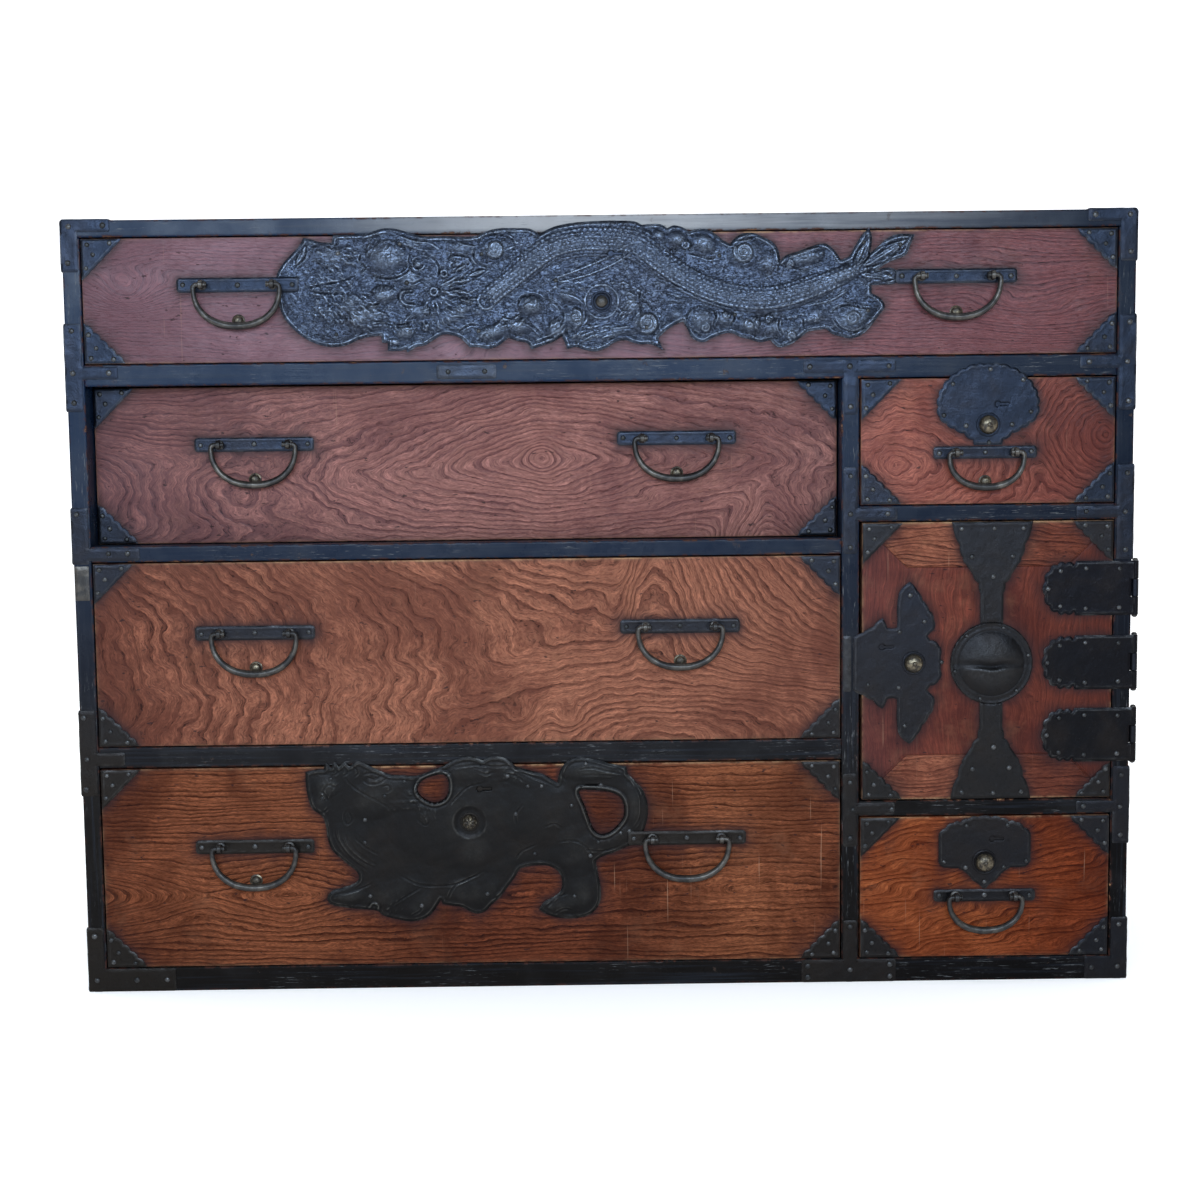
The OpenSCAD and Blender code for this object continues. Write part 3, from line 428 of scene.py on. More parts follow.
def crossings(loops: Sequence[Array], x: Array, z: Array) -> Array:
    """Whether points lie inside any of the loops."""
    inside = np.zeros(x.shape, bool)
    for loop in loops:
        a, b = loop, np.roll(loop, -1, 0)
        odd = np.zeros(x.shape, bool)
        for (ax, az), (bx, bz) in zip(a, b):
            if az == bz:
                continue
            between = (az > z) != (bz > z)
            if between.any():
                odd ^= between & (x < ax + (z - az) * (bx - ax) / (bz - az))
        inside |= odd
    return inside


@dataclass
class Sheet:
    """A sheet of iron, or a board, cut to outlines and shaped by a field of heights.

    Attributes:
        outlines: Loops whose union is the sheet.
        holes: Loops that are cut out.
        guides: Loops inside the sheet along which its faces are cut, for a crisp rim.
        step: Size of the faces.
        thick: Thickness of the sheet.
    """

    outlines: Sequence[Array]
    holes: Sequence[Array] = ()
    guides: Sequence[Array] = ()
    step: float = 2.0
    thick: float = IRON

    def __post_init__(self) -> None:
        """Lays the grid and measures how far each point is from the rim."""
        every = np.concatenate(list(self.outlines))
        lo, hi = every.min(0) - 2 * self.step, every.max(0) + 2 * self.step
        self.xs = np.arange(lo[0], hi[0] + self.step, self.step)
        self.zs = np.arange(lo[1], hi[1] + self.step, self.step)
        self.x, self.z = np.meshgrid(self.xs, self.zs)
        self.inside = crossings(self.outlines, self.x, self.z) & ~crossings(self.holes, self.x, self.z)
        self.loops = [self._resampled(loop) for loop in [*self.outlines, *self.holes]]
        self.edge = np.full(self.x.shape, 30.0)
        for number, loop in enumerate(self.loops):
            others = [o for k, o in enumerate(self.outlines) if k != number]
            middle = (loop + np.roll(loop, -1, 0)) / 2
            hidden = crossings(others, middle[:, 0], middle[:, 1]) if others else np.zeros(len(loop), bool)
            for p, q, gone in zip(loop, np.roll(loop, -1, 0), hidden):
                if not gone:
                    window, distance, _, _ = self._near_segment(p, q, 30.0 if len(self.xs) < 200 else 12.0)
                    np.minimum(self.edge[window], distance, out=self.edge[window])
        self.height = np.zeros(self.x.shape)

    def _resampled(self, loop: Array) -> Array:
        """The loop with no piece longer than a grid step."""
        out = []
        for p, q in zip(loop, np.roll(loop, -1, 0)):
            n = max(1, int(math.ceil(np.hypot(*(q - p)) / self.step)))
            out.append(p + (q - p) * np.arange(n)[:, None] / n)
        return np.concatenate(out)

    def _window(self, x0: float, x1: float, z0: float, z1: float) -> tuple[slice, slice]:
        """The part of the grid that covers a rectangle."""
        i0, i1 = np.searchsorted(self.zs, [z0, z1])
        j0, j1 = np.searchsorted(self.xs, [x0, x1])
        return slice(max(i0 - 1, 0), i1 + 1), slice(max(j0 - 1, 0), j1 + 1)

    def _near_segment(self, p: Array, q: Array, reach: float) -> tuple:
        """Window round a segment, and there the distance, the share along it and the side."""
        w = self._window(min(p[0], q[0]) - reach, max(p[0], q[0]) + reach,
                         min(p[1], q[1]) - reach, max(p[1], q[1]) + reach)
        d = q - p
        gx, gz = self.x[w] - p[0], self.z[w] - p[1]
        t = np.clip((gx * d[0] + gz * d[1]) / max(d @ d, 1e-9), 0, 1)
        return w, np.hypot(gx - d[0] * t, gz - d[1] * t), t, np.sign(d[0] * gz - d[1] * gx)

    def along(self, path: Array, reach: float) -> tuple:
        """How the grid near a path lies to it.

        Args:
            path: Points of the path.
            reach: Furthest distance that matters.

        Returns:
            The window, and there the signed distance and the length run along the path.
        """
        lo, hi = path.min(0) - reach, path.max(0) + reach
        w = self._window(lo[0], hi[0], lo[1], hi[1])
        best = np.full(self.x.shape, 1e6)
        run = np.zeros(self.x.shape)
        side = np.ones(self.x.shape)
        done = 0.0
        for p, q in zip(path, path[1:]):
            length = float(np.hypot(*(q - p)))
            ws, distance, t, s = self._near_segment(p, q, reach)
            closer = distance < best[ws]
            best[ws] = np.where(closer, distance, best[ws])
            run[ws] = np.where(closer, done + t * length, run[ws])
            side[ws] = np.where(closer, s, side[ws])
            done += length
        return w, best[w] * side[w], run[w], done

    def _filled(self) -> tuple[Array, Array, Array]:
        """Grid points that are kept, kept cells and the number of each kept point."""
        keep = self.inside & (self.edge > 0.55 * self.step)
        cells = keep[:-1, :-1] & keep[1:, :-1] & keep[:-1, 1:] & keep[1:, 1:]
        used = np.zeros(keep.shape, bool)
        used[:-1, :-1] |= cells
        used[1:, :-1] |= cells
        used[:-1, 1:] |= cells
        used[1:, 1:] |= cells
        number = np.full(keep.shape, -1)
        number[used] = np.arange(int(used.sum()))
        return used, cells, number

    def height_at(self, point: Point) -> float:
        """Height of the field at the nearest grid point."""
        i = min(int(round((point[1] - self.zs[0]) / self.step)), len(self.zs) - 1)
        j = min(int(round((point[0] - self.xs[0]) / self.step)), len(self.xs) - 1)
        return float(self.height[i, j])

    def hammer(self, seed: int, depth: float, size: float, worn: tuple[float, float],
               bead: tuple[float, float, float]) -> "Sheet":
        """Gives the sheet dents, a worn rim and a faint bead inside it.

        Args:
            seed: Seed of the dents.
            depth: Depth of the dents.
            size: Distance between them.
            worn: Depth and width of the wear at the rim.
            bead: Height of the bead, its distance from the rim and its width.

        Returns:
            The sheet itself.
        """
        dents = depth * ripple(seed, self.x, self.z, size)
        high, away, wide = bead
        self.height[:] = IRON + dents - worn[0] * bell(self.edge, worn[1])
        self.height += high * bell(self.edge - away, wide)
        return self

    def surface(self, rim: float | None = None) -> tuple[Array, Array, list, list]:
        """The flat pattern of the sheet: plane points, heights, faces and rim edges."""
        used, cells, number = self._filled()
        flat = np.stack([self.x[used], self.z[used]], 1)
        height = self.height[used]
        rows, columns = np.nonzero(cells)
        quads = np.stack([number[rows, columns], number[rows, columns + 1],
                          number[rows + 1, columns + 1], number[rows + 1, columns]], 1)
        faces = [tuple(q) for q in quads.tolist()]
        seen: dict[tuple[int, int], int] = {}
        for q in faces:
            for i in range(4):
                e = (q[i], q[(i + 1) % 4])
                key = (min(e), max(e))
                seen[key] = seen.get(key, 0) + 1
        brink = [e for e, n in seen.items() if n == 1]
        rim_points = sorted({i for e in brink for i in e})
        place = {g: k for k, g in enumerate(rim_points)}
        verts = [Vector(flat[g]) for g in rim_points]
        edges = [(place[a], place[b]) for a, b in brink]
        first = len(verts)
        guided = first + sum(len(loop) for loop in self.loops)
        for loop in [*self.loops, *(self._resampled(g) for g in self.guides)]:
            start = len(verts)
            verts.extend(Vector(p) for p in loop)
            edges.extend((start + k, start + (k + 1) % len(loop)) for k in range(len(loop)))
        made, _, triangles, origin, _, _ = delaunay_2d_cdt(verts, edges, [], 0, 1e-5)
        made_at = np.array([[v.x, v.y] for v in made])
        index, extra, levels = [], [], []
        brim = self.thick * 0.6 if rim is None else rim
        for k, sources in enumerate(origin):
            grid = [s for s in sources if s < first]
            if grid:
                index.append(rim_points[grid[0]])
            else:
                index.append(len(flat) + len(extra))
                extra.append(made_at[k])
                inner = bool(sources) and min(sources) >= guided
                levels.append(self.height_at(made_at[k]) if inner else brim)
        middle = np.array([made_at[list(t)].mean(0) for t in triangles])
        wanted = crossings(self.outlines, middle[:, 0], middle[:, 1])
        wanted &= ~crossings(self.holes, middle[:, 0], middle[:, 1])
        i = np.clip(((middle[:, 1] - self.zs[0]) // self.step).astype(int), 0, cells.shape[0] - 1)
        j = np.clip(((middle[:, 0] - self.xs[0]) // self.step).astype(int), 0, cells.shape[1] - 1)
        wanted &= ~cells[i, j]
        for t, good in zip(triangles, wanted):
            if good:
                ids = tuple(index[k] for k in t)
                if len(set(ids)) == 3:
                    faces.append(ids)
        if extra:
            flat = np.vstack([flat, extra])
            height = np.concatenate([height, levels])
        once: dict[tuple[int, int], tuple[int, int]] = {}
        for f in faces:
            for k in range(len(f)):
                a, b = f[k], f[(k + 1) % len(f)]
                key = (min(a, b), max(a, b))
                if key in once:
                    del once[key]
                else:
                    once[key] = (a, b)
        return flat, height, faces, list(once.values())

    def _sampled(self, field_: Array, at: Array) -> Array:
        """A field of the grid, read at points between its nodes."""
        u, v = (at[:, 0] - self.xs[0]) / self.step, (at[:, 1] - self.zs[0]) / self.step
        i, j = np.clip(v.astype(int), 0, len(self.zs) - 2), np.clip(u.astype(int), 0, len(self.xs) - 2)
        a, b = np.clip(v - i, 0, 1), np.clip(u - j, 0, 1)
        low = field_[i, j] * (1 - b) + field_[i, j + 1] * b
        return low * (1 - a) + (field_[i + 1, j] * (1 - b) + field_[i + 1, j + 1] * b) * a

    def skin(self, place: Placer, rim: float | None = None, back: float | None = None,
             paint: Painter | None = None, into: Skin | None = None) -> Skin:
        """Lifts the pattern into space and closes its rim.

        Args:
            place: Turns plane points and heights into points in space.
            rim: Height of the rim; None rolls it down a little.
            back: Height of the back face, or None for an open back at height 0.
            paint: Gives painted values from the plane points.
            into: A skin to add to.

        Returns:
            The skin with the sheet added.
        """
        into = into or Skin()
        flat, height, faces, brink = self.surface(rim)
        values = paint(flat[:, 0], flat[:, 1]) if paint else {}
        if paint is None:
            mask = self.inside.astype(float)
            near, wide = (blurred(self.height * mask, n) / np.maximum(blurred(mask, n), 0.05)
                          for n in (6, 150))
            values["crest"] = self._sampled(np.clip((self.height - near) / 0.5, -1, 1), flat)
            # painted highlight, partly real polish of high spots: lighter on broad raised parts
            values["lump"] = self._sampled(np.clip((near - wide) / 1.3, -1, 1), flat)
            values["rim"] = bell(self._sampled(self.edge, flat) - 0.6, 0.9)
        points = place(flat[:, 0], flat[:, 1], height)
        low = np.unique([i for e in brink for i in e])
        floor = 0.0 if back is None else back
        if back is None:
            foot = place(flat[low, 0], flat[low, 1], np.full(len(low), floor))
            where = {int(g): len(points) + k for k, g in enumerate(low)}
            sides = [(b, a, where[a], where[b]) for a, b in brink]
            every = {k: np.concatenate([v, v[low]]) for k, v in values.items()}
            return into.add(np.vstack([points, foot]), faces + sides, **every)
        behind = place(flat[:, 0], flat[:, 1], np.full(len(flat), floor))
        n = len(points)
        sides = [(b, a, a + n, b + n) for a, b in brink]
        backs = [tuple(i + n for i in f[::-1]) for f in faces]
        every = {k: np.concatenate([v, v * (k != "stain")]) for k, v in values.items()}
        return into.add(np.vstack([points, behind]), faces + sides + backs, **every)


def facing(y: float) -> Placer:
    """Places a sheet on a plane that faces the viewer at that Y."""
    return lambda x, z, h: np.stack([x, y - h, z], 1)


def distance_to(loops: Sequence[Array], x: Array, z: Array) -> Array:
    """Distance of points from the nearest loop, and 0 inside one."""
    best = np.full(x.shape, 1e6)
    for loop in loops:
        for p, q in zip(loop, np.roll(loop, -1, 0)):
            d = q - p
            t = np.clip(((x - p[0]) * d[0] + (z - p[1]) * d[1]) / max(d @ d, 1e-9), 0, 1)
            np.minimum(best, np.hypot(x - p[0] - d[0] * t, z - p[1] - d[1] * t), out=best)
    return np.where(crossings(loops, x, z), 0.0, best)


# --------------------------------------------------------------------------- finishes

RUBBED_WOOD = (0.32, 0.15, 0.075)         # lacquer rubbed thin
SHADE = (0.42, 0.30, 0.30)                # darker, redder ends of a front: partly painted shade, partly darker lacquer
SCRATCH = (0.36, 0.19, 0.11)              # long scratches
NICK = (0.018, 0.009, 0.009)              # nicks filled with dirt
IRON_STAIN = (0.022, 0.010, 0.010)        # wood darkened by the iron, and darker along a front's edges
RAW_WOOD = (0.52, 0.30, 0.15)             # bare wood of the fronts
RIGHT_SIDE_SHADE = (0.0030, 0.0028, 0.0032)    # painted shade on the black lacquer towards the right
LACQUER_PATCH = (0.016, 0.014, 0.014)     # thin places in it
BRUSH_MARK = (0.020, 0.023, 0.030)        # marks of the brush
TOP_EDGE_SHEEN = (0.310, 0.285, 0.265)              # painted sheen on the front edge of the top board
DUST = (0.13, 0.125, 0.12)                # dusty scuffs
FLAKE = (0.050, 0.030, 0.022)             # flaked places
UNDERCOAT = (0.05, 0.018, 0.012)          # ring round a bare place
CARCASS_PALE = (0.42, 0.22, 0.10)         # bare wood of the carcass
CARCASS_DARK = (0.20, 0.095, 0.05)        # its dark fibres
RUST = (0.020, 0.015, 0.012)              # brown patches on iron
SPECK = (0.085, 0.082, 0.080)             # bright specks on iron
PIT = (0.003, 0.003, 0.003)               # pits in iron
CUT = (0.005, 0.005, 0.006)               # chased cuts
HOLLOW = (0.0035, 0.0035, 0.004)          # soot in the hollows
SOOT = (0.012, 0.010, 0.009)              # specks on handled iron
DIRT = (0.11, 0.07, 0.045)                # dirt on bare boards


class Shader:
    """A node material, built one node at a time."""

    def __init__(self, name: str) -> None:
        """Starts a material with a plain surface node."""
        self.material = bpy.data.materials.new(name)
        self.material.use_nodes = True
        self.tree = self.material.node_tree
        self.surface = next(n for n in self.tree.nodes if n.type == "BSDF_PRINCIPLED")
        self._coords = None

    def put(self, socket: Socket, value: object) -> None:
        """Links a socket to another, or sets its value."""
        if isinstance(value, bpy.types.NodeSocket):
            self.tree.links.new(value, socket)
        else:
            socket.default_value = value

    def node(self, kind: str, **settings: object) -> bpy.types.Node:
        """Adds a node and sets its properties."""
        made = self.tree.nodes.new(kind)
        for key, value in settings.items():
            setattr(made, key, value)
        return made

    def coords(self, scale: Point = (1, 1, 1), turn: float = 0.0) -> Socket:
        """The piece's own coordinates in metres, stretched and turned about Y."""
        if self._coords is None:
            self._coords = self.node("ShaderNodeTexCoord").outputs["Object"]
        mapping = self.node("ShaderNodeMapping")
        self.put(mapping.inputs["Vector"], self._coords)
        mapping.inputs["Scale"].default_value = scale
        mapping.inputs["Rotation"].default_value = (0, turn, 0)
        return mapping.outputs["Vector"]

    def noise(self, vector: object, scale: float, detail: float = 4, rough: float = 0.55,
              warp: float = 0.0) -> Socket:
        """Fractal noise, 0 to 1."""
        made = self.node("ShaderNodeTexNoise")
        self.put(made.inputs["Vector"], vector)
        for key, value in (("Scale", scale), ("Detail", detail), ("Roughness", rough), ("Distortion", warp)):
            made.inputs[key].default_value = value
        return made.outputs["Fac"]

    def cells(self, vector: object, scale: float, feature: str = "F1") -> Socket:
        """Distance to the nearest of scattered points."""
        made = self.node("ShaderNodeTexVoronoi", feature=feature)
        self.put(made.inputs["Vector"], vector)
        made.inputs["Scale"].default_value = scale
        return made.outputs["Distance"]

    def axis(self, number: int) -> Socket:
        """One of the three coordinates, in metres."""
        axes = self.node("ShaderNodeSeparateXYZ")
        self.put(axes.inputs[0], self.coords())
        return axes.outputs[number]

    def painted(self, name: str) -> Socket:
        """A value painted on the mesh's points."""
        return self.node("ShaderNodeAttribute", attribute_name=name).outputs["Fac"]

    def maths(self, operation: str, a: object, b: object = 0.0, clamp: bool = False) -> Socket:
        """One sum on two values."""
        made = self.node("ShaderNodeMath", operation=operation, use_clamp=clamp)
        self.put(made.inputs[0], a)
        self.put(made.inputs[1], b)
        return made.outputs[0]

    def times(self, first: object, *others: object) -> object:
        """Product of some values."""
        for other in others:
            first = self.maths("MULTIPLY", first, other)
        return first

    def plus(self, a: object, b: object, clamp: bool = False) -> Socket:
        """Sum of two values."""
        return self.maths("ADD", a, b, clamp)

    def minus(self, a: object, b: object) -> Socket:
        """Difference of two values."""
        return self.maths("SUBTRACT", a, b)

    def most(self, a: object, b: object) -> Socket:
        """The higher of two values."""
        return self.maths("MAXIMUM", a, b)

    def band(self, value: object, low: float, high: float, to: tuple[float, float] = (0.0, 1.0)) -> Socket:
        """Smoothly maps low..high to the given range, clamped."""
        made = self.node("ShaderNodeMapRange", interpolation_type="SMOOTHSTEP")
        self.put(made.inputs["Value"], value)
        for key, number in (("From Min", low), ("From Max", high), ("To Min", to[0]), ("To Max", to[1])):
            made.inputs[key].default_value = number
        return made.outputs["Result"]

    def mix(self, share: object, a: object, b: object, blend: str = "MIX") -> Socket:
        """Mixes two colours."""
        made = self.node("ShaderNodeMix", data_type="RGBA", blend_type=blend)
        self.put(made.inputs[0], share)
        self.put(made.inputs[6], (*a, 1) if isinstance(a, tuple) else a)
        self.put(made.inputs[7], (*b, 1) if isinstance(b, tuple) else b)
        return made.outputs[2]

    def over(self, under: object, colour: object, *shares: object) -> Socket:
        """Lays a colour over another, by the product of some shares."""
        return self.mix(self.times(*shares), under, colour)

    def bump(self, height: object, depth: float, strength: float = 1.0, under: object = None) -> Socket:
        """Bumps of a depth in metres."""
        made = self.node("ShaderNodeBump")
        self.put(made.inputs["Height"], height)
        made.inputs["Distance"].default_value = depth
        made.inputs["Strength"].default_value = strength
        if under is not None:
            self.put(made.inputs["Normal"], under)
        return made.outputs["Normal"]

    def finish(self, colour: object, rough: object, normal: object = None, metal: float = 0.0,
               shine: object = 0.5) -> Finish:
        """Connects the surface and returns the material."""
        self.put(self.surface.inputs["Base Color"], colour)
        self.put(self.surface.inputs["Roughness"], rough)
        self.surface.inputs["Metallic"].default_value = metal
        self.put(self.surface.inputs["Specular IOR Level"], shine)
        if normal is not None:
            self.put(self.surface.inputs["Normal"], normal)
        return self.material


class Fibre(Enum):
    """Direction of a board's fibres."""

    ACROSS = "x"
    UPRIGHT = "z"
    DEEP = "y"

    def stretch(self, along: float, over: float) -> tuple[float, float, float]:
        """Texture scales along the fibres and over them."""
        return tuple(along if self.value == axis else over for axis in "xyz")


@dataclass(frozen=True)
class WipedLacquer:
    """Red-brown lacquer wiped into open-grained elm, on the fronts.

    Attributes:
        name: Name of the material.
        light: Colour of the late wood.
        deep: Colour of the early wood.
        worn: How much the surface is rubbed.
        shine: Strength of its gloss.
        figure: How plainly the grain shows.
        sheen_colour: Colour of the painted sheen on the lacquer.
    """

    name: str
    light: Colour
    deep: Colour
    worn: float = 0.3
    shine: float = 0.1
    figure: float = 1.0
    sheen_colour: Colour = (0.205, 0.130, 0.155)

    def material(self) -> Finish:
        """Builds the material; the mesh carries the values rings, stain, bare, shade and bloom."""
        s = Shader(self.name)
        place = s.coords()
        axes = s.node("ShaderNodeSeparateXYZ")
        s.put(axes.inputs[0], place)
        rings = s.plus(s.painted("rings"), s.times(s.noise(place, 36, 4, 0.6), 0.9))

        def along(over: float, run: float) -> Socket:
            """Coordinates that run with the rings."""
            made = s.node("ShaderNodeCombineXYZ")
            for slot, value, by in zip(made.inputs, (rings, axes.outputs[0], axes.outputs[2]),
                                       (over, run, run)):
                s.put(slot, s.times(value, by))
            return made.outputs[0]

        part = s.maths("FRACT", rings)
        share = s.noise(along(0.9, 5), 1.0, 3, 0.6)
        early = s.times(s.band(part, 0.2, 0.95), s.band(part, 1.0, 0.93))
        early = s.times(early, s.band(share, 0.34, 0.62, (0.12, 1.0)))
        streak = s.noise(along(4.5, 48), 1.0, 5, 0.72)
        fleck = s.noise(along(9, 190), 1.0, 3, 0.6)
        dash = s.noise(along(13, 120), 1.0, 2, 0.5)
        tone = s.noise(place, 8, 5, 0.62, 0.5)
        pale = tuple(1.75 * c for c in self.light)
        colour = s.mix(s.band(streak, 0.34, 0.58), pale, self.light)
        colour = s.over(colour, self.deep, s.band(fleck, 0.42, 0.62), 0.5 * self.figure)
        colour = s.over(colour, self.deep, s.band(tone, 0.40, 0.62), 0.65)
        colour = s.over(colour, tuple(0.8 * c for c in self.deep), early, 0.85 * self.figure)
        holes = s.times(s.band(dash, 0.55, 0.64), s.plus(s.times(early, 0.7), 0.3))
        holes = s.times(holes, self.figure)
        colour = s.over(colour, tuple(c * 0.2 for c in self.deep), holes, 0.85)
        rub = s.band(s.noise(place, 16, 6, 0.7), 0.52, 0.75)
        colour = s.over(colour, RUBBED_WOOD, rub, self.worn * 0.3)
        # shade: partly painted shade where less light falls, partly darker lacquer
        colour = s.mix(s.painted("shade"), colour, SHADE, "MULTIPLY")
        # painted sheen: a bluish reflection laid over the wood where the front catches the sky light
        bloom = s.times(s.painted("bloom"), s.band(tone, 0.25, 0.75, (1.0, 0.55)))
        colour = s.over(colour, self.sheen_colour, bloom)
        scratch = s.noise(s.coords((420, 420, 9), 0.05), 1.0, 2, 0.5)
        mark = s.times(s.band(scratch, 0.69, 0.77), s.band(s.noise(place, 6, 3), 0.46, 0.60, (0, 0.7)))
        colour = s.over(colour, SCRATCH, mark, self.worn)
        nicks = s.times(s.band(s.noise(s.coords((95, 95, 260), 0.35), 1.0, 2, 0.5), 0.70, 0.76), 0.8)
        colour = s.over(colour, NICK, nicks)
        stain = s.painted("stain")
        colour = s.over(colour, IRON_STAIN, s.maths("MULTIPLY", stain, 0.9, True))
        bare = s.times(s.painted("bare"), s.band(s.noise(place, 70, 5, 0.7), 0.35, 0.6))
        colour = s.over(colour, RAW_WOOD, bare)
        rough = s.band(s.noise(place, 22, 4, 0.6), 0.2, 0.8, (0.30, 0.46))
        rough = s.plus(rough, s.times(holes, 0.2))
        relief = s.minus(s.times(streak, 0.6), s.plus(holes, s.times(early, 0.5)))
        normal = s.bump(s.minus(relief, s.times(nicks, 1.5)), 0.0005, 0.55)
        normal = s.bump(s.noise(place, 24, 3, 0.5), 0.002, 0.14, normal)
        return s.finish(colour, rough, normal, 0.0, self.shine)


@dataclass(frozen=True)
class BlackLacquer:
    """Thick black lacquer on the carcass, rubbed through along the edges; painted light makes it bluish
    towards the top and darker towards the right, with a painted sheen on the top board's front edge.
    """

    name: str
    fibre: Fibre = Fibre.ACROSS
    # low and high are painted light: darker near the floor, bluish and lighter near the top
    low: Colour = (0.0060, 0.0047, 0.0040)
    high: Colour = (0.0046, 0.0135, 0.0330)

    def material(self) -> Finish:
        """Builds the material; the mesh may carry the value bare."""
        s = Shader(self.name)
        place = s.coords()
        height = s.axis(2)
        side = s.band(s.axis(0), 0.0, 0.62)
        brush = s.noise(s.coords(self.fibre.stretch(5, 240)), 1.0, 4, 0.6)
        patch = s.noise(place, 14, 6, 0.65, 0.4)
        # painted light: the lacquer turns bluish towards the top and darker towards the right, as the light
        # falls
        tint = s.mix(s.band(height, 0.2, 0.72), self.low, self.high)
        tint = s.over(tint, RIGHT_SIDE_SHADE, side, 0.6)
        colour = s.mix(s.times(s.band(patch, 0.5, 0.8), 0.4), tint, LACQUER_PATCH)
        colour = s.over(colour, BRUSH_MARK, s.band(brush, 0.48, 0.72), 0.5)
        # painted sheen: a pale reflection on the middle of the top board's front edge
        crown = s.times(s.band(height, 0.852, 0.868), s.band(s.maths("ABSOLUTE", s.axis(0)), 0.6, 0.0))
        crown = s.times(crown, s.band(s.axis(1), -0.205, -0.222))
        edge_sheen = s.times(crown, s.band(s.noise(s.coords((3, 3, 60)), 1.0, 4, 0.6), 0.35, 0.6, (0.3, 0.85)))
        edge_sheen = s.times(edge_sheen, s.band(s.axis(0), -0.36, -0.10, (0.15, 1)))
        colour = s.over(colour, TOP_EDGE_SHEEN, edge_sheen)
        dust = s.noise(s.coords(self.fibre.stretch(40, 520)), 1.0, 3, 0.75)
        scuff = s.times(s.band(dust, 0.58, 0.68), s.band(s.noise(place, 7, 3), 0.42, 0.58))
        colour = s.over(colour, DUST, scuff, 0.75)
        flake = s.times(s.band(s.noise(place, 55, 6, 0.72), 0.64, 0.68),
                        s.band(s.noise(place, 5, 3), 0.44, 0.58))
        colour = s.over(colour, FLAKE, flake)
        chips = s.band(s.noise(place, 95, 5, 0.75), 0.46, 0.56)
        bare = s.maths("MULTIPLY", s.painted("bare"), chips, True)
        wood = s.mix(s.noise(s.coords(self.fibre.stretch(30, 700)), 1.0, 3), CARCASS_PALE, CARCASS_DARK)
        rim = s.band(bare, 0.02, 0.3)
        colour = s.over(colour, UNDERCOAT, rim)
        colour = s.over(colour, wood, s.band(bare, 0.3, 0.7))
        rough = s.band(s.noise(place, 30, 5, 0.65), 0.3, 0.75, (0.24, 0.40))
        rough = s.plus(rough, s.times(scuff, 0.2), True)
        normal = s.bump(brush, 0.0004, 0.35)
        normal = s.bump(s.noise(place, 45, 5, 0.6), 0.0012, 0.25, normal)
        normal = s.bump(s.minus(1.0, s.most(rim, s.times(flake, 0.6))), 0.0005, 0.6, normal)
        shine = s.times(s.band(height, 0.0, 0.6, (0.045, 0.13)), s.band(patch, 0.3, 0.7, (0.7, 1.4)))
        shine = s.times(shine, s.minus(1.0, s.times(side, 0.55)))
        return s.finish(colour, rough, normal, 0.0, shine)


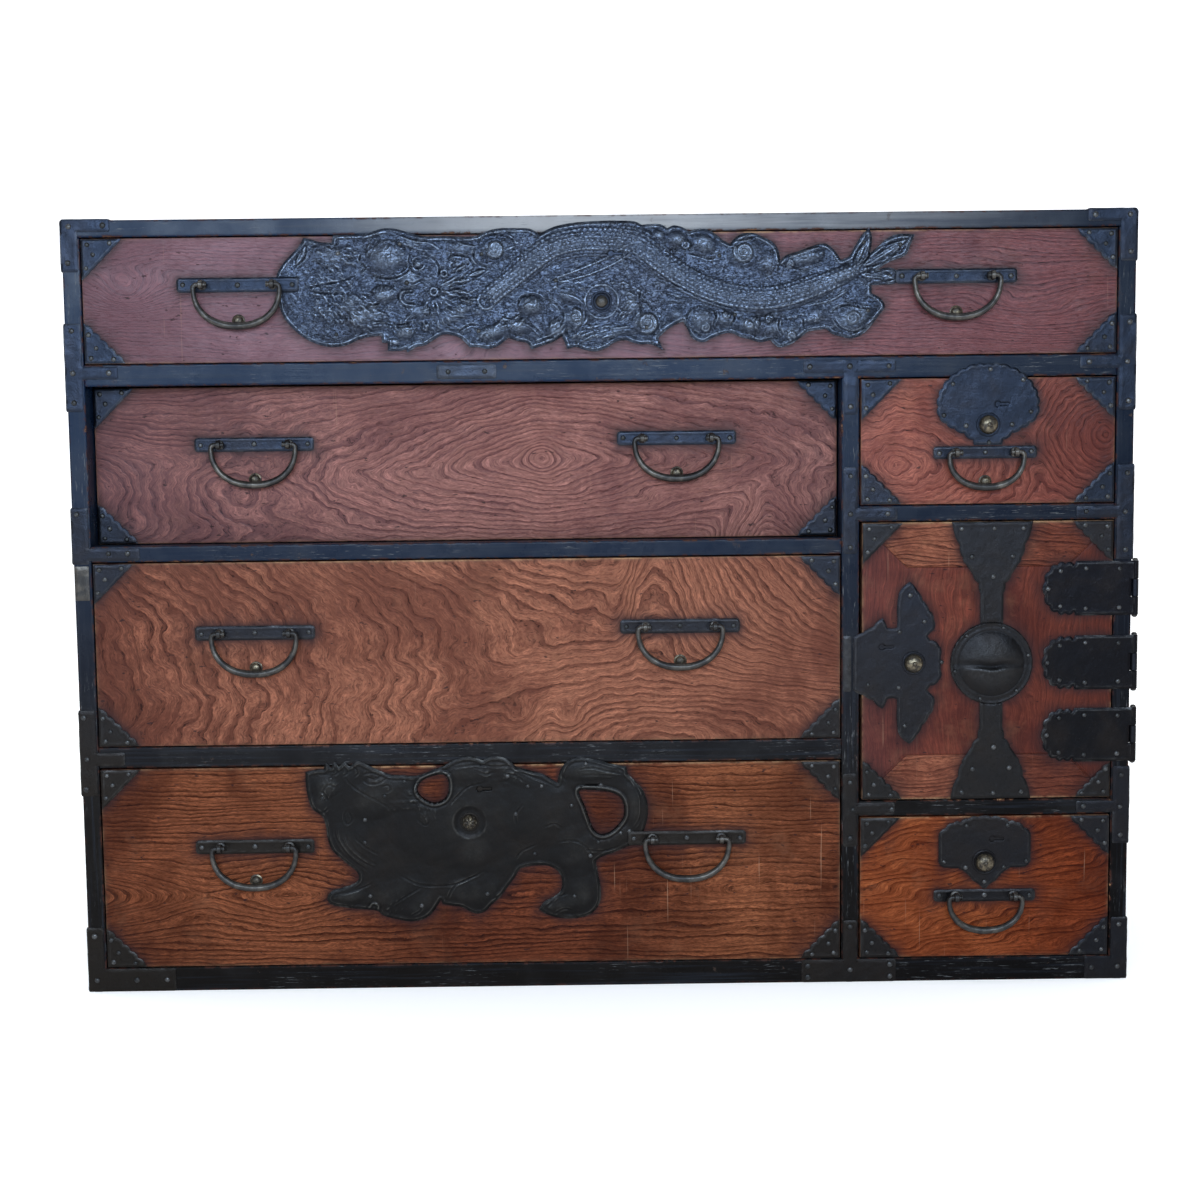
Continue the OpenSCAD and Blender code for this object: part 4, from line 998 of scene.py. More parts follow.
@dataclass(frozen=True)
class ForgedIron:
    """Blackened sheet iron with worn rims and pits; painted light makes it bluish and lighter towards the top
    and darker towards the right.

    Attributes:
        name: Name of the material.
        low: Colour near the floor, darker by painted shade.
        high: Colour near the top, bluish and lighter by painted light.
        rough: Least and greatest roughness.
        grain: Depth of the pits.
        polish_and_highlight: How strongly crests and rims are rubbed, and how strong the painted highlights
            on lumps and glints are.
        gleam: Colour of the rubbed places and of the painted highlights.
        chased: How densely the skin is covered with fine cuts and painted glints.
    """

    name: str
    low: Colour = (0.0145, 0.0122, 0.0105)
    high: Colour = (0.0155, 0.0200, 0.0310)
    rough: tuple[float, float] = (0.28, 0.50)
    grain: float = 0.7
    polish_and_highlight: float = 0.4
    gleam: Colour = (0.085, 0.083, 0.080)
    chased: float = 0.0

    def material(self) -> Finish:
        """Builds the material; the mesh may carry the values crest, lump and rim."""
        s = Shader(self.name)
        place = s.coords()
        # painted light: bluish and lighter towards the top, and painted shade towards the right
        tint = s.mix(s.band(s.axis(2), 0.2, 0.76), self.low, self.high)
        tint = s.over(tint, tuple(0.45 * c for c in self.high), s.band(s.axis(0), 0.1, 0.6, (0.0, 0.55)))
        patch = s.noise(place, 17, 6, 0.65, 0.5)
        speck = s.noise(place, 380, 4, 0.7)
        colour = s.mix(s.times(s.band(patch, 0.42, 0.72), 0.3), tint, RUST)
        colour = s.over(colour, SPECK, s.band(speck, 0.62, 0.74), 0.25 * self.grain)
        colour = s.over(colour, PIT, s.band(speck, 0.44, 0.32), 0.6 * self.grain)
        crest, lump = s.painted("crest"), s.painted("lump")
        worn = s.band(s.noise(place, 38, 5, 0.7), 0.47, 0.66)
        frost = s.band(s.noise(place, 220, 5, 0.75), 0.36, 0.66, (0.35, 1.0))
        bright = s.most(s.band(crest, 0.15, 1.1), s.times(s.painted("rim"), worn))
        # painted highlight on broad raised parts, partly real polish, broken up by the frost noise
        bright = s.most(bright, s.times(s.band(lump, 0.0, 1.2, (0.0, 0.75)), frost))
        normal = s.bump(s.noise(place, 75, 3, 0.5), 0.0022, 0.3)
        if self.chased:
            curl = s.maths("ABSOLUTE", s.minus(s.noise(place, 130, 1, 0.5, 1.4), 0.5))
            strand = s.noise(s.coords((170, 170, 380), 0.5), 1.0, 1, 0.5, 0.8)
            hair = s.maths("ABSOLUTE", s.minus(strand, 0.5))
            cut = s.most(s.band(curl, 0.03, 0.0), s.band(hair, 0.05, 0.0))
            # painted glints on the chased skin
            glint = s.band(s.noise(s.coords((240, 240, 420), 0.4), 1.0, 3, 0.7), 0.50, 0.68)
            bright = s.most(bright, s.times(glint, 0.38 * self.chased))
            colour = s.over(colour, CUT, cut, 0.42 * self.chased)
            normal = s.bump(s.minus(1.0, cut), 0.0006, 0.7 * self.chased, normal)
        bright = s.times(bright, self.polish_and_highlight)
        colour = s.over(colour, HOLLOW, s.band(crest, -0.2, -1.2), 0.7)
        colour = s.over(colour, self.gleam, bright)
        rough = s.band(s.noise(place, 60, 5, 0.6), 0.25, 0.75, self.rough)
        rough = s.minus(rough, s.times(bright, 0.1))
        normal = s.bump(speck, 0.0004, self.grain, normal)
        return s.finish(colour, rough, normal, 0.9, 0.2)


@dataclass(frozen=True)
class HandledIron:
    """Bar iron polished by hands, on bails, posts and nail heads."""

    name: str
    dark: Colour = (0.017, 0.0150, 0.0138)
    bright: Colour = (0.075, 0.064, 0.052)

    def material(self) -> Finish:
        """Builds the material."""
        s = Shader(self.name)
        place = s.coords()
        patch = s.noise(place, 55, 6, 0.65, 0.6)
        speck = s.noise(place, 420, 4, 0.7)
        colour = s.mix(s.band(patch, 0.4, 0.68), self.dark, self.bright)
        colour = s.over(colour, SOOT, s.band(speck, 0.55, 0.7), 0.4)
        rough = s.band(patch, 0.3, 0.7, (0.46, 0.30))
        normal = s.bump(s.noise(place, 140, 4, 0.6), 0.0012, 0.35)
        normal = s.bump(speck, 0.0003, 0.4, normal)
        return s.finish(colour, rough, normal, 0.6)


@dataclass(frozen=True)
class DullBrass:
    """Brass gone brown, on the buttons and the rest studs."""

    name: str
    metal: Colour = (0.145, 0.115, 0.072)
    tarnish: Colour = (0.030, 0.024, 0.019)

    def material(self) -> Finish:
        """Builds the material."""
        s = Shader(self.name)
        place = s.coords()
        patch = s.noise(place, 180, 6, 0.7, 0.5)
        colour = s.mix(s.band(patch, 0.34, 0.60), self.metal, self.tarnish)
        rough = s.band(patch, 0.3, 0.7, (0.26, 0.55))
        normal = s.bump(s.noise(place, 500, 4, 0.65), 0.0004, 0.4)
        return s.finish(colour, rough, normal, 0.75)


@dataclass(frozen=True)
class BareWood:
    """Untreated softwood of boxes, dust boards and the back."""

    name: str
    light: Colour = (0.40, 0.265, 0.150)
    dark: Colour = (0.215, 0.125, 0.066)
    fibre: Fibre = Fibre.ACROSS

    def material(self) -> Finish:
        """Builds the material from the row's coordinates alone, so that it fits any node."""
        s = Shader(self.name)
        place = s.coords()
        normal = s.node("ShaderNodeSeparateXYZ")
        s.put(normal.inputs[0], s.node("ShaderNodeTexCoord").outputs["Normal"])
        sideways = s.band(s.maths("ABSOLUTE", normal.outputs[0]), 0.45, 0.55)

        def fibres_of(along: float, over: float, detail: float, rough: float, warp: float = 0.0) -> Socket:
            """Noise drawn out along the fibres, which run backwards on boards that face sideways."""
            across = s.noise(s.coords(self.fibre.stretch(along, over)), 1.0, detail, rough, warp)
            deep = s.noise(s.coords(Fibre.DEEP.stretch(along, over)), 1.0, detail, rough, warp)
            return s.plus(s.times(deep, sideways),
                           s.times(across, s.minus(1.0, sideways)))

        bend = fibres_of(0.8, 5, 3, 0.5)
        lines = fibres_of(0.5, 26, 2, 0.45, 0.3)
        part = s.maths("FRACT", s.plus(s.times(lines, 7.0), s.times(bend, 5.0)))
        fibres = fibres_of(9, 420, 4, 0.7)
        colour = s.mix(s.band(part, 0.3, 0.95), self.light, self.dark)
        colour = s.over(colour, self.dark, s.band(fibres, 0.4, 0.7), 0.4)
        plank = s.noise(s.coords((0.01, 0.01, 7.4)), 1.0, 0, 0.0)
        colour = s.over(colour, self.dark, s.band(plank, 0.35, 0.65), 0.3)
        dirt = s.band(s.noise(place, 5, 5, 0.6), 0.5, 0.8)
        colour = s.over(colour, DIRT, dirt, 0.5)
        normal = s.bump(s.minus(fibres, s.times(part, 0.4)), 0.0005, 0.5)
        return s.finish(colour, s.band(fibres, 0.2, 0.8, (0.66, 0.84)), normal, 0.0, 0.3)


class Finishes:
    """Every finish of the chest, made once."""

    def __init__(self) -> None:
        """Builds all materials."""
        self.lacquer = BlackLacquer("black_lacquer_across").material()
        self.lacquer_up = BlackLacquer("black_lacquer_upright", Fibre.UPRIGHT).material()
        self.lacquer_deep = BlackLacquer("black_lacquer_deep", Fibre.DEEP).material()
        self.iron = ForgedIron("forged_iron").material()
        self.dragon_iron = ForgedIron(
            "dragon_iron", high=(0.0285, 0.0355, 0.0530), rough=(0.25, 0.42), polish_and_highlight=0.68,
            gleam=(0.170, 0.198, 0.245), chased=1.0).material()
        self.lion_iron = ForgedIron(
            "lion_iron", low=(0.0098, 0.0092, 0.0090), high=(0.0098, 0.0096, 0.0105), rough=(0.32, 0.48),
            grain=0.25, polish_and_highlight=0.75, gleam=(0.058, 0.055, 0.049)).material()
        self.door_iron = ForgedIron(
            "door_iron", (0.0145, 0.0134, 0.0126), (0.0185, 0.0183, 0.0210), polish_and_highlight=0.2).material()
        self.hinge_iron = ForgedIron(
            "hinge_iron", (0.0072, 0.0067, 0.0064), (0.0090, 0.0090, 0.0125), polish_and_highlight=0.6).material()
        self.handled = HandledIron("handled_iron").material()
        self.nail = HandledIron("nail_iron", dark=(0.012, 0.012, 0.012),
                                bright=(0.070, 0.068, 0.066)).material()
        self.brass = DullBrass("dull_brass").material()
        self.softwood = BareWood("softwood_across").material()
        self.softwood_up = BareWood("softwood_deep", fibre=Fibre.DEEP).material()
        woods = (
            (TOP.name, (0.148, 0.043, 0.039), (0.080, 0.016, 0.019), 0.3, 0.16),
            (UPPER.name, (0.228, 0.091, 0.067), (0.102, 0.028, 0.025), 0.3, 0.12),
            (MIDDLE.name, (0.240, 0.086, 0.046), (0.098, 0.025, 0.013), 0.3, 0.09),
            (BOTTOM.name, (0.235, 0.075, 0.030), (0.064, 0.014, 0.005), 0.8, 0.05, 1.15),
            (SMALL_UPPER.name, (0.258, 0.078, 0.048), (0.118, 0.022, 0.014), 0.3, 0.1),
            (SMALL_LOWER.name, (0.310, 0.082, 0.025), (0.094, 0.014, 0.004), 0.7, 0.04),
            ("door", (0.116, 0.026, 0.014), (0.042, 0.008, 0.006), 0.7, 0.06, 0.4),
            ("battens", (0.265, 0.088, 0.045), (0.064, 0.012, 0.007), 1.0, 0.06, 1.0))
        self.fronts = {name: WipedLacquer(f"wood_{name}", *values).material() for name, *values in woods}


# --------------------------------------------------------------------------- grain of the fronts

def crest(*fields: Array, soft: float = 0.6) -> Array:
    """The highest of some fields, with its creases rounded."""
    top = np.max(fields, axis=0)
    return top + soft * np.log(sum(np.exp((f - top) / soft) for f in fields))


def top_grain(x: Array, z: Array) -> Array:
    """Fine level lines with a swirl at the left and arcs at the right."""
    rings = z / 4.4 + 1.6 * ripple(11, x * 0.35, z, 110) + 1.2 * ripple(12, x * 0.2, z, 300)
    rings += 6 * bell(np.hypot((x + 530) * 0.7, z - 800), 24)
    rings = rings + 4 * bell(np.hypot((x - 480) * 0.55, z - 776), 34)
    return rings - 3 * bell(np.hypot((x + 120) * 0.4, z - 745), 20)


def upper_grain(x: Array, z: Array) -> Array:
    """A long cathedral about a knot, arrow heads at the left and arches at the right."""
    eye = 608 - 14 * smoothstep(-80, -240, x)
    slope = 0.10 + 0.17 * bell(z - eye, 50)
    oval = -(np.hypot(z - eye, 9) + slope * np.hypot(np.where(x > -69, 0.8, 1.0) * (x + 69), 14)) / 5.0
    arrow = -(np.hypot(z - 572, 12) + (0.14 + 0.30 * bell(z - 572, 34)) * (x + 640)) / 5.0 - 1
    arch = -(np.hypot((x - 188) * np.where(x > 188, 0.7, 1.2), 12) + 0.6 * (z - 540)) / 5.2 - 8
    knot = 2.5 * bell(np.hypot(x + 69, (z - 610) * 0.8), 15)
    rings = crest(oval, arrow, arch, soft=1.6) + knot + 0.7 * ripple(22, x * 0.5, z, 90)
    return rings + 0.25 * ripple(23, x * 0.4, z, 24)


def middle_grain(x: Array, z: Array) -> Array:
    """Wavy upright bands that turn level above two knots, and a fan of lines at the right."""
    west = smoothstep(-450, -200, x)
    bend = -(75 + 25 * west) * smoothstep(410, 505, z) ** 1.2
    bend += (30 - 14 * west) * bell(z - 334 - 20 * west, 24)
    bend += 4.5 * np.sin(2 * math.pi * z / 50 + 0.7 * ripple(31, x, z, 260)) * smoothstep(-420, -250, x)
    upright = (np.minimum(x, -97) - bend) / 20 + np.maximum(x + 97, 0) / 60 - 2
    level = np.hypot((x - 64) * 0.3, z - 285) / 7.5 - 22
    knots = 2.6 * bell(np.hypot(x + 97, (z - 316) * 1.3), 24)
    knots = knots + 2.2 * bell(np.hypot(x + 40, (z - 314) * 1.3), 20)
    fan = np.sqrt(np.maximum(x - 36, 1) * np.maximum(z - 286, 1)) / 6.6 - 20
    right = level + (fan - level) * smoothstep(330, 410, z)
    left = -crest(-upright, -level) + knots
    return left + (right - left) * smoothstep(10, 90, x) + 0.4 * ripple(33, x, z, 70)


def bottom_grain(x: Array, z: Array) -> Array:
    """Fine level lines that part round two long eyes at the left."""
    gap = np.hypot(z - 112, 7)
    eye = -0.30 * 70 * np.tanh(np.hypot(x + 374, 10) / 70)
    tip = 29 - 0.28 * np.minimum(x + 640, 260)
    figure = crest(eye, tip, soft=3.0) * bell(gap, 46)
    return (figure - gap) / 4.8 + 0.8 * ripple(41, x * 0.3, z, 120) + 0.25 * ripple(42, x * 0.25, z, 26)


def small_upper_grain(x: Array, z: Array) -> Array:
    """Long ovals at the left and arcs that open to the right."""
    left = np.hypot((x - 338) * 0.55, z - 600) / 6.5
    right = np.hypot((x - 567) * 0.9, z - 628) / 6.2 + 1
    return -crest(-left, -right, soft=1.5) + 0.7 * ripple(51, x, z, 60)


def small_lower_grain(x: Array, z: Array) -> Array:
    """Soft lines that rise a little to the right."""
    rings = (z - 0.18 * x) / 6.5 + 1.6 * ripple(61, x * 0.5, z, 110)
    return rings + 2.2 * bell(np.hypot(x - 520, z - 120), 40)


def door_grain(x: Array, z: Array) -> Array:
    """Upright lines of a plain-sawn board."""
    deep = 26 + 16 * np.sin((z - 300) / 120)
    return np.sqrt((x - 455 - 10 * np.sin(z / 80)) ** 2 + deep**2) / 5.5 + 1.1 * ripple(71, x, z * 0.35, 60)


def batten_grain(x: Array, z: Array) -> Array:
    """Level lines."""
    return z / 5.0 + 1.1 * ripple(81, x * 0.3, z, 60)


GRAINS: dict[str, Callable[[Array, Array], Array]] = {
    TOP.name: top_grain, UPPER.name: upper_grain, MIDDLE.name: middle_grain, BOTTOM.name: bottom_grain,
    SMALL_UPPER.name: small_upper_grain, SMALL_LOWER.name: small_lower_grain}

# Places along each front, left to right, with its shade (partly painted shade, partly darker lacquer) and its
# painted sheen there.
TONES: dict[str, list[tuple[float, float, float]]] = {
    TOP.name: [(-580, 0.3, 0.32), (-200, 0.0, 0.6), (60, 0.0, 0.6), (250, 0.1, 0.15), (580, 0.5, 0.0)],
    UPPER.name: [(-580, 0.8, 0.16), (-450, 0.42, 0.1), (-250, 0.15, 0.04), (-60, 0, 0), (120, 0.05, 0),
                 (270, 0.25, 0.04)],
    MIDDLE.name: [(-580, 0.6, 0.0), (-430, 0.3, 0), (-200, 0.08, 0), (-60, 0, 0), (120, 0.1, 0),
                  (270, 0.4, 0)],
    BOTTOM.name: [(-580, 0.7, 0), (-480, 0.45, 0), (-350, 0.4, 0), (-150, 0.9, 0), (20, 0.8, 0),
                  (160, 0.05, 0), (270, 0.7, 0)],
    SMALL_UPPER.name: [(300, 0.1, 0.05), (400, 0.1, 0), (500, 0.6, 0), (580, 0.85, 0)],
    SMALL_LOWER.name: [(300, 0, 0), (380, 0.1, 0), (480, 0.85, 0), (580, 1.0, 0)],
    "door": [(300, 0.25, 0.08), (360, 0.1, 0.03), (420, 0.05, 0), (500, 0.2, 0), (580, 0.6, 0)],
    "battens": [(300, 0.0, 0), (400, 0.2, 0), (500, 0.85, 0), (580, 1.0, 0)]}


def tones(name: str, x: Array) -> dict[str, Array]:
    """The painted values shade and bloom of a front at places along it."""
    at, shade, bloom = zip(*TONES[name])
    return {"shade": np.interp(x, at, shade), "bloom": np.interp(x, at, bloom)}


# --------------------------------------------------------------------------- carcass

@dataclass(frozen=True)
class Rub:
    """A rubbed or chipped place on an arris: its middle, half length and strength."""

    x: float
    z: float
    wide: float
    tall: float
    strength: float = 1.0

    def at(self, x: Array, z: Array) -> Array:
        """Its strength at places of the front."""
        return self.strength * (bell(x - self.x, self.wide) * bell(z - self.z, self.tall))


def arris_wear(points: Array, lo: Point, hi: Point, rubs: Sequence[Rub], base: float,
               reach: float = 1.4) -> Array:
    """How bare the wood is at points of a board.

    Args:
        points: The points.
        lo: Lowest corner of the board.
        hi: Highest corner.
        rubs: Places worn more than the rest.
        base: Wear of every arris.
        reach: How far the wear goes from the arris.

    Returns:
        0 where the lacquer is whole, 1 and more where it is gone.
    """
    gaps = np.concatenate([points - np.array(lo), np.array(hi) - points], 1)
    arris = np.sort(gaps, axis=1)[:, 1]
    strength = np.full(len(points), base)
    for rub in rubs:
        strength = np.maximum(strength, rub.at(points[:, 0], points[:, 2]))
    strength = strength * (0.8 + 0.5 * ripple(91, points[:, 0], points[:, 2], 46))
    return np.exp(-arris / reach) * strength


@dataclass
class Carcass:
    """The lacquered case: top, sides, centre post and rails, with its bare inner boards.

    Attributes:
        top: Thickness of the top board.
        rail: Depth of the rails.
        back: Inner face of the back planks.
        rounding: Radius of the arrises.
        rails: Left, underside, right and upper side of each rail.
    """

    finishes: Finishes
    top: float = 19.0
    rail: float = 40.0
    back: float = 215.0
    rounding: float = 1.3
    rails: tuple[Rect, ...] = (
        (-580, 0, 580, 28), (-580, 262, 270, 286), (-580, 498, 270, 516), (-580, 696, 580, 720),
        (290, 195, 580, 213), (290, 534, 580, 552))
    rubs: tuple[Rub, ...] = tuple(Rub(*row) for row in (
        (-585, 652, 6, 9, 2.2), (-583, 537, 5, 10, 2.0), (269, 643, 5, 8, 2.0), (583, 112, 5, 20, 1.6),
        (578, 205, 7, 9, 2.4), (-200, 284, 330, 3, 0.95), (100, 262, 260, 3, 0.8), (-500, 498, 120, 3, 0.9),
        (0, 516, 300, 3, 0.6), (200, 696, 260, 3, 0.75), (-350, 720, 260, 3, 0.7), (400, 534, 150, 3, 0.8),
        (440, 213, 160, 3, 0.9), (440, 195, 160, 3, 0.6), (0, 861, 500, 3, 0.8), (-590, 600, 12, 300, 0.5)))

    def _board(self, skin: Skin, lo: Point, hi: Point, base: float = 0.42, step: float = 8.0) -> None:
        """Adds one lacquered board with rubbed arrises."""
        points, faces = rounded_board(lo, hi, self.rounding, step,
                                      lambda p: 0.5 * np.clip(arris_wear(p, lo, hi, self.rubs, base), 0, 1.4)
                                      * (0.6 + 0.4 * ripple(92, p[:, 0] + p[:, 1], p[:, 2], 21)))
        skin.add(points, faces, bare=arris_wear(points, lo, hi, self.rubs, base))

    def build(self) -> None:
        """Builds the lacquered boards and dresses the inner ones."""
        front, back = FRONT_Y, -FRONT_Y
        top = Skin()
        self._board(top, (-HALF_WIDTH, front, HEIGHT - self.top), (HALF_WIDTH, back, HEIGHT), 0.5)
        pitch = (back - front) / 7
        gap, proud, foot, head = 0.4, 0.12, HEIGHT - self.top, HEIGHT - 4.0
        for side in (-1, 1):
            x0, x1 = sorted((side * HALF_WIDTH, side * (HALF_WIDTH - 1)))
            for finger in (1, 3, 5):
                y = front + finger * pitch
                points, faces = rounded_board((x0, y + gap, foot), (x1, y + pitch - gap, head), 0.25, 8)
                points[:, 0] += side * proud
                top.add(points, faces, bare=np.full(len(points), 0.12))
        top.settle("chest_top", self.finishes.lacquer, "carcass", "lacquer", "top_board")
        for side, name in ((-1, "left"), (1, "right")):
            skin = Skin()
            x0, x1 = sorted((side * HALF_WIDTH, side * (HALF_WIDTH - BOARD)))
            self._board(skin, (x0, front, 0), (x1, back, HEIGHT - self.top))
            skin.settle(f"chest_side_{name}", self.finishes.lacquer_up, "carcass", "lacquer",
                        f"side_panel_{name}")
        skin = Skin()
        self._board(skin, (270, front, 28), (290, self.back, 696))
        skin.settle("centre_post", self.finishes.lacquer_up, "carcass", "lacquer", "partition")
        skin = Skin()
        for x0, z0, x1, z1 in self.rails:
            self._board(skin, (x0, front, z0), (x1, front + self.rail, z1), 0.5, 5.0)
        skin.settle("rails", self.finishes.lacquer, "carcass", "lacquer", "front_rails")
        for node in ("bottom_board", "back_planks", "drawer_stops"):
            dress(node, self.finishes.softwood)
        for node in ("dust_boards", "inner_shelf"):
            dress(node, self.finishes.softwood_up)


def dress(node: str, material: Finish) -> None:
    """Gives a CAD node another finish."""
    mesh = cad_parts[node].data
    if not mesh.materials:
        mesh.materials.append(material)
    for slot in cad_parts[node].material_slots:
        slot.material = material
    LOG.info("dressed %s", node)


# --------------------------------------------------------------------------- nails and small turned parts

def add_nail(skin: Skin, x: float, y: float, z: float, r: float = 3.1, h: float = 1.7,
             forward: Point = (0, -1, 0)) -> None:
    """Adds a hammered nail head standing on a surface."""
    seed = int(abs(x * 7 + z * 13)) % 97
    tilt = 0.10 * math.sin(seed)
    axis = np.array(forward, float)
    axis = axis + tilt * np.array([0.0 if axis[0] else math.cos(seed), 0.0, 0.7 * math.sin(2.3 * seed)])
    r *= 1 + 0.08 * math.cos(seed * 1.7)
    profile = [(r, -0.6), (r, 0.18 * h), (0.9 * r, 0.52 * h), (0.66 * r, 0.84 * h), (0.34 * r, 0.99 * h),
               (0, h)]
    skin.add(*turned(profile, (x, y, z), axis, 16))


@dataclass
class FrameIrons:
    """Nailed straps at the corners of the case and on the centre post.

    Attributes:
        leg: Width of a strap on a post.
        wrap: How far the straps go round the side.
        posts: Side, foot, head, end of the arm, its underside and top.
        centres: Foot, head, and the arm's left, right, underside and top.
        nails: Where nails stand, seen from the front.
    """

    finishes: Finishes
    leg: float = 18.0
    wrap: float = 46.0
    posts: Rows = (
        (-1, 823, 881.5, 546, 867, 881.5), (-1, 668, 766, 542, 704, 718), (-1, 496, 560, 525, 500, 514),
        (-1, 230, 329, 550, 265, 280), (-1, 0.5, 76, 500, 0.5, 27), (1, 823, 881.5, 545, 867, 881.5),
        (1, 657, 764, 538, 704, 718), (1, 488, 596, 536, 536, 549), (1, 160, 250, 540, 197, 210),
        (1, 0.5, 73, 552, 0.5, 27))
    centres: Rows = (
        (655, 716, 227, 331, 702, 716), (498, 596, 280, 333, 536, 550), (160, 245, 280, 331, 197, 211),
        (0.5, 73, 224, 333, 0.5, 27))
    nails: tuple[tuple[float, float], ...] = (
        (-591, 873), (-553, 874), (-593, 833), (-594, 553), (-560, 508), (-538, 508), (-595, 321),
        (-593, 273), (-595, 238), (-592, 758), (-592, 711), (-592, 678), (-552, 711), (-592, 66), (-591, 14),
        (-545, 14), (-510, 14), (234, 709), (279, 709), (323, 709), (280, 664), (280, 586), (280, 543),
        (280, 505), (322, 543), (283, 203), (328, 203), (280, 235), (280, 170), (231, 20), (231, 7),
        (280, 15), (280, 66), (326, 21), (326, 7), (592, 874), (553, 874), (593, 833), (593, 755), (591, 711),
        (593, 667), (548, 711), (593, 586), (591, 542), (547, 543), (592, 499), (591, 240), (590, 203),
        (591, 170), (548, 204), (591, 65), (590, 15), (560, 14), (-172, 708), (-131, 708))

    def _wrapped(self, side: int) -> Placer:
        """Places a sheet that bends round a front corner of the case, or over its top."""
        bend = 2.2

        def place(x: Array, z: Array, h: Array) -> Array:
            """Points in space for places and heights of the flat pattern."""
            past, over = side * x - HALF_WIDTH, z - HEIGHT
            turn = np.radians(90 * np.clip(past / bend, 0, 1))
            out = np.stack([side * (HALF_WIDTH + np.minimum(past, 0) + h * np.sin(turn)),
                            FRONT_Y - h * np.cos(turn) + np.maximum(past - bend, 0), z], 1)
            roll = np.radians(90 * np.clip(over / bend, 0, 1))
            top = np.stack([x, FRONT_Y - h * np.cos(roll) + np.maximum(over - bend, 0),
                            HEIGHT + h * np.sin(roll)], 1)
            return np.where((over > 0)[:, None], top, out)
        return place

    def _strap(self, skin: Skin, outlines: Sequence[Array], place: Placer, seed: int) -> None:
        """Adds one hammered strap with a slightly raised rim."""
        Sheet(outlines).hammer(seed, 0.22, 30, (0.35, 1.6), (0.12, 3, 1.4)).skin(place, into=skin)

    def build(self) -> None:
        """Builds the straps and their nails."""
        skin = Skin()
        for number, (side, foot, head, arm, low, high) in enumerate(self.posts):
            out = HALF_WIDTH + self.wrap
            if head > HEIGHT:
                leg = (side * (HALF_WIDTH - self.leg), foot, side * out, HEIGHT - 0.5)
                bar = (side * arm, low, side * (HALF_WIDTH - 0.3), HEIGHT + self.wrap)
                legs = [leg, bar, (side * (HALF_WIDTH - self.leg), low, side * (HALF_WIDTH - 0.3),
                                   HEIGHT + self.wrap)]
            else:
                legs = [(side * (HALF_WIDTH - self.leg), foot, side * out, head),
                        (side * arm, low, side * (HALF_WIDTH - 1), high)]
            loops = [rounded_rectangle(min(a, c), b, max(a, c), d, 2.5) for a, b, c, d in legs]
            self._strap(skin, loops, self._wrapped(side), 200 + number)
        for number, (foot, head, left, right, low, high) in enumerate(self.centres):
            self._strap(skin, [rounded_rectangle(272, foot, 288, head, 3),
                               rounded_rectangle(left, low, right, high, 3)],
                        facing(FRONT_Y), 230 + number)
        self._strap(skin, [rounded_rectangle(272, 340, 281, 404, 2)], facing(FRONT_Y), 240)
        self._strap(skin, [rounded_rectangle(-185, 700, -118, 716, 3)], facing(FRONT_Y), 241)
        skin.settle("corner_straps", self.finishes.iron, "carcass", "iron", "frame_irons")
        patch = Skin()
        self._strap(patch, [rounded_rectangle(-599, 455, -583, 494, 1)], facing(FRONT_Y), 242)
        patch.settle("repair_plate", self.finishes.handled, "carcass", "iron")
        nails = Skin()
        for x, z in self.nails:
            add_nail(nails, x, FRONT_Y - IRON, z)
        for side, foot, head, *_ in self.posts:
            for z in (foot + 8, min(head, HEIGHT) - 8):
                add_nail(nails, side * (HALF_WIDTH + IRON), FRONT_Y + 36, z, forward=(side, 0, 0))
        nails.settle("strap_nails", self.finishes.nail, "carcass", "iron")


# --------------------------------------------------------------------------- plates on the fronts

def corner_outline(leg: float, swell: float, lobes: int = 5) -> list[list[float]]:
    """Two straight legs with a row of scallops between them."""
    run = [[leg - 2 - (leg - 4) * k / lobes, 2 + (leg - 4) * k / lobes, swell] for k in range(lobes)]
    return [[0, 0, 0], [leg, 0, 0], *run, [2, leg - 2, 0], [0, leg, 0]]


def corner_loops(rect: Rect, lower_right: float = 45.0) -> list[tuple[Array, float, float, int, int]]:
    """Outlines of the four corner plates of a front, with their corner and directions."""
    x0, z0, x1, z1 = rect
    out = []
    for sx in (0, 1):
        for sz in (0, 1):
            leg = lower_right if sx and not sz else 45.0
            loop = arc_outline(corner_outline(leg, 2.0 if sx or not sz else 0.5), 6)
            dx, dz = (-1 if sx else 1), (-1 if sz else 1)
            cx, cz = (x1 - 0.6 if sx else x0 + 0.6), (z1 - 0.6 if sz else z0 + 0.6)
            loop = np.stack([cx + dx * loop[:, 0], cz + dz * loop[:, 1]], 1)
            out.append((loop if dx * dz > 0 else loop[::-1], cx, cz, dx, dz))
    return out


def add_corner_plates(skin: Skin, nails: Skin, rect: Rect, y: float,
                      lower_right: float = 45.0) -> list[Array]:
    """Adds the corner plates of a front and returns their outlines."""
    loops = []
    for number, (loop, cx, cz, dx, dz) in enumerate(corner_loops(rect, lower_right)):
        sheet = Sheet([loop], step=1.6).hammer(300 + number, 0.16, 24, (0.4, 1.3), (0.3, 2.6, 1.2))
        sheet.skin(facing(y), into=skin)
        for a, b in ((7, 6), (32, 4.5), (13, 17), (5, 32)):
            add_nail(nails, cx + dx * a, y - IRON, cz + dz * b, 2.7, 1.5)
        loops.append(loop)
    return loops


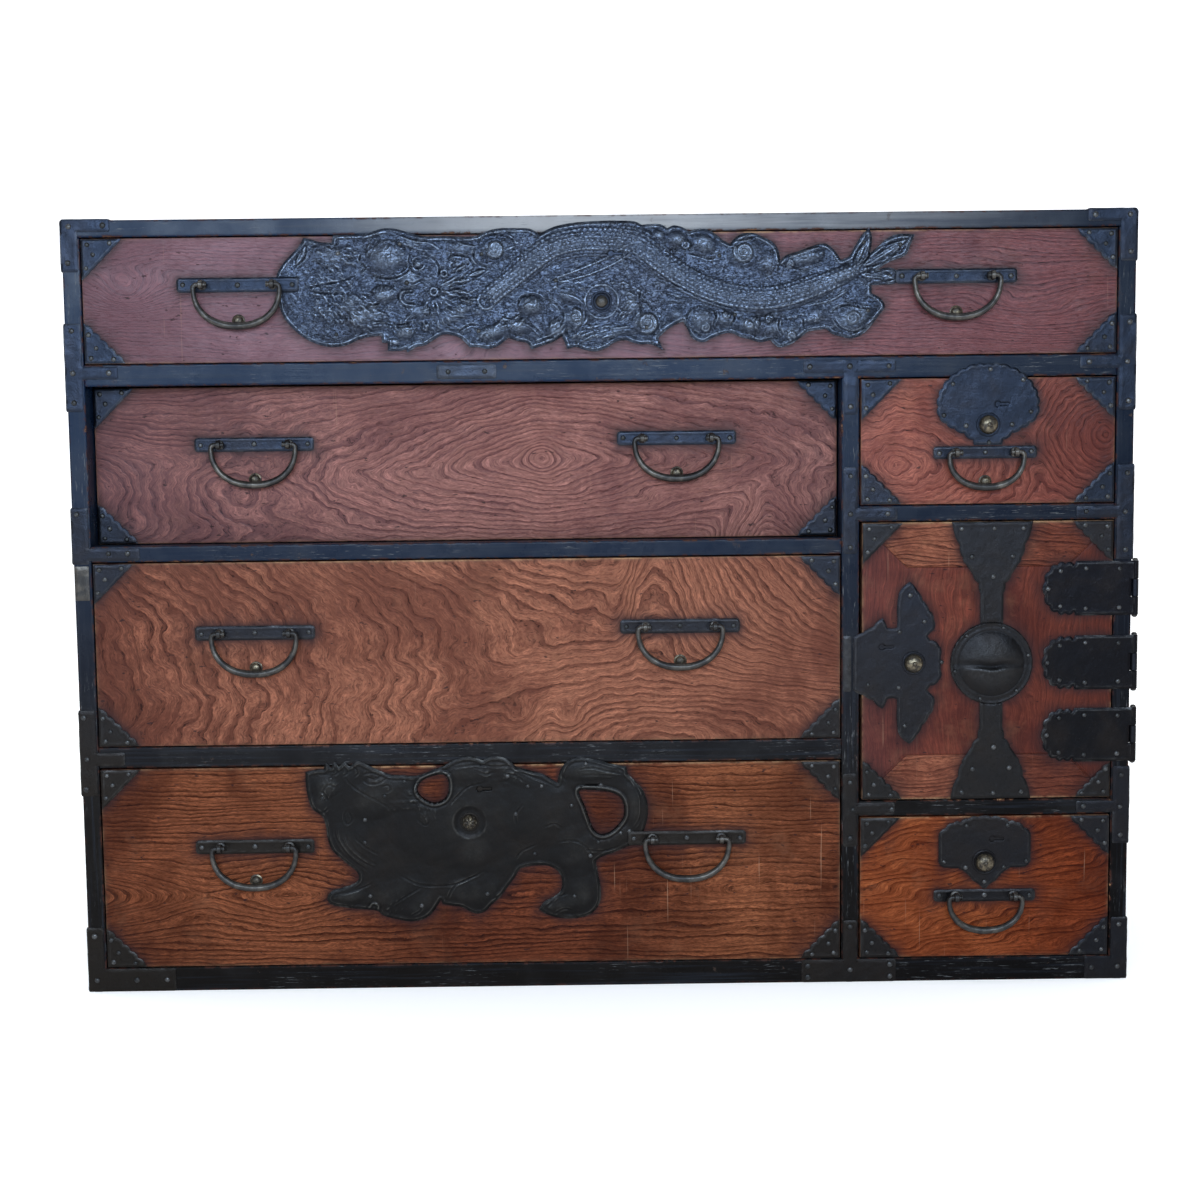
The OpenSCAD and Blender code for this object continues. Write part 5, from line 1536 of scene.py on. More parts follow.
@dataclass
class Handle:
    """A swinging bail on its plate.

    Attributes:
        node: CAD node and body of the bail.
        x: Middle of the handle.
        z: Height of its pivot.
        large: Whether it is one of the large handles.
        stud: Whether its rest stud is still there.
    """

    finishes: Finishes
    node: str
    drawer: Opening
    x: float
    z: float
    large: bool = True
    stud: bool = True
    elbow: float = 4.0
    end_radius: float = 2.6
    middle_radius: float = 4.2

    @property
    def half(self) -> float:
        """Half the width of the bail."""
        return 48.0 if self.large else 42.0

    @property
    def drop(self) -> float:
        """Drop of the bail."""
        return 46.0 if self.large else 39.0

    @property
    def eye(self) -> float:
        """Distance of an eye post from the middle."""
        return self.half - self.elbow - 4.5

    @property
    def outline(self) -> Array:
        """Outline of the back plate."""
        a, b = (68, 8) if self.large else (58.5, 7)
        return rounded_rectangle(self.x - a, self.z - b, self.x + a, self.z + b, 4)

    def add_mounts(self, plates: Skin, posts: Skin, studs: Skin, nails: Skin) -> None:
        """Adds the plate, the eye posts, the rest stud and the nails."""
        y = self.drawer.face
        seed = int(abs(self.x) + self.z)
        sheet = Sheet([self.outline], step=1.5).hammer(seed, 0.2, 26, (0.5, 1.1), (0.35, 2.3, 0.9))
        sheet.skin(facing(y), into=plates)
        half = 61 if self.large else 52
        for x in (-half, 0, half):
            add_nail(nails, self.x + x, y - IRON, self.z + 0.6 * math.sin(seed + x), 2.9, 1.5)
        for side in (-1, 1):
            self._eye(posts, self.x + side * self.eye, y)
        if self.stud:
            z = self.z + 6 - self.drop
            profile = [(7.4, 0), (7.4, 0.5), (6.6, 0.9), (5.9, 1.1), (6.0, 1.6), (5.7, 3.0), (4.6, 4.3),
                       (2.9, 5.0), (0, 5.2)]
            studs.add(*turned(profile, (self.x, y, z), sides=32))

    def _eye(self, skin: Skin, x: float, y: float) -> None:
        """Adds one eye post: a ring round the pin on a neck with a collar."""
        pin_y = y - PIVOT
        profile = [(2.5, -2.5), (4.4, -2.5), (5.1, -1.9), (5.25, 0), (5.1, 1.9), (4.4, 2.5), (2.5, 2.5),
                   (2.5, -2.5)]
        skin.add(*turned(profile, (x, pin_y, self.z), (1, 0, 0), 24))
        skin.add(*rounded_board((x - 2.4, pin_y + 3.3, self.z - 2.6),
                                (x + 2.4, y + 9, self.z + 2.6), 0.8, 50))
        collar = [(5.6, 0), (5.6, 0.7), (4.9, 1.3), (3.0, 1.5), (0, 1.5)]
        skin.add(*turned(collar, (x, y - IRON, self.z), sides=20))

    def _path(self) -> Array:
        """Middle of the bar, from one pivot round to the other."""
        a, b, e = self.half, self.drop, self.elbow
        power = 2.2
        out = [[-(a - e) - e * math.cos(t), 0, -e + e * math.sin(t)]
               for t in np.radians([90, 72, 54, 36, 18])]
        for t in np.linspace(0, math.pi, 56):
            c, s = math.cos(t), abs(math.sin(t))
            out.append([-a * math.copysign(abs(c) ** (2 / power), c), 0, -e - (b - e) * s ** (2 / power)])
        out += [[(a - e) + e * math.cos(t), 0, -e + e * math.sin(t)]
                for t in np.radians([18, 36, 54, 72, 90])]
        path = np.array(out)
        return path[np.concatenate([[True], np.linalg.norm(np.diff(path, axis=0), axis=1) > 0.15])]

    def build_bail(self) -> None:
        """Builds the swinging bar with its pivot pins."""
        path = self._path()
        run = np.concatenate([[0], np.cumsum(np.linalg.norm(np.diff(path, axis=0), axis=1))])
        run /= run[-1]
        radii = self.end_radius + (self.middle_radius - self.end_radius) * np.sin(np.pi * run) ** 1.3
        seed = int(abs(self.x) * 3 + self.z)
        radii *= 1 + 0.018 * ripple(seed, run * 200, run * 0, 30)
        origin = np.array([self.x, self.drawer.face - PIVOT, self.z])
        skin = Skin()
        points, faces = swept(path, radii, 18)
        wave = 0.14 * np.stack([ripple(seed + k, points[:, 0], points[:, 2], 12, 2) for k in range(3)], 1)
        skin.add(points + wave + origin, faces)
        inner = self.eye - 5.0
        for side in (-1, 1):
            profile = [(0, inner - 1.6), (2.6, inner - 1.6), (3.4, inner - 1.0), (3.4, inner - 0.2),
                       (2.42, inner + 0.3),
                       (2.42, self.half - self.elbow + 0.5)]
            skin.add(*turned(profile, origin, (side, 0, 0), 20))
        skin.settle(f"{self.node}_bar", self.finishes.handled, self.node, "iron", self.node, crease=50)


def add_lock_case(skin: Skin, x: float, y: float, z: float, reach: float, sideways: bool = False) -> None:
    """Adds the sheet box of a lock behind its board, open at the front and towards its bolt."""
    y0, y1, w = y + 20.1, y + 39.1, 26.0
    walls = [((-w, y1 - 2, -18), (w, y1, reach - 3)), ((-w, y0, -18), (w, y1 - 2.1, -16)),
             ((-w, y0, -15.9), (-w + 2, y1 - 2.1, reach - 3)), ((w - 2, y0, -15.9), (w, y1 - 2.1, reach - 3))]
    for lo, hi in walls:
        if sideways:
            lo, hi = (-hi[2], lo[1], lo[0]), (-lo[2], hi[1], hi[0])
        skin.add(*box_part((x + lo[0], lo[1], z + lo[2]), (x + hi[0], hi[1], z + hi[2])))


def keyhole(x: float, z: float) -> Array:
    """Outline of a keyhole: a round hole with a slot to its right."""
    loop = [[x + 3 * math.cos(a), z + 3 * math.sin(a)] for a in np.linspace(0.42, 2 * math.pi - 0.42, 16)]
    return np.array([*loop, [x + 12.6, z - 1.2], [x + 13, z], [x + 12.6, z + 1.2]])


@dataclass
class PushLock:
    """A push-button bolt lock: its plate, washer, button, case and bolt.

    Attributes:
        owner: Body that carries the lock.
        x: Middle of the button.
        z: Height of the button.
        face: Y of the board's face.
        button: Radius of the button.
        washer: Outer radius of the washer.
        key: Keyhole, from the button.
        reach: From the button to the edge that the bolt leaves by.
        nipple: Whether the button ends in a small nipple.
        petals: How many petals its rim is cut into.
        sideways: Whether the bolt goes to the left.
    """

    finishes: Finishes
    owner: str
    x: float
    z: float
    face: float
    button: float
    washer: float
    key: tuple[float, float]
    reach: float
    nipple: bool = False
    sideways: bool = False
    petals: int = 0

    def holes(self) -> list[Array]:
        """Holes of the plate for the button and the key."""
        key = keyhole(self.x + self.key[0], self.z + self.key[1])
        return [circle(self.x, self.z, self.button + 0.6), key]

    def build(self, sheet: Sheet, nails: Sequence[Point], nail_size: float = 2.6,
              finish: Finish | None = None) -> None:
        """Builds the whole lock.

        Args:
            sheet: The shaped plate.
            nails: Where its nails stand.
            nail_size: Radius of their heads.
            finish: Finish of the plate.
        """
        plate = sheet.skin(facing(self.face))
        plate.settle(f"{self.owner}_plate", finish or self.finishes.iron, self.owner, "iron",
                     f"{self.owner}_lock", crease=60)
        works = Skin()
        r, w = self.button, self.washer
        washer = [(r + 0.08, -0.2), (w, -0.2), (w, 0.9), (w - 0.8, 1.5), (w - 1.8, 1.5), (w - 2.6, 0.9),
                  (r + 2.0, 1.0), (r + 1.1, 1.8), (r + 0.08, 1.7), (r + 0.08, -0.2)]
        works.add(*turned(washer, (self.x, self.face - 1.6, self.z), sides=40))
        add_lock_case(works, self.x, self.face, self.z, self.reach, self.sideways)
        key_x, key_z = self.x + self.key[0], self.z + self.key[1]
        works.add(*rounded_board((key_x - 4, self.face - 0.25, key_z - 4),
                                 (key_x + 14, self.face - 0.05, key_z + 4), 0.05, 50))
        works.settle(f"{self.owner}_lock_works", self.finishes.iron, self.owner, "iron")
        heads = Skin()
        for x, z in nails:
            add_nail(heads, x, self.face - sheet.height_at((x, z)) + 0.1, z, nail_size, 1.5)
        if nails:
            heads.settle(f"{self.owner}_lock_nails", self.finishes.nail, self.owner, "iron")
        self._build_button()

    def _build_button(self) -> None:
        """Builds the button and dresses the bolt."""
        r, h = self.button, 0.62 * self.button
        base = 5.0
        profile = [(r, -0.5), (r, base)]
        if self.nipple:
            profile += [(r - 0.4, base + 0.6), (0.93 * r, base + 0.32 * h), (0.78 * r, base + 0.58 * h),
                        (0.56 * r, base + 0.76 * h),
                        (0.34 * r, base + 0.84 * h), (0.27 * r, base + 0.86 * h), (0.25 * r, base + 0.96 * h),
                        (0.14 * r, base + 1.08 * h), (0, base + 1.12 * h)]
        else:
            profile += [(r - 0.3, base + 0.5), (0.92 * r, base + 0.4 * h), (0.75 * r, base + 0.68 * h),
                        (0.5 * r, base + 0.87 * h),
                        (0.25 * r, base + 0.97 * h), (0, base + h)]
        skin = Skin()
        points, faces = turned(profile, (self.x, self.face, self.z), sides=42)
        if self.petals:
            raised = points[:, 1] < self.face - base
            angle = np.arctan2(points[:, 2] - self.z, points[:, 0] - self.x)
            cut = np.abs(np.sin(angle * self.petals / 2)) ** 0.6
            spread = np.hypot(points[:, 2] - self.z, points[:, 0] - self.x) / r
            points[:, 1] -= raised * spread * (1.6 * cut - 0.8)
            inward = raised * spread * 0.16 * (1 - cut)
            points[:, [0, 2]] -= inward[:, None] * (points[:, [0, 2]] - [self.x, self.z])
        skin.add(points, faces)
        skin.add(*turned([(5, -21), (5, 0.6), (r, 0.7), (r, 0.4)], (self.x, self.face, self.z), sides=24))
        section = [(20.8, -4), (29.8, -4), (29.8, -3.4), (20.8, 11)]
        wedge = np.array([(side * 4.0, y, z) for side in (-1, 1) for y, z in section])
        if self.sideways:
            wedge = np.stack([-wedge[:, 2], wedge[:, 1], wedge[:, 0]], 1)
        wedge += np.array([self.x, self.face, self.z])
        skin.add(wedge, [(0, 1, 2, 3), (7, 6, 5, 4), (0, 4, 5, 1), (1, 5, 6, 2), (2, 6, 7, 3), (3, 7, 4, 0)])
        brass = self.nipple or self.petals
        skin.settle(f"{self.owner}_push_button", self.finishes.brass if brass else self.finishes.handled,
                    f"{self.owner}_button", "bronze", f"{self.owner}_button")
        dress(f"{self.owner}_bolt", self.finishes.handled)


# --------------------------------------------------------------------------- drawers

@dataclass
class Drawer:
    """A drawer: its wood-grained front, its corner plates and handles, and its bare box.

    Attributes:
        opening: Where it sits.
        handles: Its bails.
        stains: Outlines that the iron has darkened the wood round, besides its own plates.
        windows: Holes in those outlines.
        rubs: Bare places on the arrises.
    """

    finishes: Finishes
    opening: Opening
    handles: Sequence[Handle]
    stains: Sequence[Array] = ()
    windows: Sequence[Array] = ()
    rubs: Sequence[Rub] = ()
    step: float = 3.2

    def build(self) -> None:
        """Builds the front, its mounts and its bails, and dresses the box."""
        name, y = self.opening.name, self.opening.face
        x0, z0, x1, z1 = self.opening.rect
        plates, posts, studs, nails = Skin(), Skin(), Skin(), Skin()
        loops = add_corner_plates(plates, nails, self.opening.rect, y)
        for handle in self.handles:
            handle.add_mounts(plates, posts, studs, nails)
            loops.append(handle.outline)
            handle.build_bail()
        plates.settle(f"{name}_plates", self.finishes.iron, name, "iron", f"{name}_irons")
        posts.settle(f"{name}_eye_posts", self.finishes.handled, name, "iron")
        nails.settle(f"{name}_nails", self.finishes.nail, name, "iron")
        if studs.count:
            studs.settle(f"{name}_rest_studs", self.finishes.brass, name, "bronze")
        lo, hi = (x0, y, z0), (x1, y + 11, z1)
        points, faces = rounded_board(lo, hi, 1.1, self.step)
        front = points[:, 1] < y + 3
        x, z = points[:, 0], points[:, 2]
        stain = np.zeros(len(points))
        near = distance_to([*loops, *self.stains], x[front], z[front])
        for window in self.windows:
            within = crossings([window], x[front], z[front])
            gap = [np.hypot(x[front] - px, z[front] - pz) for px, pz in window[::2]]
            near = np.where(within, np.min(gap, axis=0), near)
        spread = 6.4 + 3.2 * ripple(101, x[front], z[front], 40)
        stain[front] = np.exp(-near / spread)
        rim = np.minimum(np.minimum(x - x0, x1 - x), np.minimum(z - z0, z1 - z))
        # darker along the front's edges
        stain = np.maximum(stain, 0.5 * np.exp(-np.maximum(rim, 0) / 2.2))
        bare = arris_wear(points, lo, hi, self.rubs, 0.25, 1.1)
        grain = GRAINS[name](x, z) + (points[:, 1] - y) / 5
        skin = Skin().add(points, faces, rings=grain, stain=stain, bare=bare, **tones(name, x))
        points, faces = rounded_board((x0 + 10.1, y + 10.6, z0), (x1 - 10.1, y + BOARD, z1), 0.6, 12)
        skin.add(points, faces, rings=GRAINS[name](points[:, 0], points[:, 2]) + (points[:, 1] - y) / 5,
                 stain=np.zeros(len(points)), bare=np.zeros(len(points)), **tones(name, points[:, 0]))
        skin.settle(f"{name}_board", self.finishes.fronts[name], name, "keyaki", f"{name}_front")
        dress(f"{name}_box", self.finishes.softwood)


# --------------------------------------------------------------------------- door and hinges

def inset(loop: Array, d: float) -> Array:
    """A convex outline drawn in by d."""
    centre = loop.mean(0)
    out = []
    for k in range(len(loop)):
        a, b, c = loop[k - 1], loop[k], loop[(k + 1) % len(loop)]
        n1 = np.array([-(b - a)[1], (b - a)[0]]) / max(np.hypot(*(b - a)), 1e-9)
        n2 = np.array([-(c - b)[1], (c - b)[0]]) / max(np.hypot(*(c - b)), 1e-9)
        n1 = n1 if n1 @ (centre - a) > 0 else -n1
        n2 = n2 if n2 @ (centre - b) > 0 else -n2
        out.append(b + d * (n1 + n2) / max(1 + n1 @ n2, 0.3))
    return np.array(out)


@dataclass
class Hinges:
    """Three butt hinges with scalloped leaves on the door and plain ones round the side.

    Attributes:
        x: Hinge line, from the middle of the chest.
        y: Hinge line, from front to back.
        middles: Heights of the hinges.
        half: Half the height of a hinge.
        knuckle: Radius of a knuckle.
    """

    finishes: Finishes
    x: float = 604.5
    y: float = -223.0
    middles: tuple[float, ...] = (287.0, 370.5, 455.5)
    half: float = 31.0
    knuckle: float = 4.0

    def leaf(self, z: float) -> Array:
        """Outline of a door leaf, from the hinge line to its scalloped tip."""
        tip = mirrored([[31, 0, 0], [31, 68, 0], [26.5, 70, 3.0], [28, 80, 3.0], [26.5, 89, 3.2],
                        [20, 97.5, 3.2], [8, 103, 3.0]])
        loop = arc_outline(tip, 7)
        return np.stack([self.x - loop[:, 1], z + loop[:, 0]], 1)

    def _tube(self, skin: Skin, low: float, high: float) -> None:
        """Adds one knuckle."""
        r, c = self.knuckle, 0.5
        profile = [(2.0, low), (r - c, low), (r, low + c), (r, high - c), (r - c, high), (2.0, high),
                   (2.0, low)]
        skin.add(*turned(profile, (self.x, self.y, 0), (0, 0, 1), 24))

    def build(self) -> list[Array]:
        """Builds the hinges and returns the outlines of the leaves on the door."""
        third = self.half / 3
        leaves, sides, pins, nails, side_nails = Skin(), Skin(), Skin(), Skin(), Skin()
        outlines = []
        for number, z in enumerate(self.middles):
            outlines.append(self.leaf(z))
            notch = np.array([[self.x + across, z + up] for across, up in
                              ((-5.5, -third), (3, -third), (3, third), (-5.5, third))])
            sheet = Sheet([outlines[-1]], [notch], step=1.8)
            sheet.hammer(400 + number, 0.14, 26, (0.4, 1.2),
                         (0.32, 2.8, 1.1)).skin(facing(FACE_Y), into=leaves)
            self._tube(leaves, z - self.half, z - third)
            self._tube(leaves, z + third, z + self.half)
            self._tube(sides, z - third + 0.3, z + third - 0.3)
            for lo, hi in (((600, self.y, z - third + 0.3), (601.5, self.y + 5, z + third - 0.3)),
                           ((600, self.y + 4.6, z - self.half), (601.5, self.y + 46, z + self.half))):
                sides.add(*rounded_board(lo, hi, 0.5, 6))
            for end in (-1, 1):
                at = (self.x, self.y, z + end * (self.half + 0.4))
                cap = [(3.4, 0), (3.3, 0.7), (2.7, 1.7), (1.5, 2.4), (0, 2.6)]
                pins.add(*turned(cap, at, (0, 0, end), 20))
            r, tip = 1.95, self.half + 0.5
            pins.add(*turned([(0, -tip), (r, -tip), (r, tip), (0, tip)], (self.x, self.y, z), (0, 0, 1), 16))
            for a, b in ((-19, -22), (-19, 22), (-57, -23), (-57, 23), (-100, 0), (-86, -20), (-86, 20)):
                add_nail(nails, self.x + a, FACE_Y - IRON, z + b, 2.7, 1.5)
            for b in (-22, 0, 22):
                add_nail(side_nails, 601.5, self.y + 34, z + b, forward=(1, 0, 0))
        leaves.settle("door_leaves", self.finishes.hinge_iron, "door", "iron", "door_hinge_leaves")
        nails.settle("door_leaf_nails", self.finishes.nail, "door", "iron")
        sides.settle("side_leaves", self.finishes.iron, "carcass", "iron", "hinge_side_leaves")
        side_nails.settle("side_leaf_nails", self.finishes.nail, "carcass", "iron")
        pins.settle("pins_of_hinges", self.finishes.handled, "carcass", "iron", "hinge_pins")
        return outlines


@dataclass
class Door:
    """The compartment's door: an upright panel between mitred battens, a round boss on straps.

    Attributes:
        rect: Left, bottom, right and top.
        batten: Height of the battens.
        boss: Middle of the round boss.
        boss_radius: Its radius.
    """

    finishes: Finishes
    lock_plate: Array
    leaves: Sequence[Array]
    rect: Rect = DOOR_RECT
    batten: float = 51.0
    boss: tuple[float, float] = (441.0, 371.0)
    boss_radius: float = 47.0

    def _boards(self, loops: Sequence[Array], iron: Sequence[Array], name: str, tone: str,
                grain: Callable[[Array, Array], Array], node: str, rubs: Sequence[Rub]) -> None:
        """Builds boards of the door that share a finish."""
        x0, z0, x1, z1 = self.rect
        skin = Skin()
        for loop in loops:
            sheet = Sheet([loop], guides=[inset(loop, 1.0), inset(loop, 2.6)], step=3.2, thick=BOARD)
            sheet.height[:] = BOARD

            def paint(x: Array, z: Array) -> dict[str, Array]:
                """The painted values of the boards."""
                near = distance_to(iron, x, z)
                outer = np.minimum(np.minimum(x - x0, x1 - x), np.minimum(z - z0, z1 - z))
                stain = np.exp(-near / (6.8 + 3.2 * ripple(111, x, z, 40)))
                # darker along the board's outer edges
                stain = np.maximum(stain, 0.5 * np.exp(-np.maximum(outer, 0) / 2.2))
                strength = np.full(len(x), 0.3)
                for rub in rubs:
                    strength = np.maximum(strength, rub.at(x, z))
                return {"rings": grain(x, z), "stain": stain,
                        "bare": np.exp(-np.minimum(outer, 1e3) / 1.2) * strength,
                        **tones(tone, x)}
            sheet.skin(facing(FACE_Y + BOARD), BOARD - 0.8, 0.0, paint, skin)
        skin.settle(name, self.finishes.fronts[tone], "door", "keyaki", node)

    def _boss(self, skin: Skin) -> None:
        """Adds the round boss: a nailed rim round a swelling that is parted by a level fold like lips."""
        cx, cz = self.boss
        sheet = Sheet([circle(cx, cz, self.boss_radius, 96)], step=1.2)
        x, z = sheet.x - cx, sheet.z - cz
        r = np.hypot(x, z)
        fold = z + 1.0 + 2.0 * bell(x, 10)
        rays = np.sin(np.arctan2(x, 8 - z) * 26) * bell(z + 14, 8) * bell(x, 16)
        sheet.height[:] = (IRON + 5.6 * np.clip(1 - (r / 37) ** 2, 0, 1) ** 0.75
                           - 2.5 * bell(fold, 4.0) * bell(x, 30)
                           + 0.8 * bell(fold + 6, 2.6) * bell(x, 22) + 0.2 * rays + 0.4 * bell(r - 39.5, 1.6)
                           + 0.5 * bell(r - 45.4, 1.2)
                           + 0.12 * ripple(125, sheet.x, sheet.z, 20))
        sheet.skin(facing(FACE_Y), into=skin)

    def build(self) -> None:
        """Builds the boards, the corner plates, the boss and its straps."""
        x0, z0, x1, z1 = self.rect
        b, g = self.batten, 0.1
        panel = np.array([[x0, z0 + g], [x0 + b, z0 + b + g], [x1 - b, z0 + b + g], [x1, z0 + g],
                          [x1, z1 - g],
                          [x1 - b, z1 - b - g], [x0 + b, z1 - b - g], [x0, z1 - g]])
        lower = np.array([[x0, z0], [x1, z0], [x1 - b, z0 + b - g], [x0 + b, z0 + b - g]])
        upper = np.array([[x0, z1], [x0 + b, z1 - b + g], [x1 - b, z1 - b + g], [x1, z1]])
        plates, nails = Skin(), Skin()
        iron = add_corner_plates(plates, nails, self.rect, FACE_Y, 39.5)
        iron += [self.lock_plate, circle(*self.boss, self.boss_radius), *self.leaves]
        strap = mirrored([[46, 0, 0], [44, 10, 1], [37, 26, 1.5], [33, 41, 1], [30, 48, 0], [22, 60, 1.5],
                          [15, 70, 1], [13, 82, 0]])
        for sign, edge in ((1, z0), (-1, z1)):
            reach = abs(self.boss[1] - edge)
            loop = arc_outline(strap, 6)
            bar = np.array([[-13, 70], [13, 70], [13, reach], [-13, reach]], float)
            loops = []
            for part in (loop, bar):
                placed = np.stack([self.boss[0] + part[:, 0], edge + sign * part[:, 1]], 1)
                loops.append(placed if sign > 0 else placed[::-1])
            sheet = Sheet(loops, [circle(*self.boss, self.boss_radius + 0.1, 48)], step=1.8)
            sheet.hammer(120 + sign, 0.18, 26, (0.4, 1.2), (0.3, 2.8, 1.1)).skin(facing(FACE_Y), into=plates)
            iron += loops
        for x, z in ((406, 525), (443, 525), (476, 525), (418, 493), (464, 493), (442, 470), (444, 274),
                     (420, 249), (462, 250),
                     (408, 222), (444, 221), (476, 222)):
            add_nail(nails, x, FACE_Y - IRON, z, 2.8, 1.5)
        self._boss(plates)
        plates.settle("door_plates", self.finishes.door_iron, "door", "iron", "door_irons")
        for k in range(6):
            a = math.radians(60 * k + 12)
            x, z = self.boss[0] + 42.7 * math.cos(a), self.boss[1] + 42.7 * math.sin(a)
            add_nail(nails, x, FACE_Y - 2.2, z, 2.2, 1.3)
        nails.settle("door_nails", self.finishes.nail, "door", "iron")
        rubs = (Rub(420, 214, 150, 4, 0.9), Rub(300, 240, 6, 40, 0.9), Rub(430, 532, 140, 4, 0.9))
        self._boards([panel], iron, "door_middle_board", "door", door_grain, "door_panel", rubs)
        self._boards([lower, upper], iron, "door_end_boards", "battens", batten_grain, "door_battens", rubs)


# --------------------------------------------------------------------------- locks with pictures

DRAGON: list[Point] = [
     [-330, 138, 1], [-336, 128], [-346, 118], [-355, 108], [-361, 97], [-362, 84], [-360, 68], [-356, 54],
    [-349, 43], [-338, 32], [-326, 24], [-313, 19], [-300, 17], [-285, 19], [-271, 25], [-258, 28],
    [-246, 29, 1], [-245, 21, 1], [-239, 21, 1], [-239, 12, 1], [-225, 12], [-219, 14, 1], [-217, 10, 1],
    [-207, 16], [-197, 18], [-187, 24], [-178, 29], [-168, 29], [-157, 25], [-147, 15, 1], [-137, 15],
    [-128, 13], [-116, 16], [-104, 25, 1], [-92, 21], [-83, 19], [-78, 12, 1], [-66, 16], [-54, 20],
    [-44, 26, 1], [-41, 20], [-38, 12, 1], [-28, 14], [-19, 11], [-6, 9], [6, 13], [16, 19], [27, 21],
    [36, 18], [45, 16], [56, 16], [69, 10, 1], [64, 23, 1], [74, 32], [84, 38], [92, 41, 1], [96, 34],
    [101, 24], [108, 19], [116, 18], [126, 23], [138, 27], [148, 27], [156, 23], [168, 20], [178, 17],
    [190, 19, 1], [196, 13], [202, 11], [214, 15], [224, 22], [232, 28], [244, 30], [252, 31, 1], [260, 25],
    [270, 22], [280, 20], [292, 24], [302, 33], [311, 45], [318, 55], [313, 64], [303, 70, 1], [303, 79, 1],
    [328, 80], [334, 86], [332, 94], [321, 98], [308, 95, 1], [322, 104], [340, 111], [346, 122],
    [351, 134, 1], [336, 135], [322, 131], [310, 121], [301, 114, 1], [303, 124], [303, 134], [300, 142, 1],
    [292, 134], [284, 121], [278, 111], [269, 107, 1], [262, 117], [254, 124], [246, 125], [232, 121],
    [218, 116], [208, 113], [201, 107, 1], [199, 118], [193, 127], [182, 133], [170, 138], [158, 137],
    [149, 131], [145, 126, 1], [137, 130], [130, 136], [121, 142], [110, 143], [99, 140, 1], [92, 145],
    [82, 147], [75, 144, 1], [69, 148], [60, 149], [47, 148, 1], [38, 152], [22, 153], [0, 153], [-20, 152],
    [-38, 150], [-54, 146], [-68, 139, 1], [-78, 145], [-95, 146], [-112, 146], [-126, 143], [-138, 138],
    [-152, 137], [-172, 138], [-192, 138], [-206, 140], [-218, 144], [-230, 147], [-243, 147], [-256, 143],
    [-270, 141], [-285, 141], [-297, 140, 1], [-299, 132, 1], [-312, 133], [-322, 136]]

LION: list[Point] = [
     [-344, 227, 1], [-331, 230], [-323, 230, 1], [-321, 239, 1], [-315, 232, 1], [-310, 240, 1],
    [-306, 233, 1], [-299, 239, 1], [-294, 233, 1], [-284, 239], [-272, 234], [-260, 228], [-247, 223],
    [-234, 222], [-221, 221], [-210, 223], [-198, 228], [-187, 232], [-176, 238], [-164, 242], [-152, 242],
    [-141, 238, 1], [-133, 242], [-121, 242], [-111, 238], [-103, 230, 1], [-88, 226], [-72, 221],
    [-56, 211, 1], [-54, 221], [-49, 231], [-41, 238], [-28, 240], [-10, 237], [8, 232], [23, 229, 1],
    [25, 220, 1], [34, 211], [42, 201], [47, 186], [47, 170], [43, 155], [38, 142], [22, 135], [8, 129],
    [-6, 124], [-13, 119, 1], [-11, 106], [-8, 90], [-8, 74], [-14, 62], [-24, 55], [-40, 52], [-56, 53],
    [-70, 57], [-79, 63, 1], [-73, 72], [-62, 78], [-54, 85], [-52, 96], [-56, 107], [-67, 114], [-84, 115],
    [-100, 111], [-106, 102], [-115, 90], [-124, 78], [-133, 70], [-141, 62], [-150, 59], [-159, 62],
    [-168, 67], [-180, 69], [-190, 71, 1], [-192, 76, 1], [-197, 68], [-204, 59], [-214, 53], [-228, 51],
    [-244, 54], [-258, 58], [-266, 64], [-282, 66], [-300, 68], [-318, 72], [-323, 80], [-317, 88],
    [-304, 92], [-292, 96], [-286, 102], [-288, 110], [-297, 118], [-306, 126], [-315, 135], [-320, 147],
    [-322, 162], [-326, 175], [-337, 184], [-342, 198], [-344, 213]]
NECK_HOLE: list[Point] = [
     [-216, 208], [-210, 216], [-198, 221], [-186, 222], [-181, 215], [-181, 203], [-186, 194], [-197, 190],
    [-208, 194], [-215, 201]]
TAIL_HOLE: list[Point] = [
     [-31, 201], [-16, 202], [2, 200], [15, 194], [20, 183], [19, 170], [11, 159], [1, 152], [-8, 151],
    [-15, 157], [-20, 169], [-25, 184]]


def raised_outline(points: Sequence[Point], opening: Opening) -> Array:
    """A picture's outline, lifted from its drawer's floor to its place in the chest."""
    return smooth_outline([[p[0], p[1] + opening.floor, *p[2:]] for p in points])


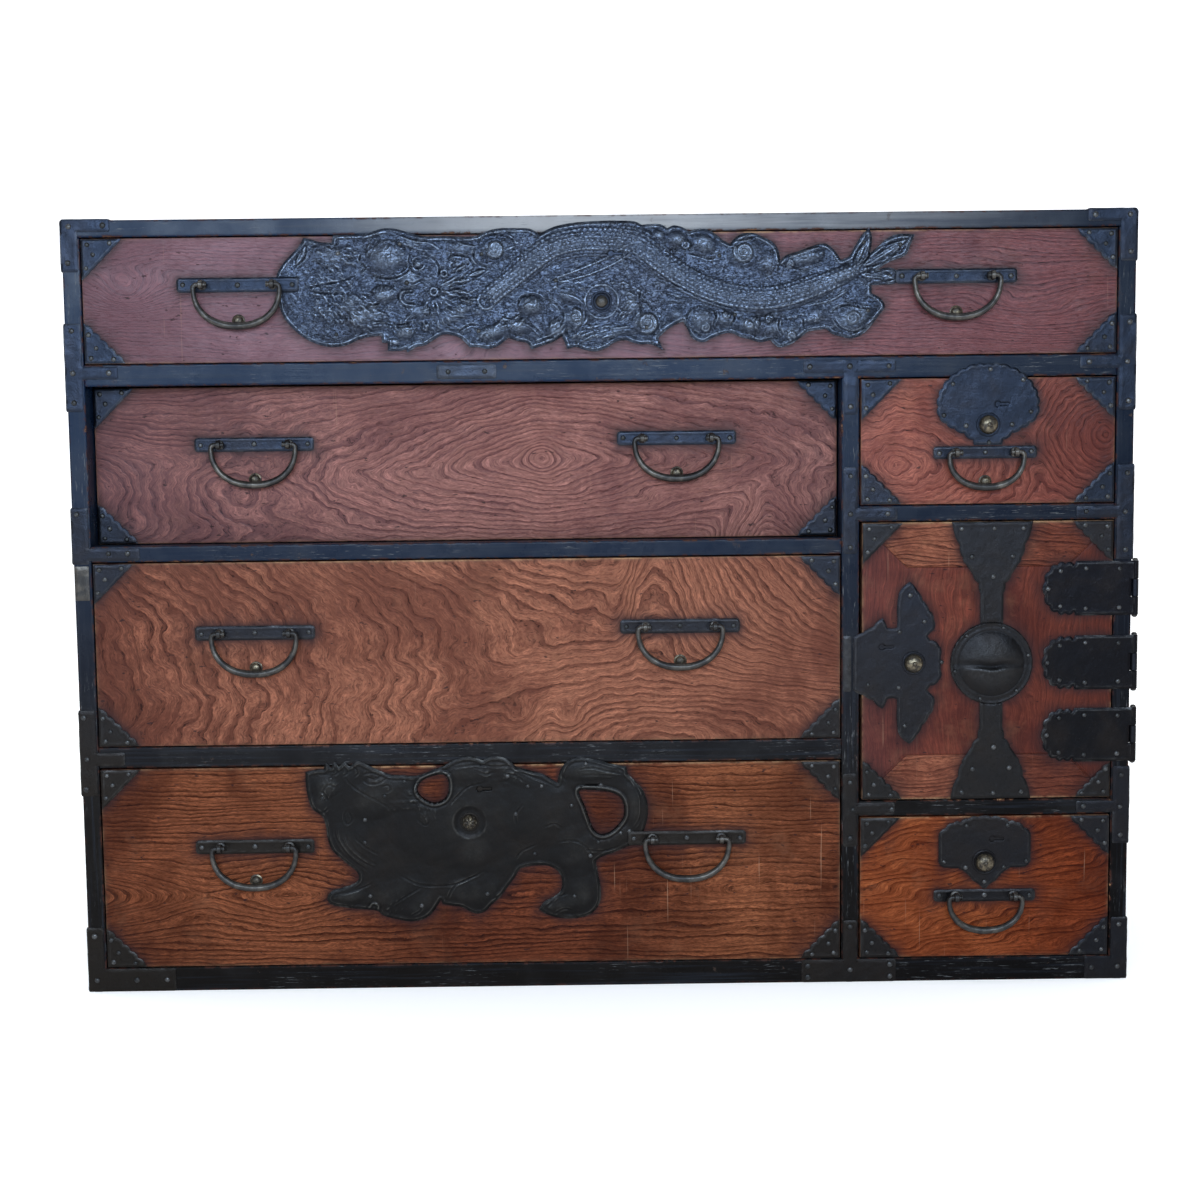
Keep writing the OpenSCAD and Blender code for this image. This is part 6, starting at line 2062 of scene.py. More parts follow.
class LockShape(Enum):
    """Half outlines of the small lock plates, each point with the swell of its arc."""

    DOME = (
        (16, -23, 0), (17, -17, 2), (27, -9.5, 2), (38, -4, 2), (47, 1.5, 2), (55, 9, 2.2), (56.5, 21, 2.2),
        (55.5, 32, 2.2), (51, 42, 2.2), (44.5, 51, 2.2), (36, 58, 2.2), (25.5, 63.5, 2.2), (13, 67, 1.8),
        (5, 68, 1.0))
    FAN = (
        (2, -31, -1), (13, -22, -1), (26, -9, 0), (30, -7, 0), (47, -6, 1), (53, 1, 0), (53, 31, 2),
        (45, 40, 2), (36, 46, 1.6), (28, 47, 1.6), (19, 51, 1.6), (8, 53, 1.6))
    BUTTERFLY = (
        (31, 8, 2), (29, 20, 2), (19, 26, 0), (16, 31, -0.5), (23, 38, 1.5), (23, 50, 1.5), (18, 60, 1.2),
        (10, 72, 1), (4, 83, 1), (-4.5, 93, 1.5), (-17, 80, 0.5), (-19, 58, -0.5), (-19, 41, -1),
        (-30, 41, 0.5), (-35, 52, 1.5), (-46, 42, 1), (-57, 36, 1), (-69, 30, 0))

    def outline(self, x: float, z: float) -> Array:
        """The whole outline round a button."""
        loop = arc_outline(mirrored([list(p) for p in self.value], self is not LockShape.BUTTERFLY), 6)
        return loop + np.array([x, z])


def plain_plate(outline: Array, holes: Sequence[Array], seed: int) -> Sheet:
    """A flat lock plate with a faint raised line inside its rim."""
    return Sheet([outline], holes, step=1.6).hammer(seed, 0.16, 26, (0.4, 1.2), (0.35, 2.8, 1.1))


# --------------------------------------------------------------------------- embossed work

@dataclass
class Relief:
    """Embossed and chased work on a sheet of iron; heights in millimetres."""

    sheet: Sheet

    def _about(self, x: float, z: float, reach: float) -> tuple:
        """Window round a point and the distances from it there."""
        w = self.sheet._window(x - reach, x + reach, z - reach, z + reach)
        return w, self.sheet.x[w] - x, self.sheet.z[w] - z

    def dome(self, x: float, z: float, rx: float, rz: float, h: float, turn: float = 0.0,
             power: float = 1.2) -> None:
        """Raises an oval dome, turned by so many degrees."""
        w, gx, gz = self._about(x, z, max(rx, rz))
        c, s = math.cos(math.radians(turn)), math.sin(math.radians(turn))
        d = ((gx * c + gz * s) / rx) ** 2 + ((gz * c - gx * s) / rz) ** 2
        self.sheet.height[w] += h * np.clip(1 - d, 0, 1) ** power

    def stroke(self, points: Sequence[Point], h: float, width: float, taper: float = 0.3) -> None:
        """Raises a tapering ridge along a curve, or cuts a groove if h is below 0."""
        w, d, run, length = self.sheet.along(open_curve(points), 2.6 * width)
        t = run / max(length, 1e-6)
        ends = np.clip(np.minimum(t, 1 - t) / taper, 0, 1) ** 0.6 if taper else 1.0
        self.sheet.height[w] += h * ends * bell(d, width)

    def chase(self, points: Sequence[Point], h: float = 0.8, width: float = 0.9, taper: float = 0.15) -> None:
        """Cuts a line with raised shoulders."""
        w, d, run, length = self.sheet.along(open_curve(points), 5.5 * width)
        t = run / max(length, 1e-6)
        ends = np.clip(np.minimum(t, 1 - t) / taper, 0, 1) ** 0.6 if taper else 1.0
        self.sheet.height[w] += ends * (0.55 * h * bell(np.abs(d) - 2.1 * width, 1.1 * width)
                                        - h * bell(d, width))

    def cord(self, points: Sequence[Point], h: float = 0.8, width: float = 1.2) -> None:
        """Raises a line with a groove on either side."""
        w, d, _, _ = self.sheet.along(open_curve(points), 6 * width)
        self.sheet.height[w] += h * bell(d, width) - 0.6 * h * bell(np.abs(d) - 2.2 * width, width)

    def spiral(self, x: float, z: float, r: float, turns: float, h: float = 0.9, start: float = 0.0,
               way: int = 1) -> None:
        """Raises a volute from its outer end to the middle."""
        t = np.linspace(0, 1, max(14, int(turns * 16)))
        a = math.radians(start) + way * 2 * math.pi * turns * t
        radius = r * (1 - 0.92 * t)
        points = np.stack([x + radius * np.cos(a), z + radius * np.sin(a)], 1)
        self.cord(points, h, min(1.3, 0.24 * r / max(turns, 1) + 0.35))

    def ring(self, x: float, z: float, r: float, h: float = 0.9, width: float = 1.0) -> None:
        """Raises a ring."""
        w, gx, gz = self._about(x, z, r + 4 * width)
        d = np.hypot(gx, gz) - r
        self.sheet.height[w] += h * bell(d, width) - 0.5 * h * bell(np.abs(d) - 2.1 * width, width)

    def fur(self, x: float, z: float, rx: float, rz: float, angles: tuple[float, float], long: float,
            gap: float, h: float, seed: int, bend: float = 0.25) -> None:
        """Covers an oval with short curved tufts.

        Args:
            x: Middle of the oval.
            z: Middle of the oval.
            rx: Half its width.
            rz: Half its height.
            angles: Direction of the tufts at its left and right ends, in degrees.
            long: Length of a tuft.
            gap: Distance between tufts.
            h: Their height.
            seed: Seed of their scatter.
            bend: How much a tuft curves.
        """
        rng = np.random.default_rng(seed)
        row = 0
        v = -rz
        while v <= rz:
            u = -rx + (row % 2) * gap * 0.5
            while u <= rx:
                a, b, k = rng.uniform(-0.22, 0.22, 3)
                if (u / rx) ** 2 + (v / rz) ** 2 <= 1:
                    angle = math.radians(angles[0] + (angles[1] - angles[0]) * (u / rx + 1) / 2 + 34 * k)
                    d = np.array([math.cos(angle), math.sin(angle)])
                    n = np.array([-d[1], d[0]])
                    p = np.array([x + u + a * gap, z + v + b * gap])
                    size = long * (1 + k)
                    tuft = [p, p + 0.5 * size * d + bend * size * n * 0.6, p + size * d]
                    self.stroke(tuft, h * (1 + 2 * b), 0.26 * gap + 0.2, 0.35)
                u += gap
            v += gap * 0.82
            row += 1

    def tufted(self, row: Sequence[float], seed: int) -> None:
        """Covers the oval of a table's row with fur."""
        x, z, rx, rz, first, last, long, gap, h, *bend = row
        self.fur(x, z, rx, rz, (first, last), long, gap, h, seed, *bend)

    def rays(self, x: float, z: float, near: float, far: float, angles: tuple[float, float],
             count: int, h: float, curl: float = 0.0, seed: int = 1) -> None:
        """Raises a fan of wavy locks round a point."""
        rng = np.random.default_rng(seed)
        for k in range(count):
            a = math.radians(angles[0] + (angles[1] - angles[0]) * k / max(count - 1, 1))
            j = rng.uniform(-1, 1, 3)
            stop = far * (1 + 0.14 * j[0])
            line = []
            for t in (0, 0.33, 0.66, 1):
                turn = a + curl * t * t + 0.08 * j[1] * math.sin(t * 6) + 0.05 * j[2]
                r = near + (stop - near) * t
                line.append([x + r * math.cos(turn), z + r * math.sin(turn)])
            self.stroke(line, h, 0.9 + 0.25 * j[2], 0.3)

    def pebbles(self, window: tuple, run: Array, across: Array, pitch: float, share: Array, h: float) -> None:
        """Covers part of a body with rows of scales."""
        v = across / (0.8 * pitch)
        row = np.round(v)
        u = run / pitch - 0.5 * np.mod(row, 2)
        fu, fv = u - np.round(u), v - row
        scale = np.clip(1 - 3.1 * (fu**2 + fv**2), 0, 1) ** 0.7 + 0.35 * np.clip(fu, -0.5, 0.5)
        self.sheet.height[window] += h * share * (scale - 0.35)

    def body(self, points: Sequence[Point], width: Callable[[Array], Array], h: float, pitch: float,
             belly: float,
             full: float = 0.8) -> None:
        """Raises a scaly body.

        Args:
            points: Its middle line, from the left.
            width: Half its width from how far along the line a point is, 0 to 1.
            h: Its height.
            pitch: Length of a scale.
            belly: How far below the middle line the smooth belly starts.
            full: How square its section is.
        """
        w, d, run, length = self.sheet.along(open_curve(points), 30.0)
        t = run / length
        half = width(t)
        ends = np.clip(np.minimum(t, 1 - t) / 0.03, 0, 1) ** 0.5
        section = np.clip(1 - (d / half) ** 2, 0, 1)
        self.sheet.height[w] = np.maximum(self.sheet.height[w], IRON + h * ends * section ** full)
        inside = smoothstep(0.05, 0.35, section)
        self.pebbles(w, run, d, pitch, inside * smoothstep(belly - 0.8, belly + 0.8, d), 0.85)
        folds = np.sin(2 * math.pi * d / 3.4)
        self.sheet.height[w] += inside * 0.35 * smoothstep(belly + 0.5, belly - 1.5, d) * folds
        self.sheet.height[w] += inside * 0.4 * bell(d - belly, 1.1)

    def finish(self, bead: float, low: float = 0.9, cap: Callable[[Array], Array] | None = None) -> Sheet:
        """Brings the work down to the rim, adds a bead along it and keeps within the allowed height."""
        s = self.sheet
        lift = (s.height - IRON) * smoothstep(0.0, 4.5, s.edge)
        lift += bead * (bell(s.edge - 3.3, 1.0) - 0.4 * bell(s.edge - 5.6, 1.0)) - 0.35 * bell(s.edge, 1.0)
        lift += 0.12 * ripple(601, s.x, s.z, 18)
        s.height = np.maximum(IRON + lift, low)
        if cap is not None:
            s.height = np.minimum(s.height, cap(s.x))
        return s


@dataclass
class Dragon:
    """The embossed dragon of the top drawer, its head at the left.

    Attributes:
        spine: Middle line of the body.
        clouds: Volutes: middle, radius, turns, start angle and way.
        lumps: Domes: middle, radii, height and turn.
        lines: Chased lines.
        cords: Raised lines.
        tufts: Fur: middle, half sizes, angles at its ends, length, spacing, height and any bend.
        mane: Fans of locks: near and far end, first and last angle, count, height and curl.
        leaves: Pointed leaves from base to tip, with their widths.
        nails: Where nails stand.
    """

    spine: tuple[Point, ...] = (
        (-128, 786), (-118, 796), (-103, 807), (-79, 826), (-54, 843), (-28, 850), (0, 851), (40, 846),
        (70, 824), (101, 804), (132, 791), (170, 784), (203, 786), (232, 795), (258, 805), (278, 813),
        (292, 818))
    clouds: Rows = (
        (-117, 843, 9, 2.6, 200, 1), (160, 837, 11, 2.2, 150, 1), (211, 823, 4.5, 1.5, 90, -1),
        (282, 762, 7, 1.8, 20, 1), (52, 760, 11, 2.3, 240, 1), (116.5, 754, 5, 1.6, 60, -1),
        (-203, 828, 4.6, 1.6, 0, 1), (166, 757, 5, 1.3, 120, 1), (214, 744, 5, 1.4, 250, -1),
        (188, 762, 4, 1.2, 30, 1), (-28, 768, 7, 1.4, 100, -1), (96, 846, 4.5, 1.3, 200, 1),
        (140, 768, 4, 1.2, 0, -1), (-196, 757, 4, 1.3, 40, 1))
    lumps: Rows = (
        (-238, 834, 27, 22, 1.9, 0), (-300, 838, 24, 14, 0.9, -10), (-243, 794, 17, 11, 1.8, 8),
        (-266, 776, 34, 22, 1.4, -35), (-215, 812, 16, 12, 1.2, 0), (-205, 776, 14, 9, 1.0, 0),
        (-219, 753, 11, 9, 1.6, 20), (-232, 742, 8, 5, 1.0, 0), (-166, 772, 22, 10, 1.0, 20),
        (-117, 843, 20, 14, 1.6, 0), (-78, 780, 16, 11, 1.9, 0), (-120, 752, 22, 9, 1.6, 10),
        (-92, 756, 16, 9, 1.3, 15), (-28, 766, 17, 15, 1.9, 0), (-50, 752, 13, 12, 1.3, 40),
        (-36, 790, 18, 8, 1.2, -20), (2, 785, 26, 20, 0.9, 0), (34, 782, 12, 16, 1.2, 20),
        (52, 760, 19, 15, 1.8, 0), (24, 752, 20, 9, 1.0, 10), (86, 768, 14, 9, 1.2, -30),
        (112, 762, 19, 17, 1.8, 0), (137, 764, 12, 10, 1.4, 0), (166, 757, 17, 12, 1.8, -10),
        (192, 752, 16, 12, 1.4, 10), (214, 747, 15, 13, 1.5, 0), (240, 766, 16, 9, 1.0, 15),
        (282, 762, 27, 17, 1.7, 12), (86, 852, 13, 10, 1.5, -10), (116, 847, 16, 13, 1.7, -20),
        (160, 837, 22, 18, 1.7, 0), (188, 826, 15, 14, 1.1, 0), (226, 831, 26, 11, 1.7, 12),
        (66, 856, 9, 7, 1.0, 0), (-155, 845, 18, 8, 0.9, -15), (-215, 853, 16, 5, 1.0, -20))
    lines: Lines = (
        ((-328, 856), (-321, 848), (-312, 850), (-299, 848)), ((-329, 802), (-310, 806), (-287, 810),
        (-274, 816)), ((-327, 799), (-312, 797), (-285, 796)), ((-265, 842), (-268, 832), (-262, 824),
        (-270, 817)), ((-262, 818), (-240, 812), (-222, 815), (-211, 826), (-213, 842)), ((-259, 764),
        (-240, 765), (-226, 761), (-212, 763)), ((-259, 761), (-240, 762), (-226, 758), (-212, 760)),
        ((-206, 797), (-218, 796), (-221, 790), (-216, 785), (-206, 784)), ((-206, 800), (-222, 799),
        (-226, 790), (-219, 781), (-206, 780)), ((-268, 792), (-262, 785), (-252, 783), (-246, 786)),
        ((-207, 840), (-190, 836.5), (-180, 824.5), (-181, 812)), ((-212, 838), (-213, 828), (-208, 819),
        (-196, 815)), ((-218, 809), (-209, 806), (-199, 810), (-190, 806)), ((-169, 833), (-164, 837),
        (-149, 835), (-144, 830), (-139, 823)), ((-169, 833), (-162, 829), (-166, 825), (-155, 824)),
        ((-139, 823), (-150, 816), (-158, 808)), ((-137, 850), (-127, 858), (-110, 859), (-98, 853),
        (-94, 846)), ((-139, 846), (-141, 835), (-133, 826), (-118, 822)), ((-47, 795.5), (-28, 791),
        (-18, 781), (-17, 766), (-24, 755)), ((-62, 788), (-50, 782), (-42, 770), (-44, 758)), ((-94, 780),
        (-88, 790), (-72, 792), (-62, 784)), ((-98, 764), (-84, 762), (-70, 752), (-66, 744)), ((-134, 744),
        (-128, 750), (-122, 744)), ((-160, 752), (-146, 760), (-136, 758)), ((-9, 806), (-4, 792), (4, 783)),
        ((18, 800), (14, 786), (22, 776), (34, 772)), ((46, 798), (44, 788), (54, 780), (60, 772)),
        ((144, 841), (151, 849), (162, 851), (174, 854), (187, 849), (197, 838), (200, 824), (198, 812)),
        ((62, 811), (86, 800), (110, 788), (136, 778), (162, 770)), ((100, 776), (96, 764), (101, 752),
        (112, 745)), ((126, 776), (129, 766), (126, 756), (132, 748)), ((146, 772), (150, 764), (146, 756),
        (152, 750)), ((176, 766), (172, 758), (180, 750)), ((200, 764), (199, 754), (205, 742)), ((226, 764),
        (228, 754), (234, 748)), ((259, 768), (266, 775), (280, 777), (292, 774), (306, 772)), ((259, 765),
        (268, 752), (282, 747), (296, 752), (308, 763)), ((204, 824), (212, 832), (228, 838), (243, 842),
        (253, 838)), ((208, 822), (220, 818), (234, 816)), ((70, 838), (82, 841), (92, 838)), ((98, 836),
        (108, 834), (122, 830), (130, 832)))
    cords: Lines = (
        ((-265, 856), (-244, 862), (-226, 860), (-208.5, 853), (-190, 850), (-180, 844)), ((-224, 852),
        (-206, 845), (-192, 842)), ((-164, 854), (-152, 848), (-139, 846)), ((-48, 811), (-20, 821), (9, 833),
        (30, 846)), ((-46, 806), (-16, 813), (12, 824), (34, 836)), ((-72, 742), (-56, 748), (-40, 759)),
        ((-37, 731), (-20, 741), (6, 752), (30, 756)), ((63, 738), (68, 746), (66, 754)), ((236, 778),
        (256, 782), (274, 792)))
    tufts: Rows = (
        (-305, 800, 22, 30, -52, -38, 9, 5.0, 0.75), (-296, 836, 26, 12, -28, -12, 9, 5.2, 0.6),
        (-290, 780, 34, 17, -48, -30, 9, 4.6, 0.85), (-262, 768, 22, 10, -45, -10, 7, 4.4, 0.7),
        (-240, 838, 21, 14, 70, 10, 6, 4.4, 0.55, 0.4), (-243, 795, 13, 8, 60, 20, 4, 3.8, 0.6),
        (-248, 776, 12, 8, 20, 60, 6, 4.2, 0.7), (-219, 753, 11, 7, 120, 40, 7, 4.0, 0.8),
        (-205, 850, 18, 5, -20, -30, 8, 4.4, 0.6), (-150, 778, 17, 10, -40, 20, 8, 4.4, 0.7),
        (-78, 781, 9, 6, 40, 70, 5, 3.8, 0.7), (-104, 758, 16, 6, 20, 40, 9, 4.4, 0.8),
        (-50, 753, 10, 10, 35, 60, 9, 4.2, 0.8), (-12, 746, 26, 8, 40, 15, 9, 4.2, 0.7),
        (20, 796, 22, 9, 30, -30, 7, 4.6, 0.6), (30, 768, 12, 14, 60, 20, 7, 4.4, 0.7),
        (-36, 800, 20, 6, 10, -20, 7, 4.4, 0.6), (84, 788, 18, 7, -30, -20, 8, 4.6, 0.55),
        (-95, 838, 10, 13, 30, 10, 5, 4.0, 0.5), (188, 816, 16, 8, 0, 20, 4, 4.2, 0.4),
        (52, 766, 14, 10, 80, 10, 4, 4.0, 0.45), (112, 766, 13, 9, 100, 20, 4, 4.0, 0.45),
        (205, 760, 40, 6, 20, 10, 6, 4.4, 0.5), (282, 764, 16, 8, 15, 0, 4, 4.4, 0.35),
        (228, 830, 20, 7, 20, 0, 5, 4.2, 0.45))
    mane: Rows = (
        (11, 33, -112, 22, 25, 0.95, 0.12), (33, 49, -104, -8, 19, 0.8, 0.15),
        (5, 15, -150, 10, 10, 0.8, 0.1))
    leaves: Rows = (
        (-150, 813, -125, 821, 3.6), (-168, 807, -140, 810, 3.0), (-168, 799, -143, 794, 3.2),
        (-164, 818, -146, 828, 2.6), (-160, 790, -140, 782, 2.8), (-66, 744, -36, 733, 5.0),
        (286, 819, 302, 853, 7.5), (290, 818, 346, 851, 8.5), (288, 811, 331, 806, 7.0),
        (282, 820, 296, 846, 4.0), (-340, 826, -326, 852, 4.5))
    nails: tuple[Point, ...] = (
        (-292, 840), (-223, 850), (-216, 807), (-296, 751), (-132, 838), (-137, 753), (-50, 808), (133, 833),
        (150, 768), (51, 755), (294, 846), (335, 843), (323, 809), (299, 771))

    def shape(self, outline: Array, holes: Sequence[Array]) -> Sheet:
        """Embosses the plate."""
        sheet = Sheet([outline], holes, step=1.15)
        sheet.height[:] = IRON + 0.5 * smoothstep(4, 16, sheet.edge)
        r = Relief(sheet)
        for x, z, rx, rz, h, turn in self.lumps:
            r.dome(x, z, rx, rz, 1.5 * h, turn)
        r.body(self.spine, self._half_width, 2.5, 5.4, -9.5, 1.0)
        for x, z, size, turns, start, way in self.clouds:
            r.spiral(x, z, size, turns, 0.95, start, int(way))
        for points in self.lines:
            r.chase(points, 0.8, 0.85)
        for points in self.cords:
            r.cord(points, 0.55, 1.0)
        for x0, z0, x1, z1, width in self.leaves:
            self._leaf(r, np.array([x0, z0]), np.array([x1, z1]), width)
        for seed, tuft in enumerate(self.tufts[:9], 1):
            r.tufted(tuft, seed)
        for seed, (near, far, *angles, count, h, curl) in enumerate(self.mane, 2):
            x, z = (-206, 775) if near < 10 else (-190, 799)
            r.rays(x, z, near, far, tuple(angles), count, h, curl, seed)
        for seed, tuft in enumerate(self.tufts[9:], 10):
            r.tufted(tuft, seed)
        r.ring(-174.5, 817, 3.4)
        r.ring(-186, 797, 4.0)
        r.ring(-26, 762, 3.0, 0.7)
        r.ring(-203, 828, 7.0, 0.7)
        r.dome(-203, 828, 3.2, 3.2, 1.3)
        r.dome(-219, 823, 8, 8, -1.0)
        x, z = sheet.x - TOP_BUTTON[0], sheet.z - TOP_BUTTON[1]
        flat = smoothstep(0, 5, np.maximum(np.abs(x) - 15.5, 0) + np.maximum(np.abs(z) - 15.5, 0))
        sheet.height = 2.0 + (sheet.height - 2.0) * flat + 0.7 * bell(np.hypot(x, z) - 18.5, 1.4)
        return r.finish(0.62, 0.9, lambda x: np.where((x < -343) | (x > 301), 3.0, 6.4))

    @staticmethod
    def _half_width(t: Array) -> Array:
        """Half the width of the body, from how far along it a place is."""
        width = 15.5 + 7.0 * bell(t - 0.34, 0.17) + 3.5 * bell(t - 0.72, 0.13)
        return width - 7.0 * smoothstep(0.86, 1, t) - 2.0 * smoothstep(0.14, 0, t)

    @staticmethod
    def _leaf(r: Relief, base: Array, tip: Array, width: float) -> None:
        """Raises a pointed leaf with a midrib and a cut outline."""
        d = tip - base
        n = np.array([-d[1], d[0]]) / max(np.hypot(*d), 1e-9)
        r.stroke([base, tip], 0.9, width * 0.55, 0.25)
        for side in (-1, 1):
            r.chase([base, base + 0.45 * d + side * width * n, tip], 0.8, 0.85, 0.05)
        r.chase([base + 0.05 * d, base + 0.9 * d], 0.55, 0.6, 0.2)
        for side in (-1, 1):
            vein = [base + along * d + side * across * width * n
                    for along, across in ((0.1, 0.25), (0.4, 0.5), (0.85, 0.06))]
            r.chase(vein, 0.35, 0.5, 0.2)


@dataclass
class Lion:
    """The low relief of a lion on the bottom drawer, its head turned up at the left.

    Attributes:
        lumps: Domes: middle, radii, height and turn.
        lines: Chased lines.
        cords: Raised lines.
        tufts: Fur: middle, half sizes, angles at its ends, length, spacing and height.
        nails: Where nails stand.
    """

    tufts: Rows = (
        (-215, 226, 22, 10, -15, 10, 8, 4.6, 0.3), (-208, 208, 12, 12, -50, -80, 7, 4.4, 0.35),
        (-236, 214, 20, 7, -30, 0, 8, 4.8, 0.3), (-124, 243, 20, 10, 40, 30, 7, 4.6, 0.25),
        (-318, 232, 12, 12, 80, 20, 5, 4.4, 0.35), (-250, 100, 20, 8, 200, 250, 8, 5.0, 0.3))
    lumps: Rows = (
        (-178, 192, 78, 52, 2.2, -6), (-78, 205, 60, 40, 1.9, -14), (-34, 160, 30, 34, 1.7, -50),
        (-28, 108, 22, 30, 1.4, 8), (-152, 152, 26, 22, 1.0, 30), (-262, 224, 40, 24, 1.6, 18),
        (-322, 238, 16, 14, 1.0, 0), (-330, 216, 14, 16, 1.0, 0), (-246, 112, 44, 16, 1.1, 22),
        (-214, 98, 30, 20, 1.3, 30), (-166, 108, 22, 24, 1.2, 60), (-138, 112, 20, 26, 1.0, 40),
        (-300, 108, 24, 10, 1.2, 8), (-18, 252, 36, 12, 1.3, 0), (32, 212, 13, 30, 1.2, 4),
        (10, 172, 24, 12, 0.9, 25), (-160, 250, 30, 14, 1.0, 0), (-100, 250, 30, 14, 0.9, -20),
        (-54, 96, 20, 12, 1.1, 20), (-300, 170, 26, 30, 0.8, -50))
    lines: Lines = (
        ((-312, 193), (-311, 180), (-303, 165), (-292, 152), (-272, 137)), ((-306, 190), (-304, 176),
        (-294, 161), (-280, 150), (-267, 142)), ((-300, 184), (-295, 170), (-284, 158), (-270, 147)),
        ((-296, 176), (-288, 164), (-276, 154), (-264, 145)), ((-290, 179), (-277, 167), (-262, 158)),
        ((-297, 212), (-301, 204), (-298, 194), (-292, 200), (-297, 212)), ((-318, 222), (-324, 232),
        (-318, 240), (-308, 236)), ((-330, 234), (-322, 229), (-318, 220)), ((-334, 214), (-326, 208),
        (-318, 214)), ((-278, 252), (-268, 253), (-257, 250)), ((-280, 246), (-272, 241), (-262, 241),
        (-252, 246)), ((-274, 249), (-266, 246), (-258, 249)), ((-257, 237), (-250, 239), (-247, 233),
        (-253, 231)), ((-300, 250), (-290, 238), (-272, 226), (-262, 221), (-246, 211)), ((-290, 262),
        (-284, 254), (-290, 248)), ((-300, 262), (-296, 254), (-302, 250)), ((-312, 262), (-307, 255),
        (-313, 250)), ((-222, 240), (-206, 243), (-190, 246), (-176, 254)), ((-182, 213), (-172, 224),
        (-158, 236), (-140, 240)), ((-218, 200), (-208, 192), (-202, 198)), ((-176, 258), (-150, 261),
        (-128, 259), (-110, 259), (-96, 252), (-76, 243), (-58, 236)), ((-148, 254), (-138, 250),
        (-130, 252)), ((-120, 252), (-104, 248), (-92, 240)), ((-96, 215), (-104, 204), (-103, 190)),
        ((-72, 188), (-60, 192), (-50, 186)), ((-58, 170), (-40, 172), (-26, 166), (-16, 154)), ((-24, 161),
        (-6, 159), (8, 162), (19, 166)), ((-30, 247.5), (-10, 248), (11, 246.5)), ((-32, 254), (-16, 256),
        (2, 252), (22, 248)), ((-32, 235), (-18, 236.5), (-6, 236)), ((-48, 258), (-50, 248), (-44, 240)),
        ((-4, 260), (12, 256), (26, 246), (36, 230), (40, 214), (38, 196), (30, 184)), ((-70, 94), (-60, 104),
        (-46, 110)), ((-62, 86), (-50, 92), (-40, 90)), ((-186, 102), (-176, 120), (-160, 128), (-146, 134)),
        ((-134, 104), (-124, 109), (-114, 114)), ((-249, 98), (-232, 109), (-215, 119)), ((-306, 112),
        (-288, 117), (-270, 125)), ((-240, 134), (-214, 122), (-184, 121), (-166, 126), (-140, 138)),
        ((-226, 86), (-216, 92), (-214, 100)), ((-204, 80), (-200, 88)), ((-314, 100), (-306, 98)),
        ((-296, 95), (-290, 100)), ((-80, 168), (-98, 160), (-106, 150)))
    cords: Lines = (
        ((-275, 96), (-270, 101), (-264, 98), (-266, 91), (-272, 89), (-276, 84)),)
    nails: tuple[Point, ...] = (
        (-315, 247), (-325, 225), (-254, 227), (-231, 243), (-277, 199), (-278, 173), (-113, 248), (-90, 236),
        (-74, 236), (-40, 213), (-23, 261), (-6, 236), (-83, 157), (-104, 204), (-273, 110), (-214, 98),
        (-138, 111), (-38, 107), (-10, 170), (16, 180), (26, 182), (-19, 154))

    def shape(self, outline: Array, neck: Array, tail: Array, holes: Sequence[Array]) -> Sheet:
        """Embosses the plate."""
        sheet = Sheet([outline], [neck, tail, *holes], step=1.3)
        sheet.height[:] = IRON + 0.5 * smoothstep(2, 14, sheet.edge)
        r = Relief(sheet)
        for x, z, rx, rz, h, turn in self.lumps:
            r.dome(x, z, rx, rz, h, turn, 1.0)
        for points in self.lines:
            r.chase(points, 0.5, 0.8)
        for points in self.cords:
            r.cord(points, 0.9, 1.1)
        for seed, tuft in enumerate(self.tufts, 31):
            r.tufted(tuft, seed)
        for loop, gap in ((neck, 3.2), (tail, 3.6)):
            ring = np.vstack([loop, loop[:1]])
            w, d, _, _ = sheet.along(ring, 9.0)
            sheet.height[w] += 0.75 * bell(np.abs(d) - gap, 1.1) - 0.55 * bell(np.abs(d) - gap - 2.7, 1.1)
        flat = smoothstep(14, 20, np.hypot(sheet.x - BOTTOM_BUTTON[0], sheet.z - BOTTOM_BUTTON[1]))
        sheet.height = 2.4 + (sheet.height - 2.4) * flat
        return r.finish(0.45, 0.9, lambda x: np.where(x > 40, 2.2, 6.0))


# --------------------------------------------------------------------------- room and camera

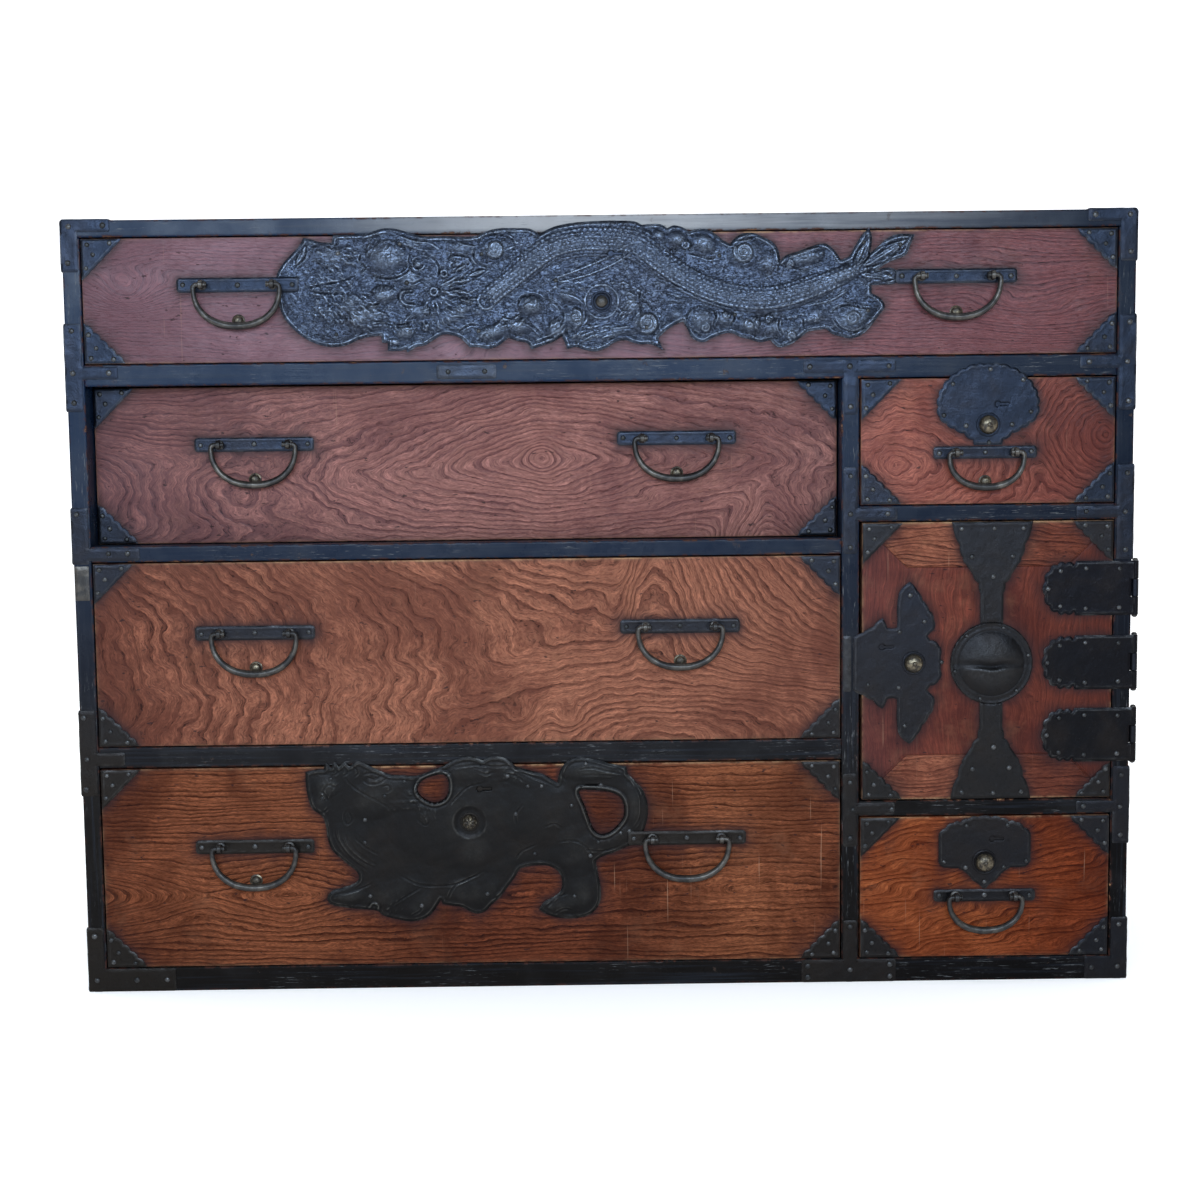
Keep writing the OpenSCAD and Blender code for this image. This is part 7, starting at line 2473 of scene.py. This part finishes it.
@dataclass
class Studio:
    """Floor, backdrop, lamps and the camera of the photograph.

    Attributes:
        eye: Where the camera stands, in millimetres.
        lens: Its focal length on a 36 mm sensor.
        pitch: How far it looks down, in degrees.
        yaw: Turn about the upright.
        roll: Turn about its own axis.
    """

    eye: tuple[float, float, float] = (-16.0, -2325.0, 652.0)
    lens: float = 55.71
    pitch: float = -5.53
    yaw: float = -0.31
    roll: float = 0.67

    def _white(self, name: str, albedo: float, near: float, far: float = 1.0) -> Finish:
        """A pale matt material that the camera and glossy surfaces see as white away from the chest."""
        s = Shader(name)
        s.put(s.surface.inputs["Base Color"], (albedo, albedo, albedo, 1))
        away = s.node("ShaderNodeVectorMath", operation="LENGTH")
        s.put(away.inputs[0], s.coords((1, 1.5, 1)))
        emit = s.band(away.outputs["Value"], 0.7, 2.6, (near, far))
        s.surface.inputs["Roughness"].default_value = 0.9
        s.surface.inputs["Specular IOR Level"].default_value = 0.1
        path = s.node("ShaderNodeLightPath")
        seen = s.plus(path.outputs["Is Camera Ray"], path.outputs["Is Glossy Ray"], True)
        seen = s.plus(seen, path.outputs["Is Transmission Ray"], True)
        s.put(s.surface.inputs["Emission Color"], (1, 1, 1, 1))
        s.put(s.surface.inputs["Emission Strength"], s.times(seen, emit))
        return s.material

    def _plane(self, name: str, corners: Sequence[Point], material: Finish) -> None:
        """Adds one large plane that is not part of the object."""
        mesh = bpy.data.meshes.new(name)
        mesh.from_pydata([tuple(c) for c in corners], [], [(0, 1, 2, 3)])
        mesh.materials.append(material)
        piece = bpy.data.objects.new(name, mesh)
        bpy.context.scene.collection.objects.link(piece)

    def _lamp(self, name: str, at: Point, target: Point, size: tuple[float, float], power: float,
              colour: Colour) -> None:
        """Adds one soft lamp."""
        light = bpy.data.lights.new(name, "AREA")
        light.shape = "RECTANGLE"
        light.size, light.size_y = size
        light.energy, light.color = power, colour
        lamp = bpy.data.objects.new(name, light)
        lamp.location = at
        lamp.rotation_euler = (Vector(target) - Vector(at)).to_track_quat("-Z", "Y").to_euler()
        bpy.context.scene.collection.objects.link(lamp)

    def build(self) -> None:
        """Builds the room, the lamps and the camera."""
        self._plane("floor", [(-9, -9, 0), (9, -9, 0), (9, 5, 0), (-9, 5, 0)],
                    self._white("floor_white", 0.66, 0.5))
        self._plane("backdrop", [(-9, 5, 0), (9, 5, 0), (9, 5, 7), (-9, 5, 7)],
                    self._white("backdrop_white", 0.7, 1.0))
        cool, warm = (0.86, 0.93, 1.0), (1.0, 0.97, 0.93)
        self._lamp("front_softbox", (-0.1, -3.4, 1.42), (0, 0, 0.75), (3.6, 1.15), 140, (0.74, 0.92, 1.14))
        self._lamp("left_softbox", (-3.6, 0.6, 1.9), (0, 0, 0.5), (2.2, 2.2), 70, cool)
        self._lamp("top_softbox", (0, 0.6, 3.2), (0, 0, 0), (4, 2.6), 100, cool)
        self._lamp("right_softbox", (3.8, 0.4, 1.6), (0, 0, 0.4), (2.0, 2.0), 50, warm)
        world = bpy.data.worlds.new("room")
        world.use_nodes = True
        ground = world.node_tree.nodes["Background"]
        path = world.node_tree.nodes.new("ShaderNodeLightPath")
        tint = world.node_tree.nodes.new("ShaderNodeMix")
        tint.data_type = "RGBA"
        tint.inputs[6].default_value, tint.inputs[7].default_value = (0.93, 0.96, 1.0, 1), (1, 1, 1, 1)
        world.node_tree.links.new(path.outputs["Is Camera Ray"], tint.inputs[0])
        world.node_tree.links.new(tint.outputs[2], ground.inputs["Color"])
        plain = world.node_tree.nodes.new("ShaderNodeMath")
        plain.operation = "MAXIMUM"
        world.node_tree.links.new(path.outputs["Is Camera Ray"], plain.inputs[0])
        plain.inputs[1].default_value = 0.22
        world.node_tree.links.new(plain.outputs[0], ground.inputs["Strength"])
        bpy.context.scene.world = world
        data = bpy.data.cameras.new("camera")
        data.lens, data.sensor_width = self.lens, 36.0
        camera = bpy.data.objects.new("camera", data)
        turn = Matrix.Identity(4)
        for angle, axis in ((self.yaw, "Z"), (self.pitch, "X"), (self.roll, "Y"), (90, "X")):
            turn = turn @ Matrix.Rotation(math.radians(angle), 4, axis)
        camera.matrix_world = Matrix.Translation(Vector(self.eye) * MM) @ turn
        bpy.context.scene.collection.objects.link(camera)
        bpy.context.scene.camera = camera
        bpy.context.scene.view_settings.view_transform = "Standard"


# --------------------------------------------------------------------------- the chest

def main() -> None:
    """Builds the room and the chest, piece by piece."""
    logging.basicConfig(level=logging.INFO, format="%(name)s: %(message)s")
    Studio().build()
    finishes = Finishes()
    Carcass(finishes).build()
    FrameIrons(finishes).build()
    dragon = raised_outline(DRAGON, TOP)
    lion, neck, tail = (raised_outline(loop, BOTTOM) for loop in (LION, NECK_HOLE, TAIL_HOLE))
    dome = LockShape.DOME.outline(*SMALL_UPPER_BUTTON)
    fan = LockShape.FAN.outline(*SMALL_LOWER_BUTTON)
    butterfly = LockShape.BUTTERFLY.outline(*DOOR_BUTTON)

    def pair(opening: Opening, left: Point, right: Point, stud: bool = True) -> list[Handle]:
        """The two large handles of a wide drawer; the right one may have lost its stud."""
        return [Handle(finishes, f"{opening.name}_bail_left", opening, *left),
                Handle(finishes, f"{opening.name}_bail_right", opening, *right, stud=stud)]

    def single(opening: Opening, x: float, z: float, stud: bool = True) -> list[Handle]:
        """The handle of a small drawer."""
        return [Handle(finishes, f"{opening.name}_bail", opening, x, z, large=False, stud=stud)]

    top = pair(TOP, (-405, 807), (398, 808))
    bottom = pair(BOTTOM, (-404, 169), (92, 173), stud=False)
    for drawer in (
            Drawer(finishes, TOP, top, [dragon], rubs=[Rub(200, 859, 260, 3, 1.0)]),
            Drawer(finishes, UPPER, pair(UPPER, (-397, 629), (85, 631))),
            Drawer(finishes, MIDDLE, pair(MIDDLE, (-397, 416), (86, 418)),
                   rubs=[Rub(-150, 496, 380, 3, 1.1)]),
            Drawer(finishes, BOTTOM, bottom, [lion], [neck, tail], [Rub(-100, 260, 400, 3, 1.1)]),
            Drawer(finishes, SMALL_UPPER, single(SMALL_UPPER, 432, 611), [dome]),
            Drawer(finishes, SMALL_LOWER, single(SMALL_LOWER, 435, 101, stud=False), [fan],
                   rubs=[Rub(440, 193, 140, 3, 1.0)])):
        drawer.build()

    lock = PushLock(finishes, TOP.name, *TOP_BUTTON, TOP.face,
                    button=7, washer=12, key=(11, 53), reach=75.5)
    picture = Dragon()
    plate = picture.shape(dragon, [*lock.holes(), *(handle.outline for handle in top)])
    lock.build(plate, picture.nails, 2.4, finishes.dragon_iron)
    lock = PushLock(finishes, BOTTOM.name, *BOTTOM_BUTTON, BOTTOM.face,
                    button=8, washer=11, key=(12, 38), reach=65.5, petals=7)
    beast = Lion()
    plate = beast.shape(lion, neck, tail, [*lock.holes(), *(handle.outline for handle in bottom)])
    lock.build(plate, beast.nails, 2.4, finishes.lion_iron)
    lock = PushLock(finishes, SMALL_UPPER.name, *SMALL_UPPER_BUTTON, SMALL_UPPER.face,
                    button=10.5, washer=13.5, key=(11, 23), reach=52.5, nipple=True)
    lock.build(plain_plate(dome, lock.holes(), 501),
               [(395, 688), (385, 653), (410, 641), (436, 622), (462, 642), (483, 656), (474, 692),
                (437, 704)])
    lock = PushLock(finishes, SMALL_LOWER.name, *SMALL_LOWER_BUTTON, SMALL_LOWER.face,
                    button=10.5, washer=14.5, key=(9, 27), reach=53.5, nipple=True)
    lock.build(plain_plate(fan, lock.holes(), 502),
               [(414, 183), (388, 141), (413, 134), (435, 117), (457, 134), (483, 141), (461, 183)])
    lock = PushLock(finishes, "door", *DOOR_BUTTON, FACE_Y,
                    button=10.5, washer=13.5, key=(-36, 19), reach=58.5, nipple=True, sideways=True)
    lock.build(plain_plate(butterfly, lock.holes(), 503),
               [(348, 450), (336, 408), (384, 373), (335, 344), (300, 348), (342, 300), (364, 420)])
    leaves = Hinges(finishes).build()
    Door(finishes, butterfly, leaves).build()


if __name__ == "__main__":
    main()
